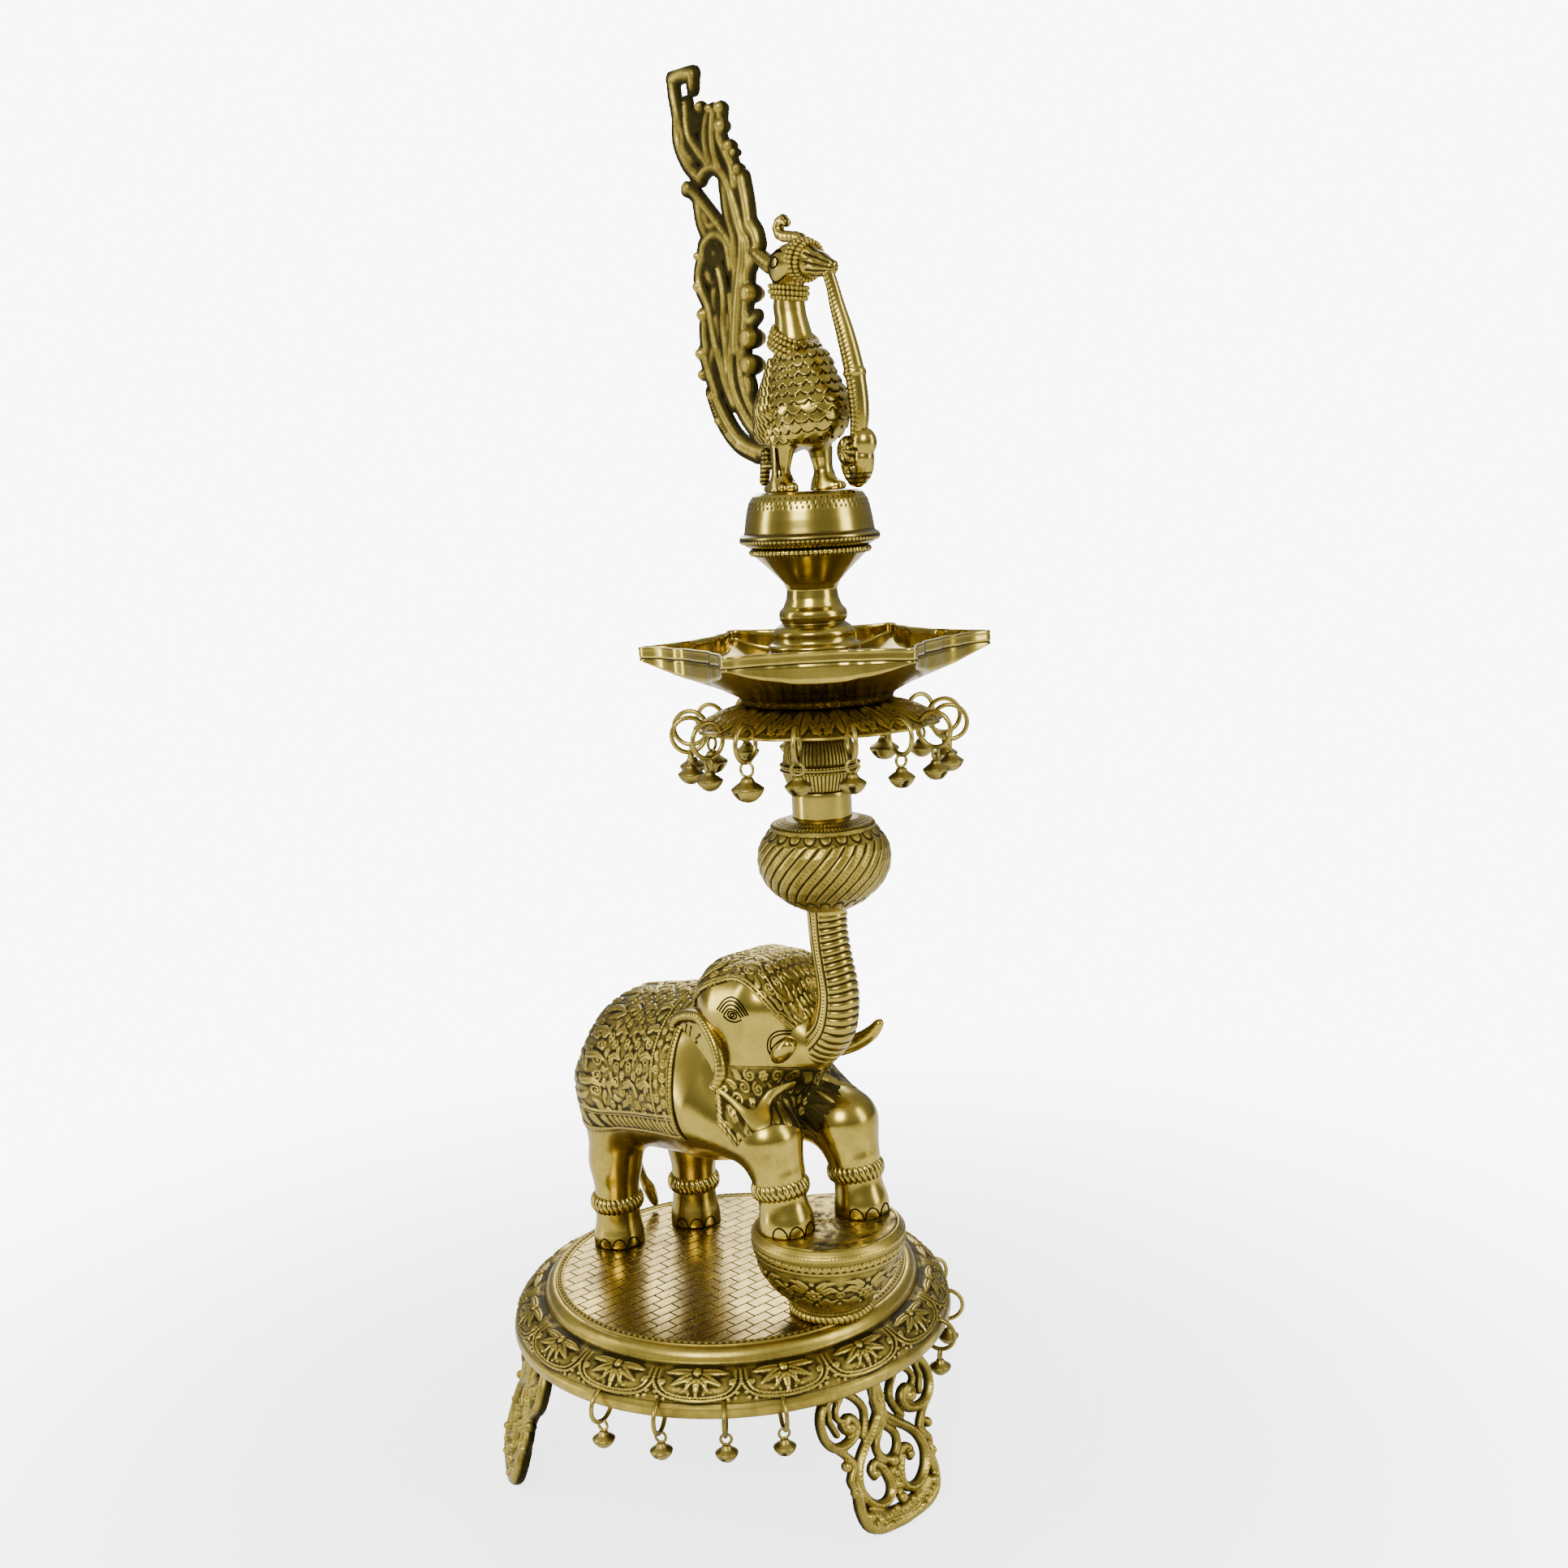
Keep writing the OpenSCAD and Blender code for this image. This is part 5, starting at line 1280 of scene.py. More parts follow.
def chest_bib(gap):
    """The bib under the jaw, darkened with painted shade: rows fan from neck to breast, columns run from side to
    side; beads edge it."""
    centre = np.array([16.0, 0, 212.0])
    rows, columns = 76, 190
    v = np.linspace(0, 1, rows)
    right = np.stack([0.55 + 0.05 * v, -1.0 + 0.12 * v, 0.12 - 0.62 * v], axis=1)
    under = np.stack([1.25 + 0 * v, 0 * v, 0.05 - 1.2 * v], axis=1)
    direction = arc_directions(right, under * 1.6, np.linspace(0, 1, columns))
    start = np.broadcast_to(centre, direction.shape)
    x, y = np.meshgrid(np.linspace(-46, 46, columns), np.linspace(0, 27, rows))
    h = scrollwork(np.zeros_like(x), x, y, 92, 27, 6.0, 31, 0.6)
    for edge in (1.2, 3.0):
        h = beads(h, x, y, [(-46, 27 - edge), (46, 27 - edge)], 0.8, 1.7, 0.9)
    for s in (-1, 1):
        h = beads(h, x, y, [(s * 44.8, 0), (s * 44.8, 27)], 0.8, 1.7, 0.9)
        h = strand(h, x, y, flowing([(s * 44, 13, 0), (s * 33, 15, 0), (s * 22, 9, 0), (s * 10, 6, 0)],
                                    20)[:, :2], 1.4, 1.1)
    points, faces = draped(start, direction, gap, 60, 0.6, h * np.clip(y / 1.0, 0,
                                                                       1) * np.clip((27 - y) / 0.8, 0, 1))
    # painted shade: besides the relief's patina, the whole bib is darkened, most in the middle under the chin
    shade = depth_of(h, 4, 1.6, ring=False) + 0.22 + 0.25 * np.clip(1 - np.abs(x) / 34, 0, 1)
    hollow = np.concatenate([shade.ravel(), np.ones(len(points) - rows * columns)])
    solid("chest_bib", points, faces, "stand", chased, (), hollow)


def ear(side, name):
    """A hanging ear: a dished leaf whose front and top edges roll over in a fluted rim; polar grid,
    closed behind."""
    outline = np.array([(1, 226), (3.5, 233), (11, 237.6), (20, 239.4), (26, 238.6), (33, 233), (38.5, 226),
                        (41.5, 218),
                        (41.8, 210), (38.5, 204), (33, 202.4), (27, 205.5), (20, 209.5), (12, 212),
                        (5.5, 218)])
    ring = flowing(np.column_stack([np.vstack([outline, outline[:1]]), np.zeros(len(outline) + 1)]),
                   220)[:-1, :2]
    centre = np.array([21.0, 221.0])
    n = len(ring)
    rows = 46
    t = np.linspace(0.03, 1, rows)[:, None]
    x = centre[0] + (ring[:, 0] - centre[0])[None] * t
    z = centre[1] + (ring[:, 1] - centre[1])[None] * t
    a = np.unwrap(np.arctan2(ring[:, 1] - centre[1], ring[:, 0] - centre[0]))[None]
    rolled = np.clip(1.2 - 0.9 * np.exp(-0.5 * ((np.mod(a, TAU) - np.radians(222)) / 0.42) ** 2), 0.25, 1)
    reach = np.hypot(ring[:, 0] - centre[0], ring[:, 1] - centre[1])[None]
    back = (1 - t) * reach
    roll = np.where(back < 5.6, np.sqrt(np.clip(1 - ((back - 2.8) / 2.8) ** 2, 0, 1)), 0) * rolled
    flute = np.where(back < 5.2, 0.35 * np.abs(np.sin(a * 31 + back * 0.55)), 0) * rolled
    h = 2.5 * roll - flute * roll
    lines = 0 * h
    for bx, bz, ex, ez in ((13, 226, 14.5, 231), (16.5, 225, 18, 230.5), (17, 221, 22, 224),
                           (15.5, 218, 18, 213.5),
                           (20, 219, 23.5, 216), (21.5, 225.5, 24.5, 228)):
        _, d, _ = nearest(x, z, [(bx, bz), (ex, ez)])
        lines = np.maximum(lines, np.exp(-(d / 0.34) ** 2))
        lines = np.maximum(lines, np.exp(-(np.hypot(x - ex, z - ez) / 0.75) ** 2))
    shadow = np.where((back > 5.0) & (back < 6.4), 0.75, 0)
    fluted = np.where(back < 5.4, np.abs(np.sin(a * 31 + back * 0.55)) * -0.5 + 0.42, 0) * rolled
    depth = np.clip(shadow + lines + fluted, -0.6, 1)
    h = h - 0.3 * lines
    bulge = 30.2 + 0.055 * (226 - z) + 0.02 * (x - 10)
    y = bulge + 1.4 + h
    under = bulge - 3.4 - 1.5 * (1 - t)
    face = np.stack([x, side * y, z + 0 * t], axis=-1)
    behind = np.stack([x, side * under, z + 0 * t], axis=-1)
    points = np.concatenate([face.reshape(-1, 3), behind.reshape(-1, 3)])
    count = rows * n
    front = lattice(rows, n)
    other = lattice(rows, n) + count
    edge = np.arange(n) + (rows - 1) * n
    nxt = np.roll(edge, -1)
    wall = np.stack([edge, nxt, nxt + count, edge + count], axis=1)
    # the same faces serve both ears; on the left one they are turned round to point outwards
    hubs = np.stack([[centre[0], side * np.mean(y[0]), centre[1]],
                     [centre[0], side * np.mean(under[0]), centre[1]]])
    points = np.concatenate([points, hubs])
    caps = [fan(0, n, 2 * count, False), fan(count, n, 2 * count + 1)]
    if side > 0:
        faces = [front[:, ::-1], other, wall[:, ::-1], caps[0][:, ::-1], caps[1][:, ::-1]]
    else:
        faces = [front, other[:, ::-1], wall, caps[0], caps[1]]
    hollow = np.concatenate([depth.ravel(), np.full(count + 2, 0.2)])
    solid(name, points, faces, "stand", figure, (), hollow)


def worked_tube(path, radii, relief, sides=96, lateral=(0, 1.0, 0)):
    """A round limb in an upright plane; relief is a height for every row and every angle, nought at its
    front."""
    t = np.gradient(path, axis=0)
    t /= np.linalg.norm(t, axis=1, keepdims=True)
    lateral = np.asarray(lateral)
    front = np.cross(lateral, t)
    a = np.linspace(0, TAU, sides, endpoint=False)
    r = radii[:, None] + relief
    spokes = np.cos(a)[None, :, None] * front[:, None] + np.sin(a)[None, :, None] * lateral
    points = path[:, None] + r[..., None] * spokes
    n = len(path) * sides
    faces = [lattice(len(path), sides), fan(0, sides, n, False), fan(n - sides, sides, n + 1)]
    return np.vstack([points.reshape(-1, 3), path[:1], path[-1:]]), faces


def trunk():
    """The raised trunk: rounded ribs across its front, two engraved lines and a dotted band down each
    side, and a
    lip where it holds the bulb."""
    line = flowing([(58, 0, 221, 14.0), (66, 0, 223.5, 12.6), (76, 0, 228.5, 11.3), (84, 0, 237, 10.6),
                    (87.3, 0, 247, 10.0),
                    (87.6, 0, 257, 9.6), (85, 0, 270, 9.2), (83.2, 0, 282, 9.0), (83, 0, 290, 9.2),
                    (83, 0, 293, 9.7)], 300)
    path, radii = line[:, :3], line[:, 3]
    run = np.linspace(0, 92, 300)[:, None]
    a = np.linspace(-np.pi, np.pi, 120, endpoint=False)
    a = np.roll(a, 60)[None, :]
    front = np.clip((np.radians(72) - np.abs(a)) / 0.08, 0, 1) * np.clip((run - 12) / 2, 0,
                                                                         1) * np.clip((90 - run) / 1.5, 0, 1)
    phase = ((run + 0.9 * np.abs(a)) / 3.5) % 1.0
    groove = np.exp(-((np.minimum(phase, 1 - phase) * 3.5) / 0.38) ** 2)
    rib = front * (0.35 * np.sin(np.pi * phase) - 0.65 * groove)
    deep = front * groove
    for edge in (74, 101):
        d = (np.abs(a) - np.radians(edge)) * 9.5
        cut = np.exp(-(d / 0.36) ** 2) * np.clip((run - 8) / 4, 0, 1)
        rib = rib - 0.5 * cut
        deep = np.maximum(deep, cut)
    band = (np.abs(np.abs(a) - np.radians(87.5)) * 9.5) / 0.5
    dot = np.exp(-band ** 2) * np.exp(-((((run / 1.7) % 1.0) - 0.5) * 1.7 / 0.4) ** 2)
    rib = rib - 0.25 * dot
    deep = np.maximum(deep, 0.8 * dot)
    points, faces = worked_tube(path, radii, rib, 120)
    hollow = np.concatenate([(deep * 1.1 - 0.03).ravel(), [0, 0]])
    solid("trunk_ribbed", points, faces, "stand", figure, ["trunk"], hollow)


def tusk(side, name):
    """A short tusk: a tapering tube bent forwards and up, its tip cut blunt; the right one is a worn
    stump."""
    line = flowing([(58, side * 13, 216, 5.0), (68, side * 16, 218.6, 4.6), (80, side * 18.8, 223.5, 4.1),
                    (89, side * 19.8, 229.5, 3.4),
                    (94, side * 20, 235, 2.3), (95, side * 20, 236.4, 1.2)], 40)
    if side < 0:
        line = flowing([(60, -13.5, 221, 5.4), (65, -15.6, 224.5, 5.2), (69.5, -16.2, 228, 4.4),
                        (72.2, -16.2, 230.2, 3.0),
                        (73.0, -16.2, 230.9, 1.4)], 24)
    points, faces, _ = swept(line[:, :3], line[:, 3], 20, up=(0, 1, 0))
    solid(name + "_smooth", points, faces, "stand", figure, [name])


def tail():
    """The tail: a thin tapering tube from rump to heel with a tuft of fused hairs."""
    line = flowing([(-78, 1, 178, 3.8), (-87, 3.5, 165, 3.6), (-91, 7, 148, 3.2), (-90.5, 10, 130, 2.7),
                    (-88, 13, 114, 2.4),
                    (-85.5, 14.7, 107, 3.4), (-83, 16, 99.5, 2.2), (-82, 16.4, 97.0, 0.9)], 90)
    run = np.linspace(0, 1, 90)[:, None]
    a = np.linspace(0, TAU, 24, endpoint=False)[None, :]
    tuft = np.clip((run - 0.82) * 12, 0, 1) * 0.35 * np.abs(np.sin(4 * a + 6 * run))
    points, faces = worked_tube(line[:, :3], line[:, 3], tuft - 0.1 * np.clip(run * 5, 0, 1), 24)
    solid("tail_tufted", points, faces, "stand", figure, ["elephant_tail"],
          np.concatenate([(-tuft + 0.1).ravel(), [0, 0]]))


def anklet(x, y, z, radius, tilt, name):
    """A rope anklet: a ring whose wire has slanting flutes, tilted with the leg."""
    around, across = 220, 22
    a = np.linspace(0, TAU, around, endpoint=False)[:, None]
    b = np.linspace(0, TAU, across, endpoint=False)[None, :]
    flute = np.abs(np.sin(15 * a + 0.9 * b))
    wire = 3.3 + 0.85 * flute ** 0.7
    px = (radius + wire * np.cos(b) * 0.86) * np.cos(a)
    py = (radius + wire * np.cos(b) * 0.86) * np.sin(a)
    pz = wire * np.sin(b) * 1.18
    c, s = np.cos(tilt), np.sin(tilt)
    points = np.stack([x + c * px + s * pz, y + py, z - s * px + c * pz], axis=-1).reshape(-1, 3)
    faces = [lattice(around, across, loop=True)[:, ::-1]]
    hollow = np.clip(0.75 - 1.25 * flute, -0.4, 0.9)
    solid(name, points, faces, "stand", figure, (), hollow)


def engraved(lines, field, origin, step, name, body="stand"):
    """Engraved lines: each guide line is moved onto the cast surface and laid there as a thin dark bar,
    half sunk."""
    sets = []
    for line in lines:
        line = flowing(np.asarray(line, dtype=float), max(8, 5 * len(line)))
        for _ in range(8):
            d, slope = sampled(field, origin, step, line, True)
            line = line - (d / (np.sum(slope ** 2, axis=1) + 0.02))[:, None] * slope
        sets.append(swept(line, ENGRAVED_WIDTH, 6))
    points, faces, hollow = joined(sets)
    solid(name, points, faces, body, ink, (), hollow + 1)


def toenail_lines(x, y, z, facing, tilt=0.0):
    """Three arches round the front of a foot, each a half ellipse on the flared wall."""
    lines = []
    for k in (-0.62, -0.02, 0.58):
        t = np.linspace(0, np.pi, 9)
        a = facing + k + 0.27 * np.cos(t)
        up = 0.7 + 5.0 * np.sin(t)
        r = 13.4 - 0.16 * up
        lines.append(np.stack([x + r * np.cos(a) - tilt * up, y + r * np.sin(a), z + up], axis=1))
    return lines


def elephant():
    """The cast elephant and all that is worked on it."""
    parts = elephant_parts()
    points, quads, field, origin = cast((-92, -50, 92), (100, 50, 270), ELEPHANT_STEP, parts)
    hollow = np.zeros(len(points))
    # painted shade: the underside of the belly and the inner sides of the legs are darkened, more the lower they
    # lie
    under = np.clip((176 - points[:, 2]) / 40, 0, 1) * np.clip(1 - np.abs(points[:, 1]) / 26, 0, 1)
    hollow += 0.18 * under * (points[:, 0] < 40)
    solid("elephant_figure", points, [quads], "stand", figure, ["elephant_body"], hollow)
    gap = lambda p: sampled(field, origin, ELEPHANT_STEP, p.reshape(-1, 3)).reshape(p.shape[:-1])
    saddle_cloth(gap)
    forehead_cover(gap)
    chest_bib(gap)
    trunk()
    tail()
    for side, name in ((-1, "tusk_right"), (1, "tusk_left")):
        tusk(side, name)
    for side, name in ((-1, "ear_right"), (1, "ear_left")):
        ear(side, name)
    for i, (x, y) in enumerate(REAR_FEET):
        anklet(x, y, FLOOR_Z + 23, 10.6, 0.0, "rear_anklet_%d" % (i + 1))
    for i, (x, y) in enumerate(FRONT_FEET):
        anklet(x - 3.2, y, POT_Z + 20.5, 10.6, -0.14, "front_anklet_%d" % (i + 1))
    lines = []
    for s in (-1, 1):
        for r, squash in ((0.9, 1.0), (2.3, 0.8)):
            t = np.linspace(0, TAU, 13)
            lines.append([(47.4 + r * np.cos(k) * 1.2, s * 30.0, 241.8 + r * squash * np.sin(k)) for k in t])
        for w, top, low in ((5.2, 2.9, -0.6), (6.6, 4.9, 0.1), (8.2, 6.9, 0.6), (9.6, 8.8, 1.0)):
            lines.append([(47.4 - w, s * 30, 241.8 + low), (47.4 - w * 0.5, s * 30, 241.8 + top * 0.8),
                          (47.4, s * 30, 241.8 + top), (47.4 + w * 0.55, s * 30, 241.8 + top * 0.75),
                          (47.4 + w, s * 29, 241.8 + low)])
        lines.append([(47.4 - 5.6, s * 30, 240.6), (45, s * 30, 238.8), (49, s * 30, 238.6),
                      (52.6, s * 29, 240.2)])
        lines.append([(70.5, s * 14.4, 233.6), (66.3, s * 17.6, 233.2), (62.8, s * 19.6, 230.8),
                      (61.6, s * 19.6, 226.1), (62.7, s * 18.6, 221.8)])
        lines.append([(70.5, s * 13.6, 235.0), (65.8, s * 18.8, 234.6), (61.6, s * 20.2, 231.2),
                      (60.2, s * 20.2, 226.1), (61.4, s * 19.0, 221.4)])
    for x, y in REAR_FEET:
        lines += toenail_lines(x, y, FLOOR_Z, -0.65)
    for x, y in FRONT_FEET:
        lines += toenail_lines(x, y, POT_Z, -0.35, 0.12)
    engraved(lines, field, origin, ELEPHANT_STEP, "elephant_engraving")


elephant()


# ---- the post: bulb, sleeve, knob, canopy, dish, cup and dome
def melon_bulb():
    """The bulb: slanting flutes parted by cut lines, arched collars above and below, beaded rings round
    its neck."""
    belly, run = spaced_profile([(11.6, 293.0), (13.4, 293.8), (17.4, 296.4), (22.7, 300.4), (27.0, 305.4),
                                 (29.6, 310.8), (30.3, 316.4),
                                 (29.6, 321.6), (27.3, 326.4), (25.0, 329.2), (23.8, 330.4)], 116)
    neck, _ = spaced_profile([(23.9, 330.8), (24.1, 331.8), (22.8, 332.6), (21.4, 332.8), (20.4, 333.6),
                              (18.2, 334.0), (17.0, 334.8),
                              (15.4, 335.2), (13.4, 335.5)], 34)
    profile = np.vstack([[(9.0, 293.0)], belly, neck])
    count, n = 30, 480
    a = np.linspace(0, TAU, n, endpoint=False)[None, :]
    z = belly[:, 1][:, None]
    slant = 0.030 * (z - 312) + 0.012 * np.sin((z - 294) / 38 * np.pi)
    wave = ((a - slant) * count / TAU) % 1.0
    gap = np.minimum(wave, 1 - wave)
    arc = TAU * belly[:, 0][:, None] / count
    body = np.clip((z - 300.0) / 1.2, 0, 1) * np.clip((326.6 - z) / 1.2, 0, 1)
    flute = 0.42 * np.sin(np.pi * wave) ** 0.7
    cut = np.exp(-((gap * arc) / 0.42) ** 2)
    mark = np.exp(-((wave - 0.5) * arc / 0.7) ** 2) * np.clip(np.cos(z * 2.6 + a * 60), 0, 1)
    h = body * (flute - 0.62 * cut - 0.10 * mark)
    deep = body * (cut + 0.35 * mark)
    for low, high, number, up in ((296.0, 300.6, 20, 1), (326.2, 330.2, 22, -1)):
        share = (z - low) / (high - low) if up > 0 else (high - z) / (high - low)
        u = ((a * number / TAU) % 1.0) - 0.5
        r = np.hypot(u * 2.1, share)
        inside = (share > 0) & (share < 1.02)
        rim = np.exp(-((r - 0.82) / 0.10) ** 2)
        h = h + np.where(inside, 0.45 * np.clip(1 - r ** 2, 0, 1) - 0.25 * rim, 0)
        deep = np.maximum(deep, np.where(inside, rim, 0))
    lift = np.zeros((len(profile), n))
    depth = np.zeros((len(profile), n))
    lift[1:117], depth[1:117] = h, deep * 1.1 + 0.06
    ring = np.abs(np.sin(a * 42))
    lift[123:129] = 0.45 * ring
    lift[134:139] = 0.35 * np.abs(np.sin(a * 34))
    depth[117:] = 0.22 + depth_of(lift[117:], 2, 2.4)
    points, faces, hollow = closed_turned((POST_X, 0), profile, n, lift, depth)
    solid("melon_bulb_fluted", points, faces, "stand", chased, ["melon_bulb"], hollow)


def neck_sleeve():
    """The plain sleeve between bulb and knob, with a small bead at each end."""
    profile, _ = spaced_profile([(13.0, 335.2), (13.6, 335.6), (13.6, 338), (13.6, 346), (13.5, 347.6),
                                 (12.8, 348.0)], 30)
    points, faces, hollow = closed_turned((POST_X, 0), profile, 96, None, None)
    solid("neck_sleeve_plain", points, faces, "stand", polished, ["neck_sleeve"], hollow)


def ribbed_knob():
    """The knob under the canopy: upright ribs below and above a beaded middle, a collar on top."""
    lower, run_low = spaced_profile([(13.6, 348.3), (14.2, 348.6), (15.0, 350.6), (16.6, 354.6),
                                     (17.3, 356.2)], 34)
    middle, _ = spaced_profile([(17.4, 356.5), (17.9, 357.3), (17.6, 357.9), (17.8, 358.5), (17.8, 359.7),
                                (17.5, 360.3), (17.1, 360.8)], 22)
    upper, _ = spaced_profile([(17.0, 361.1), (16.2, 365.0), (14.6, 370.4), (13.8, 371.8)], 30)
    collar, _ = spaced_profile([(11.2, 372), (11, 374), (11.4, 376.5), (11, 379), (11, 385.6)], 14)
    n = 384
    a = np.linspace(0, TAU, n, endpoint=False)[None, :]
    rib = np.abs(np.sin(a * 30)) ** 0.6
    lift = np.zeros((100, n))
    depth = np.zeros((100, n))
    ends = np.sin(np.pi * np.clip(np.linspace(0.02, 1, 34), 0, 1))[:, None] ** 0.3
    lift[:34] = 0.55 * rib * ends - 0.3
    depth[:34] = (1 - rib) * 1.3 - 0.1
    ends = np.sin(np.pi * np.linspace(0.02, 0.98, 30))[:, None] ** 0.3
    lift[56:86] = 0.5 * rib * ends - 0.3
    depth[56:86] = (1 - rib) * 1.3 - 0.1
    row = np.abs(np.sin(a * 36))
    for first, size in ((36, 5), (46, 7)):
        bump = np.sin(np.linspace(0, np.pi, size))[:, None]
        lift[first:first + size] = 0.6 * bump * row ** 0.7
        depth[first:first + size] = 0.9 - 1.3 * row * bump
    depth[41:45] += 0.25
    profile = np.vstack([lower, middle, upper, collar])
    points, faces, hollow = closed_turned((POST_X, 0), profile, n, lift, depth)
    solid("knob_ribbed", points, faces, "stand", chased, ["gadroon_knob"], hollow)


def canopy_motif(rows, columns, width, height):
    """One bay of the canopy: a broad acanthus leaf flanked by half leaves, all finely hatched, ending in
    a scallop."""
    x, y = grid_of(width, height, columns, rows)
    h = np.zeros_like(x)
    w = width / 2
    h = leaf(h, x, y, [(0, 1.5), (0, height * 0.55), (0, height - 1.4)], 4.6, 1.25, 1.25, 0.5, 0.72)
    for s in (-1, 1):
        h = leaf(h, x, y, [(s * w, 5), (s * w * 0.92, height * 0.5), (s * w * 0.62, height - 4.5)], 3.0, 1.0,
                 1.2, 0.5, 0.8)
        h = leaf(h, x, y, [(s * 3.2, height * 0.45), (s * w * 0.62, height * 0.62),
                           (s * w * 0.98, height - 2.0)], 2.4, 1.05, 1.2, 0.5)
        h = strand(h, x, y, curl(s * w * 0.80, height - 6.0, 1.6, 1.2, 0, s), 0.4, 0.6)
    h = dots(h, x, y, [(0, height - 2.2)], 1.3, 1.2)
    for k in np.linspace(-w, w, 8)[:-1] + w / 7:
        h = dots(h, x, y, [(k, 0.9)], 0.5, 0.5)
    return h


def canopy():
    """The canopy: a low cone worked with radial leaves, its rim scalloped and turned down, hollow
    beneath."""
    top, _ = spaced_profile([(56.2, 377.9), (56.0, 379.0), (52.8, 380.0), (46.6, 382.9), (38.8, 385.5),
                             (33, 386.9), (29, 387.3)], 70)
    deck, _ = spaced_profile([(28.4, 387.4), (26, 387.7), (14, 387.9)], 6)
    under, _ = spaced_profile([(14, 386), (30, 385.8), (38, 384.4), (46, 381.6), (52.4, 378.4),
                               (54.8, 377.8)], 12)
    bays, columns = 16, 40
    n = bays * columns
    tile = canopy_motif(70, columns, TAU * 44 / bays, 30)[::-1]
    a = np.linspace(0, TAU, n, endpoint=False)[None, :]
    lift = np.zeros((88, n))
    phase = columns // 2 + int(round(15 / 360 * n))
    lift[:70] = tiled(tile, bays, phase) * np.clip(np.linspace(0, 6, 70), 0.25, 1)[:, None]
    depth = depth_of(lift, 3, 2.0) + 0.14
    depth[70:] = 0.4
    profile = np.vstack([top, deck, under])
    points, faces, hollow = closed_turned((POST_X, 0), profile, n, lift, depth, loop=True)
    share = np.clip((np.hypot(points[:, 0] - POST_X, points[:, 1]) - 40) / 16, 0, 1)
    angle = np.arctan2(points[:, 1], points[:, 0] - POST_X)
    scale = 1 - 0.030 * share * (1 - np.abs(np.sin(8 * (angle - np.radians(15)))))
    points[:, 0] = POST_X + (points[:, 0] - POST_X) * scale
    points[:, 1] *= scale
    solid("canopy_leafwork", points, faces, "umbrella", chased, ["bell_umbrella"], hollow)


def hanging_rings(centre, radius, angles, z, name, body, node_name):
    """The wire rings that hang through the edge: one torus each, square to the edge."""
    sets = []
    for a in np.radians(angles):
        away = np.array([np.cos(a), np.sin(a), 0])
        middle = np.array([centre[0], centre[1], z]) + radius * away
        sets.append(torus(middle, (-away[1], away[0], 0), RING_R, WIRE_R, 30, 9))
    points, faces, hollow = joined(sets)
    solid(name, points, faces, body, wire_metal, [node_name], hollow)


def jingle_bell(centre, radius, angle, z, size):
    """A jingle bell: two cones of sheet brass meeting in a sharp seam, a square slot in the lower one,
    and a wire eye.
    The slot is the wall pressed in and painted fully dark, as painted shade for the dark inside that shows
    through a real slot."""
    a = np.radians(angle)
    away = np.array([np.cos(a), np.sin(a)])
    place = np.array([centre[0], centre[1]]) + radius * away
    s = size
    top = z - 0.62 * s - 1.5
    upper = [(0.10, 0), (0.34, -0.10), (0.46, -0.34), (0.72, -0.52), (0.93, -0.68), (1.0, -0.74)]
    lower = [(1.0, -0.80), (0.90, -1.02), (0.74, -1.24), (0.50, -1.46), (0.25, -1.56), (0.06, -1.58)]
    line, _ = spaced_profile([(r * s, top + h * s) for r, h in (upper + lower)[::-1]], 20)
    n = 36
    ring = np.linspace(0, TAU, n, endpoint=False)
    turn = np.mod(ring[None, :] - a + 0.35 + np.pi / 4, np.pi / 2 * 2) - np.pi / 4
    height = (line[:, 1][:, None] - (top - 1.58 * s)) / (0.78 * s)
    wide = np.abs(turn) * line[:, 0][:, None] / s
    slot = (wide < 0.17) & (height > 0.12) & (height < 0.86)
    lift = np.where(slot, -0.24 * s, 0.0)
    # painted shade: the slot is painted fully dark; the thin line at the seam is the seam's own dark joint
    depth = np.where(slot, 1.0, 0.05 + 0.25 * (np.abs(height - 1.02) < 0.06))
    body = closed_turned(place, line, n, lift, depth)
    eye = torus((place[0], place[1], z - 0.30 * s - 0.9), (away[0], away[1], 0), 0.40 * s + 0.35, 0.75, 16, 6)
    return joined([body, eye])


def bells():
    """All the bells, each riding on its own hinge."""
    for i, angle in enumerate(RIM_BELLS):
        name = "rim_bell_%02d" % (i + 1)
        points, faces, hollow = jingle_bell((0, 0), RIM_BELL_R, angle, LIP_Z - RING_R, RIM_BELL_SIZE)
        solid(name + "_pressed", points, faces, name, bell_metal, [name], hollow)
    for i, angle in enumerate(CANOPY_BELLS):
        name = "umbrella_bell_%02d" % (i + 1)
        size = BIG_BELL_SIZE if i in BIG_BELLS else CANOPY_BELL_SIZE
        points, faces, hollow = jingle_bell((POST_X, 0), CANOPY_BELL_R, angle, CANOPY_RIM_Z - RING_R, size)
        solid(name + "_pressed", points, faces, name, bell_metal, [name], hollow)


def dish_reach(a):
    """The dish's outline: radius against the angle from the nearest spout, read off a few points and
    smoothed."""
    u = np.abs(np.mod(a - np.radians(48) + np.pi / 6, np.pi / 3) - np.pi / 6)
    degrees = [0, 1.5, 4.1, 7, 10.4, 14.7, 18.5, 22, 30]
    radii = [78.7, 78.2, 72.4, 68.6, 66.0, 64.4, 61.2, 60.1, 60]
    r = np.interp(np.degrees(u), degrees, radii)
    for _ in range(3):
        r = 0.5 * r + 0.25 * (np.roll(r, 1) + np.roll(r, -1))
    return r


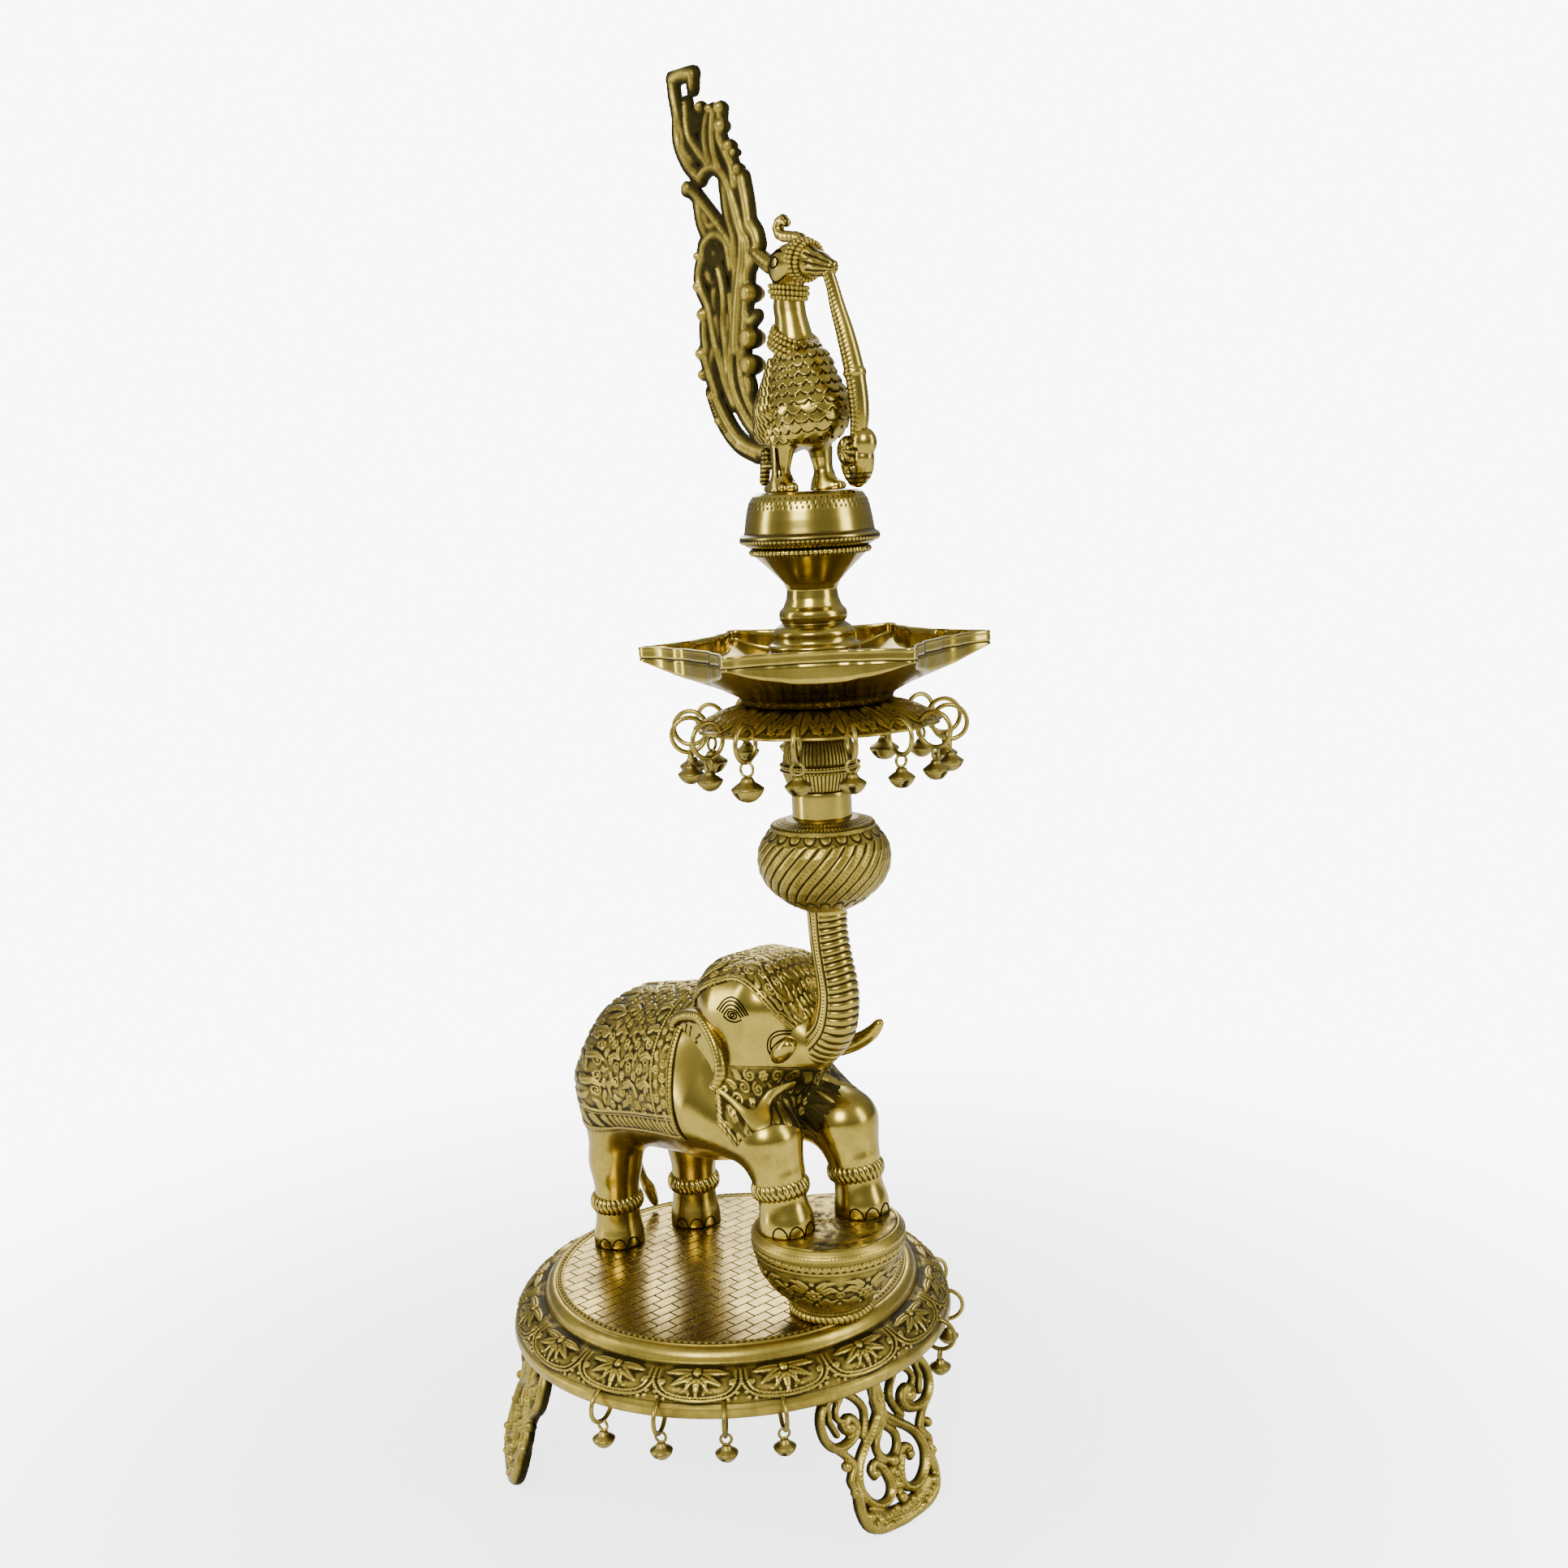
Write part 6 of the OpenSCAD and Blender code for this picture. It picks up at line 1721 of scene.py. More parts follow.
def dish():
    """The lamp dish: foot, sloping bowl cut to the spouted outline, upright wall with a turned line,
    rolled rim, and
    inside it the boss that carries the cup."""
    n = 600
    a = np.linspace(0, TAU, n, endpoint=False)
    reach = dish_reach(a)[None, :]

    def bowl(r, lift=0.0):
        return np.interp(r, [33, 34.5, 44, 60, 80], [388.4, 391.2, 396.2, 402.6, 410.5]) + lift

    rows, shade = [], []

    def row(r, z, dark=0.0):
        rows.append((r + 0 * reach, z + 0 * reach))
        shade.append(dark)

    for r, z in ((30, 388.3), (33.2, 388.3), (34.3, 388.9), (34.6, 390.4), (35.4, 391.6)):
        row(r, z, 0.3)
    for r in np.linspace(37, 44, 5):
        row(r, bowl(r), 0.1)
    for s in np.linspace(0.06, 1, 18):
        r = 44 + (reach - 44.4) * s
        row(r, bowl(r), 0.02)
    for s in np.linspace(0.1, 1, 6):
        row(reach, bowl(reach) + (410.4 - bowl(reach)) * s)
    row(reach - 0.35, 410.7, 0.8)
    row(reach - 0.35, 411.1, 0.8)
    for z in np.linspace(411.4, 414.6, 5):
        row(reach + 0.0, z)
    for r, z in ((0.15, 415.2), (0.05, 415.8), (-0.5, 416.0), (-1.2, 416.0), (-1.7, 415.6)):
        row(reach + r, z, -0.2)
    for s in np.linspace(0.05, 1, 6):
        inner = reach - 2.0
        row(inner, 415.2 + (bowl(inner, 2.6) - 415.2) * s, 0.05)
    for s in np.linspace(0.05, 1, 16):
        r = (reach - 2.2) + (34 - reach + 2.2) * s
        row(r, bowl(r, 2.4) + 0 * reach, 0.12)
    for r, z in ((31, 390.8), (26, 390.7), (23.5, 391.2), (22, 393), (21.4, 398), (21.2, 406), (21.0, 410),
                 (20.2, 411.3), (18, 411.5)):
        row(r, z, 0.15)
    r = np.concatenate([k[0] for k in rows])
    z = np.concatenate([k[1] for k in rows])
    dent = 0.18 * np.sin(a * 5 + z * 0.21)[None] * np.clip((r - 36) / 8, 0, 1)
    r = r + dent[0] * 0.6
    points = np.stack([POST_X + r * np.cos(a), r * np.sin(a), z], axis=-1)
    ends = np.array([[POST_X, 0, 388.3], [POST_X, 0, 411.5]])
    points = np.vstack([points.reshape(-1, 3), ends])
    count = len(rows)
    faces = [lattice(count, n), fan(0, n, count * n, False), fan((count - 1) * n, n, count * n + 1)]
    depth = np.repeat(np.array(shade)[:, None], n, axis=1)
    solid("lamp_dish_spouted", points, faces, "dish", polished, ["lamp_dish"],
          np.concatenate([depth.ravel(), [0.5, 0.2]]))


def stem_cup():
    """The cup between dish and dome: a waisted stem, a round cup and a bead ring under its rim."""
    profile, _ = spaced_profile([(20.4, 411.8), (20.8, 412.4), (20.6, 413.6), (18.5, 414.9), (18.2, 416.6),
                                 (18.3, 419.4), (16.6, 421.5),
                                 (13.9, 423.4), (15.0, 424.6), (15.3, 426.8), (14.9, 428.6), (13.1, 430.6),
                                 (11.7, 434), (11.2, 438),
                                 (12.4, 441), (16.2, 445.2), (21.2, 450.0), (24.6, 453.2)], 74)
    beads_row, _ = spaced_profile([(25.0, 453.5), (25.9, 453.8), (26.6, 454.8), (26.6, 455.8), (26.0, 456.5)],
                                  12)
    n = 360
    a = np.linspace(0, TAU, n, endpoint=False)[None, :]
    ball = np.abs(np.sin(a * 40)) ** 0.8
    lift = np.zeros((86, n))
    depth = np.zeros((86, n))
    bump = np.sin(np.linspace(0, np.pi, 12))[:, None]
    lift[74:] = 0.7 * bump * ball
    depth[74:] = 0.85 - 1.4 * ball * bump
    depth[17:22] += 0.3
    points, faces, hollow = closed_turned((POST_X, 0), np.vstack([profile, beads_row]), n, lift, depth)
    solid("stem_cup_beaded", points, faces, "finial", polished, ["stem_cup"], hollow)


def dome():
    """The dome: a beaded flange, a polished round body and rows of small punch marks near its top."""
    flange, _ = spaced_profile([(26.4, 456.8), (28.2, 457.8), (30.6, 459.6), (31.1, 460.6), (31.0, 461.8),
                                (29.6, 462.8)], 22)
    body, _ = spaced_profile([(29.0, 463.2), (28.6, 465.6), (28.1, 469), (27.3, 473.2), (26.3, 476.8),
                              (24.4, 479.6), (22, 480.9),
                              (8, 481.0), (0.6, 481.0)], 96)
    n = 420
    a = np.linspace(0, TAU, n, endpoint=False)[None, :]
    lift = np.zeros((118, n))
    depth = np.zeros((118, n))
    ball = np.abs(np.sin(a * 46)) ** 0.8
    bump = np.sin(np.linspace(0, np.pi, 9))[:, None]
    lift[7:16] = 0.5 * bump * ball
    depth[7:16] = 0.8 - 1.3 * ball * bump
    depth[19:24] += 0.4
    row = np.arange(118)[:, None]
    for first, number, turn in ((48, 60, 0), (53, 60, 0.5), (58, 60, 0)):
        mark = np.exp(-((row - first) / 1.5) ** 2) * np.clip(np.cos(a * number + turn * np.pi) * 2.2 - 1.1, 0,
                                                             1)
        lift -= 0.22 * mark
        depth += 0.8 * mark
    points, faces, hollow = closed_turned((POST_X, 0), np.vstack([flange, body]), n, lift, depth)
    solid("dome_polished", points, faces, "finial", polished, ["peacock_dome"], hollow)


melon_bulb()
neck_sleeve()
ribbed_knob()
canopy()
hanging_rings((0, 0), RIM_BELL_R, RIM_BELLS, LIP_Z, "rim_wire_rings", "stand", "base_bell_rings")
hanging_rings((POST_X, 0), CANOPY_BELL_R, CANOPY_BELLS, CANOPY_RIM_Z, "canopy_wire_rings", "umbrella",
              "umbrella_bell_rings")
bells()
dish()
stem_cup()
dome()


# ---- the peacock
def scales(points, normals, centre):
    """Feather scales on the breast: rows of half-round tips going down, every other row half a scale
    across. The
    height rises along each scale to its tip and drops to the next row."""
    away = points - centre
    a = np.arctan2(away[:, 1], away[:, 0])
    row = (545.5 - points[:, 2] + 1.4 * np.sin(a)) / 3.9
    k = np.floor(row)
    f = row - k
    across = a * 3.66 + 0.5 * (k % 2)
    u = np.abs((across % 1.0) - 0.5) * 2
    tip = 0.95 - 0.52 * u ** 2.2
    over = f < tip
    g = np.where(over, f / tip, (f - tip) / (1 - tip + 1e-6))
    height = np.where(over, 0.10 + 0.75 * g ** 1.3, 0.05 * g)
    edge = np.clip(1.25 - np.abs(f - tip - 0.10) / 0.15, 0, 1)
    return height - 0.30 * edge, edge


def peacock():
    """The cast bird: breast, haunch, neck, head, banded beak, crest ribbon, folded wings, legs and
    webbed feet."""
    px = POST_X
    parts = [("limb", ((px + 4, 0, 517), (px + 1.0, 0, 531.5), 18.0, 13.2), 0),
             ("limb", ((px - 9, 0, 511), (px - 2, 0, 530), 12, 12), 6),
             ("limb", ((px - 14, 0, 505), (px - 19, 0, 505), 8, 6), 5),
             ("limb", ((px - 3.0, 0, 538), (px - 6.4, 0, 560), 9.8, 6.4), 3),
             ("limb", ((px - 6.4, 0, 560), (px - 6, 0, 573), 6.6, 6.6), 2)]
    for s in (-1, 1):
        parts += [("limb", ((px - 12, s * 12.2, 507), (px - 9.5, s * 13.2, 516), 5.8, 6.4), 0.8),
                  ("limb", ((px - 9.5, s * 13.2, 516), (px - 7.4, s * 11.4, 537), 6.4, 1.8), 0.8),
                  ("limb", ((px - 3 + s * 1, s * 9.5, 505), (px - 3 + s * 2, s * 10.8, 490), 6.4, 3.9), 3),
                  ("limb", ((px - 3 + s * 2, s * 10.8, 490), (px - 2 + s * 2, s * 11, 481.6), 3.9, 7.0), 1),
                  ("limb", ((px - 3 + s * 2, s * 11, 483.5), (px + 5 + s * 2, s * 11.6, 482.6), 4.8, 2.6), 2),
                  ("limb", ((px - 2 + s * 2, s * 11, 483.2), (px + 3 + s * 2, s * 16, 482.6), 4.0, 2.2), 1),
                  ("limb", ((px - 4 + s * 2, s * 11, 483.2), (px - 9 + s * 2, s * 13, 482.4), 4.4, 2.2), 1.5),
                  ("limb", ((px - 3, s * 3.5, 578), (px - 1, s * 2.5, 578.5), 7.2, 7.0), 2)]
    parts += [("limb", ((px - 6, 0, 576.5), (px - 1.5, 0, 579), 8.2, 7.6), 3),
              ("limb", ((px + 2, 0, 579.2), (px + 6.5, 0, 578.2), 7.6, 7.2), 1.0),
              ("limb", ((px + 8, 0, 577.2), (px + 14, 0, 575.8), 6.2, 5.2), 1.0),
              ("limb", ((px + 14, 0, 575.8), (px + 20.4, 0, 573.9), 5.2, 3.5), 1.0)]
    crest = flowing([(px + 7, 0, 584.6, 2.2), (px + 2, 0, 588.2, 2.4), (px - 4, 0, 589.4, 2.4),
                     (px - 9.6, 0, 590.8, 2.6),
                     (px - 11.2, 0, 594.6, 2.4), (px - 8.4, 0, 597.2, 2.3), (px - 5.6, 0, 595.4, 2.0)], 12)
    crest_parts = limb_chain(crest, 0.6)
    hackle = flowing([(px - 11, 0, 577.5, 4.2), (px - 17, 0, 579.2, 4.0), (px - 22, 0, 582.4, 3.6),
                      (px - 27, 0, 586, 3.0)], 7)
    crest_parts += limb_chain(hackle, 1.0)
    tuft = [("limb", ((px - 7, -11, 494), (px - 15, -10.5, 492), 1.8, 2.2), 1.0),
            ("limb", ((px - 14, -10.5, 498), (px - 17, -10, 486), 2.6, 2.2), 1.0)]
    parts += crest_parts + tuft
    parts += [level_cut(481.0)]
    points, quads, field, origin = cast((52, -24, 480), (108, 24, 602), BIRD_STEP, parts)
    normal = outward(points, quads)
    lift, edge = scales(points, normal, np.array([px - 4.0, 0, 0]))
    x, y, z = points.T
    wing = np.full(len(points), 9.0)
    for s in (-1, 1):
        wing = np.minimum(wing, limb_gap(points, (px - 12, s * 12.2, 507), (px - 9.5, s * 13.2, 516), 5.8,
                                         6.4))
        wing = np.minimum(wing, limb_gap(points, (px - 9.5, s * 13.2, 516), (px - 7.4, s * 11.4, 537), 6.4,
                                         1.8))
    on_breast = np.clip((wing - 0.3) / 0.5, 0, 1) * np.clip((x - px + 9.5) / 2.0, 0,
                                                            1) * np.clip((547 - z) / 1.5, 0,
                                                                         1) * np.clip((z - 500.5) / 1.5, 0, 1)
    on_breast *= np.clip((x - px + 3.0) * 0.48 + 542.4 - z, 0, 1)
    points = points + normal * (lift * on_breast)[:, None]
    hollow = (1.25 * edge - 0.12) * on_breast
    on_wing = np.clip(1 - wing / 0.5, 0, 1) * (np.abs(y) > 6)
    hatch = 0.5 + 0.5 * np.cos(3.6 * (x + 0.30 * (z - 516)) + 1.6 * np.sign(np.sin(z * 0.8)))
    points = points - normal * (0.42 * hatch * on_wing)[:, None]
    hollow += on_wing * (hatch * 0.95 - 0.15)
    beak = np.clip((x - px - 9.5) / 0.8, 0, 1) * (z > 566) * (np.abs(y) < 8)
    angle = np.arctan2(y, z - (577.4 - (x - px - 8) * 0.28))
    groove = np.exp(-((np.abs(np.mod(angle / 0.62, 1.0) - 0.5) / 0.16) ** 2))
    points = points - normal * (0.55 * groove * beak)[:, None]
    hollow += groove * beak
    ribbon = np.full(len(points), 9.0)
    for _, numbers, _ in crest_parts:
        ribbon = np.minimum(ribbon, limb_gap(points, *numbers))
    on_crest = np.clip(1 - ribbon / 0.6, 0, 1) * (z > 572)
    stripe = np.exp(-((np.abs(np.abs(y) - 1.2)) / 0.35) ** 2)
    hollow += on_crest * stripe * 0.9
    fine = 0.5 + 0.5 * np.cos(x * 4.6 + z * 1.0)
    hollow += on_crest * (x < px - 10) * (z < 590) * fine * 0.55
    tail_tuft = np.clip(1 - np.minimum(limb_gap(points, *tuft[0][1]), limb_gap(points, *tuft[1][1])) / 0.6, 0,
                        1)
    hollow += tail_tuft * (0.5 + 0.5 * np.cos(z * 3.4)) * 0.8
    # painted shade: the bottom of the body between the legs is darkened, more the lower it lies
    hollow += 0.35 * np.clip((506 - z) / 8, 0, 1) * (np.abs(y) < 9) * (z > 495)
    solid("peacock_figure", points, [quads], "finial", figure, ["peacock_body"],
          np.clip(hollow, -1, 1))
    collars(field, origin)


def bead_rope(centre, tilt, rx, ry, beads_n, r, lift=0.0):
    """A ring of half-sunk balls with a fine line either side, on an oval tilted about the cross axis."""
    a = np.linspace(0, TAU, beads_n * 6, endpoint=False)[:, None]
    b = np.linspace(0, TAU, 8, endpoint=False)[None, :]
    ball = np.abs(np.sin(a * beads_n / 2)) ** 0.6
    wire = r * (0.62 + 0.38 * ball)
    x = (rx + wire * np.cos(b)) * np.cos(a)
    y = (ry + wire * np.cos(b)) * np.sin(a)
    z = wire * np.sin(b) + lift
    c, s = np.cos(tilt), np.sin(tilt)
    points = np.stack([centre[0] + c * x + s * z, centre[1] + y, centre[2] - s * x + c * z],
                      axis=-1).reshape(-1, 3)
    hollow = np.clip(0.75 - 1.2 * ball + 0 * b, -0.5, 0.9)
    return points, [lattice(len(a), 8, loop=True)[:, ::-1]], hollow


def collars(field, origin):
    """The beaded bands of the bird: a tilted collar at the root of the neck, one under the chin, and the
    band
    round the root of the beak; with them the engraved eye and cheek."""
    px = POST_X
    sets = [bead_rope((px - 2.0, 0, 540.6), 0.50, 13.3, 12.8, 34, 1.45),
            bead_rope((px - 2.5, 0, 543.2), 0.50, 12.4, 11.9, 34, 1.45),
            bead_rope((px - 3.0, 0, 545.8), 0.50, 11.3, 10.8, 34, 1.35),
            bead_rope((px - 3.4, 0, 548.0), 0.50, 10.2, 9.9, 30, 1.2),
            bead_rope((px - 6.2, 0, 564.0), 0.16, 7.4, 7.4, 28, 1.15),
            bead_rope((px - 6.2, 0, 566.2), 0.16, 8.0, 8.0, 28, 1.35),
            bead_rope((px - 6.1, 0, 568.5), 0.16, 8.1, 8.1, 28, 1.2),
            bead_rope((px + 4.4, 0, 578.6), 1.80, 8.4, 8.5, 28, 1.5),
            bead_rope((px + 7.4, 0, 577.9), 1.80, 7.9, 8.0, 28, 1.3),
            bead_rope((px + 1.8, 0, 579.2), 1.80, 8.2, 8.4, 28, 1.1)]
    points, faces, hollow = joined(sets)
    solid("peacock_collars", points, faces, "finial", chased, (), hollow)
    lines = []
    for s in (-1, 1):
        lines.append([(px - 6.4, s * 9, 577.0), (px - 5.2, s * 10, 579.4), (px - 3.0, s * 10, 580.2),
                      (px - 1.2, s * 10, 578.6),
                      (px - 2.2, s * 10, 576.6), (px - 4.4, s * 10, 576.0), (px - 6.4, s * 9, 577.0)])
        lines.append([(px - 7.2, s * 9, 580.4), (px - 4.2, s * 9, 582.6), (px - 1.2, s * 8, 583.0)])
        lines.append([(px - 5.6, s * 9, 580.8), (px - 3.4, s * 9, 582.0), (px - 0.4, s * 8, 581.8)])
        lines.append([(px - 12.0, s * 6, 580), (px - 12.2, s * 7, 575), (px - 10.4, s * 8, 571.4),
                      (px - 6.8, s * 8.4, 569.8),
                      (px - 2.8, s * 8, 570.4), (px - 0.4, s * 7, 572.6)])
        for dy in (-0.9, 0.9):
            lines.append([(px - 1.0 + s * 2, s * 14 + dy, 500), (px - 1 + s * 2, s * 14 + dy, 493),
                          (px - 0.4 + s * 2, s * 14 + dy, 487)])
    engraved(lines, field, origin, BIRD_STEP, "peacock_engraving", "finial")


def garland():
    """The garland: a half-round ribbon with a dotted border from beak to flower, with a scroll and stalk
    below."""
    px = POST_X
    line = flowing([(px + 19.4, -0.6, 572, 2.8), (px + 20.4, 1, 565, 2.9), (px + 21.6, 2.2, 557, 3.4),
                    (px + 25, 3, 545, 4.0), (px + 28.4, 4, 529, 4.4),
                    (px + 29.2, 5, 514, 4.2), (px + 27.6, 5.2, 503, 3.6)], 170)
    path, radii = line[:, :3], line[:, 3]
    a = np.linspace(0, TAU, 40, endpoint=False)[None, :]
    run = np.linspace(0, 71, 170)[:, None]
    edge = np.exp(-((np.abs(np.sin(a)) - 0.95) / 0.10) ** 2)
    bead = 0.45 * edge * np.abs(np.sin(run * np.pi / 1.9))
    cut = np.exp(-((np.mod(a - 0.85, TAU) - 0.25) / 0.12) ** 2)
    cut = cut + np.exp(-((np.mod(a + 0.85, TAU) - TAU + 0.25) / 0.12) ** 2)
    knot = 0.7 * np.exp(-((run - 44) / 1.4) ** 2)
    stem, faces = worked_tube(path, radii, bead - 0.35 * cut + knot, 40)
    sets = [(stem, faces, np.concatenate([(cut * 0.9 + edge * 0.6 - bead).ravel(), [0, 0]]))]
    # the flower scroll as a small cast figure
    f = np.array([px + 26.5, 5.2, 497.0])
    parts = [("egg", (tuple(f + [3.4, 0.6, 3.4]), (6.4, 5.4, 6.6)), 0),
             ("egg", (tuple(f + [-3, -2.4, 0]), (5.0, 4.8, 6.8)), 0.6)]
    for k in range(9):
        t = TAU * k / 9
        spot = f + np.array([-1.6 + 2.8 * np.cos(t) * 0.7, -5.4, 0.6 + 4.2 * np.sin(t)])
        parts.append(("egg", (tuple(spot), (1.35, 1.5, 1.7)), 0.3))
    parts.append(("egg", (tuple(f + [-1.6, -6.2, 0.6]), (1.7, 1.4, 1.9)), 0.2))
    scroll = flowing([(*(f + [3.5, 0.5, -3]), 4.6), (*(f + [1.2, 2.2, -9]), 3.8),
                      (*(f + [-4.6, 3.6, -12.4]), 3.2), (*(f + [-8.6, 3.2, -9.0]), 2.6),
                      (*(f + [-8.8, 1.6, -4.4]), 2.2), (*(f + [-6.0, 0.4, -3.2]), 1.8)], 12)
    parts += limb_chain(scroll, 0.8)
    parts.append(level_cut(481.4))
    points, quads, _, _ = cast((px + 12, -6, 480), (px + 38, 16, 510), BIRD_STEP, parts)
    spread = np.hypot(points[:, 0] - f[0] + 1.6, points[:, 2] - f[2] - 0.6)
    petal = (spread < 6.2) & (points[:, 1] < 2.5)
    rays = 0.5 + 0.5 * np.cos(9 * np.arctan2(points[:, 2] - f[2] - 0.6, points[:, 0] - f[0] + 1.6))
    stripes = 0.5 * (points[:, 2] < 489) * (np.sin(points[:, 2] * 3.2) > 0.3)
    sets.append((points, [quads], np.where(petal, 0.75 * rays - 0.1, 0.0) + stripes))
    points, faces, hollow = joined(sets)
    solid("beak_garland_ribbon", points, faces, "finial", figure, ["beak_garland"], hollow)


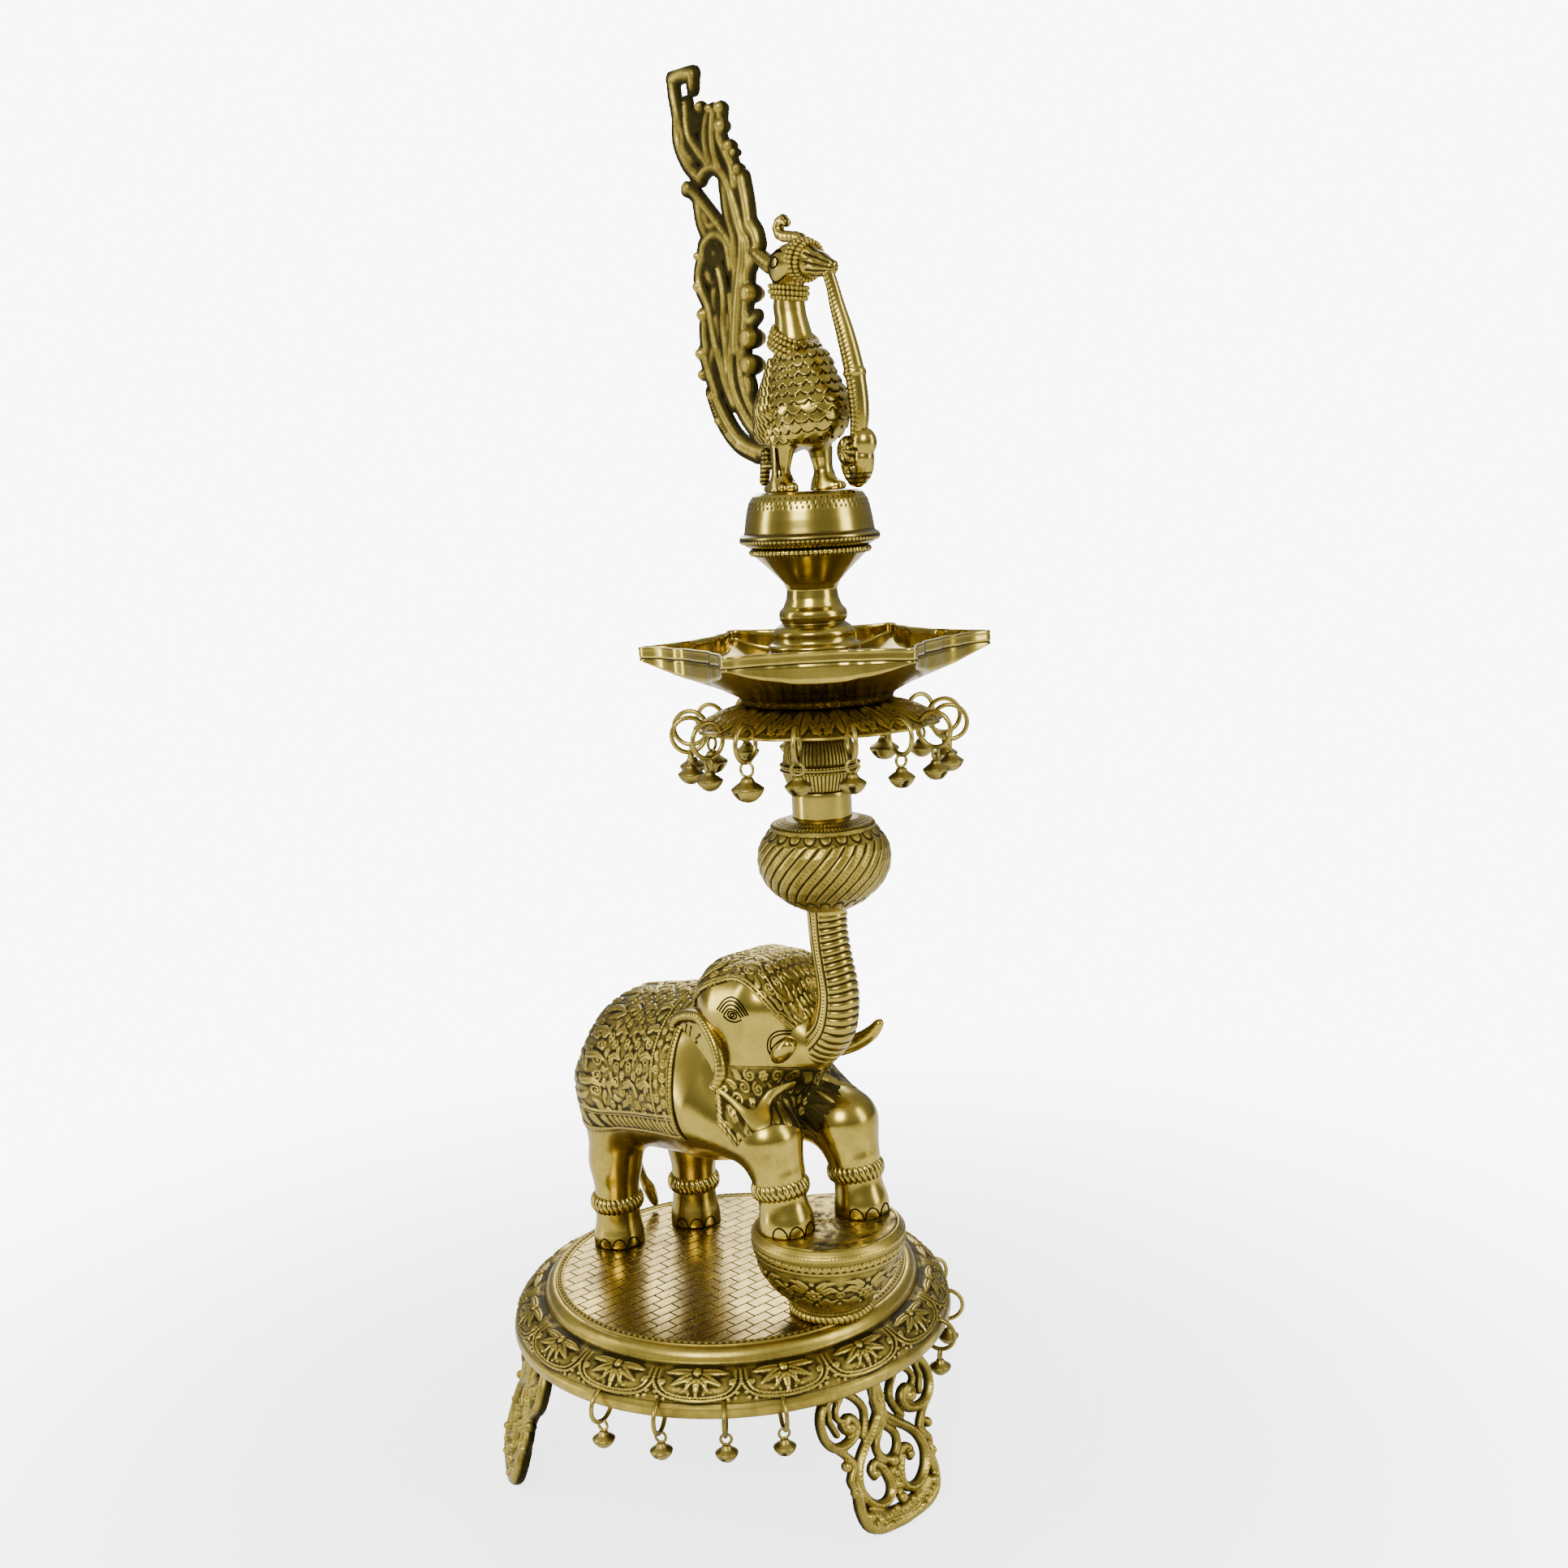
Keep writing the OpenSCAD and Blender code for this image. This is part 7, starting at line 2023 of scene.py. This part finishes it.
def tail_fan():
    """The openwork tail in the plane of the bird: beaded stems, curls, leaves and buds, round bars fused
    together."""
    parts = []

    def bar(line, r0, r1=None, soft=0.7, n=None, w=0.0):
        line = flowing([(x, 0, z) for x, z in line], n or max(6, 4 * len(line)))
        radii = np.linspace(r0, r1 or r0, len(line))
        for a, b, ra, rb in zip(line[:-1], line[1:], radii[:-1], radii[1:]):
            parts.append(("limb", ((a[0], w, a[2]), (b[0], w, b[2]), ra, rb), soft))
        return line

    def ball(x, z, r, w=0.0):
        parts.append(("egg", ((x, w, z), (r, r, r)), 0.3))

    def string(line, r=0.72, pitch=1.55, w=2.3):
        count = max(3, int(np.sum(np.linalg.norm(np.diff(line, axis=0), axis=1)) / pitch))
        for x, _, z in along(line, count):
            ball(x, z, r, -w)
            ball(x, z, r, w)

    def beaded(line, r0, r1=None, **more):
        string(bar(line, r0, r1, **more))

    def spiral(x, z, r, turns=1.6, start=0.0, hand=1, thick=1.3):
        c = curl(x, z, r, turns, start, hand, 0.2)
        bar([tuple(k) for k in c], thick, thick * 0.8, 0.3, n=len(c))
        ball(x, z, thick * 1.2)

    beaded([(39.5, 569), (40, 555), (37.2, 538), (38.9, 526), (46.5, 513.8), (57, 504.5), (66, 501)], 2.3,
           2.8)
    beaded([(43.6, 545), (43.9, 533), (47.2, 523), (52.3, 515.3), (58, 509.5), (68, 506)], 2.2, 2.6)
    beaded([(24.3, 527), (30.8, 515.6), (40.1, 504.9), (53.8, 499.4), (67, 500)], 2.5, 2.9)
    beaded([(21.5, 527.5), (27.8, 514), (38.6, 502.6), (52, 496.8)], 1.6, 1.8)
    beaded([(18.6, 546), (22.2, 535), (26, 526)], 2.4)
    beaded([(22.4, 622.6), (28, 625.6), (34, 624.8), (39.4, 619.5), (45.4, 606.7), (49, 593.8), (48.6, 585),
            (45.4, 572), (43, 558.8), (41, 545)], 2.3, 3.0)
    bar([(43, 612), (47, 598), (52.5, 590), (51.5, 578), (49.5, 566), (47.5, 553), (46, 541)], 2.6, 2.4)
    bar([(38.5, 617), (40, 604), (43.6, 592), (43.6, 581), (42, 568)], 2.0, 2.2)
    beaded([(6.4, 667), (6.9, 661), (8.8, 650.7), (8.6, 640), (14.2, 629.2), (22.4, 621.7)], 2.2, 2.4)
    beaded([(15.4, 655.5), (15.6, 643.2), (20.6, 635.4), (28, 627.6)], 2.0, 2.2)
    bar([(9, 652), (12, 642), (12.6, 636), (18, 630)], 1.9)
    bar([(6.6, 667.6), (13, 668.4), (20.6, 667.0)], 2.6, 2.6)
    bar([(20.4, 667.0), (20.2, 660.8)], 2.4, 1.9)
    spiral(22.0, 646.5, 3.9, 1.6, 0.6, 1)
    bar([(29.6, 648.5), (27.2, 640), (28.0, 632.6), (31, 626)], 1.9, 2.1)
    bar([(34, 649), (32.6, 640), (33, 632), (36, 624)], 2.2, 2.4)
    for x, z, r in ((25.1, 652.2, 2.8), (31.4, 650.4, 2.4), (38.6, 649.5, 3.2), (38.6, 641.8, 3.7),
                    (43.4, 632.6, 3.1), (48.4, 622.2, 2.7), (46.6, 629.4, 2.2)):
        ball(x, z, r)
        ball(x, z, r * 0.8, 1.4)
        ball(x, z, r * 0.8, -1.4)
    bar([(38.6, 647), (37, 638), (40.6, 631), (44.5, 624), (46, 616)], 2.2, 2.6)
    bar([(50.6, 617.5), (52.6, 608), (53.8, 598.5)], 2.9, 2.6)
    bar([(53.8, 598), (57.6, 593.6), (59.2, 588.6)], 3.0, 2.6)
    beaded([(12.6, 618.6), (17.5, 616.1), (28.2, 605.5), (36.2, 597.3), (42, 589.4), (43.0, 581)], 2.2, 2.0)
    ball(12.8, 619.0, 3.1)
    bar([(20, 613.6), (21.4, 604), (24, 598)], 2.3, 2.2)
    bar([(24, 606), (27, 600.5), (33, 601.5)], 2.0)
    bar([(40.4, 580.5), (38, 592), (30, 596.6), (22.6, 593), (21.4, 587)], 2.2)
    spiral(29.6, 588.4, 5.0, 1.5, 1.2, -1, 1.6)
    beaded([(21.4, 588), (18.4, 581), (18.8, 574), (23.4, 566), (25.6, 556.5), (27.2, 548), (30.9, 538),
            (33, 531), (38, 521)], 2.2, 2.4)
    beaded([(32.2, 581), (34.2, 573.2), (34.6, 564.5), (33.6, 557), (34.6, 546), (35, 536)], 2.1, 2.4)
    for x, z, r in ((18.4, 588.4, 2.6), (17.4, 575.0, 3.2), (19.6, 562.4, 3.6), (16.9, 545.2, 3.4),
                    (17.4, 535.6, 3.0), (23.2, 525.8, 2.8),
                    (26.8, 514.2, 2.6), (40.2, 502.6, 2.2), (33.6, 507.6, 1.8)):
        ball(x, z, r)
        ball(x, z, r * 0.66, 1.9)
        ball(x, z, r * 0.66, -1.9)
    spiral(24.6, 551.4, 3.9, 1.5, 2.2, 1, 1.4)
    bar([(20.5, 558.5), (20.0, 552), (21, 546)], 2.2)
    for line in ([(25.6, 546), (23.6, 540), (25, 534)], [(29.6, 545), (30.6, 537), (28.6, 530)],
                 [(33, 541), (35, 532), (33.6, 524)],
                 [(29, 560), (30, 553), (28, 547)], [(37.6, 560), (36.6, 552), (37.6, 545)],
                 [(28.6, 572), (28, 565), (30.6, 559)],
                 [(24.5, 580), (27.5, 575.5), (31.5, 577)]):
        bar(line, 2.3, 1.0)
    for x, z, r in ((53.0, 568.4, 4.6), (51.6, 549.2, 5.0), (51.0, 537.6, 4.8)):
        for w in (-1.6, 0, 1.6):
            ball(x, z, r - 0.3 * abs(w), w)
    bar([(48.6, 560), (51.6, 556.6), (55.8, 558.4)], 2.6, 1.8)
    bar([(46, 572), (50.6, 577.4), (54.6, 582), (58, 588)], 2.4)
    bar([(47.4, 531.6), (49.2, 527.6), (47.2, 522.6)], 2.6, 1.4)
    bar([(62, 503), (71.4, 505)], 4.2, 4.6)
    bars = [(np.array(p[1][0]), np.array(p[1][1]), p[1][2], p[1][3]) for p in parts if p[0] == "limb"]

    def web(p, d):
        """The plate that joins the bars: everything within two millimetres of a bar's edge, 3.2 mm
        thick."""
        flat = p * [1, 0, 1]
        near = np.full(p.shape[:-1], 9.0)
        for a, b, ra, rb in bars:
            near = np.minimum(near, limb_gap(flat, a * [1, 0, 1], b * [1, 0, 1], ra + 1.5, rb + 1.5))
        return np.minimum(d, np.maximum(near, np.abs(p[..., 1]) - 1.5))

    parts.append(("plane", web, 0))
    points, quads, _, _ = cast((2, -4.2, 492), (78, 4.2, 673), OPENWORK_STEP, parts, 1)
    depth = np.clip(1.15 - 0.44 * np.abs(points[:, 1]), -0.4, 0.95) * (points[:, 0] < 68)
    points = points * [1, 1.05, 1]
    points[:, 2] = np.minimum(points[:, 2], 670.9)
    solid("peacock_tail_scrollwork", points, [quads], "finial", openwork, ["peacock_tail"],
          depth)


peacock()
garland()
tail_fan()
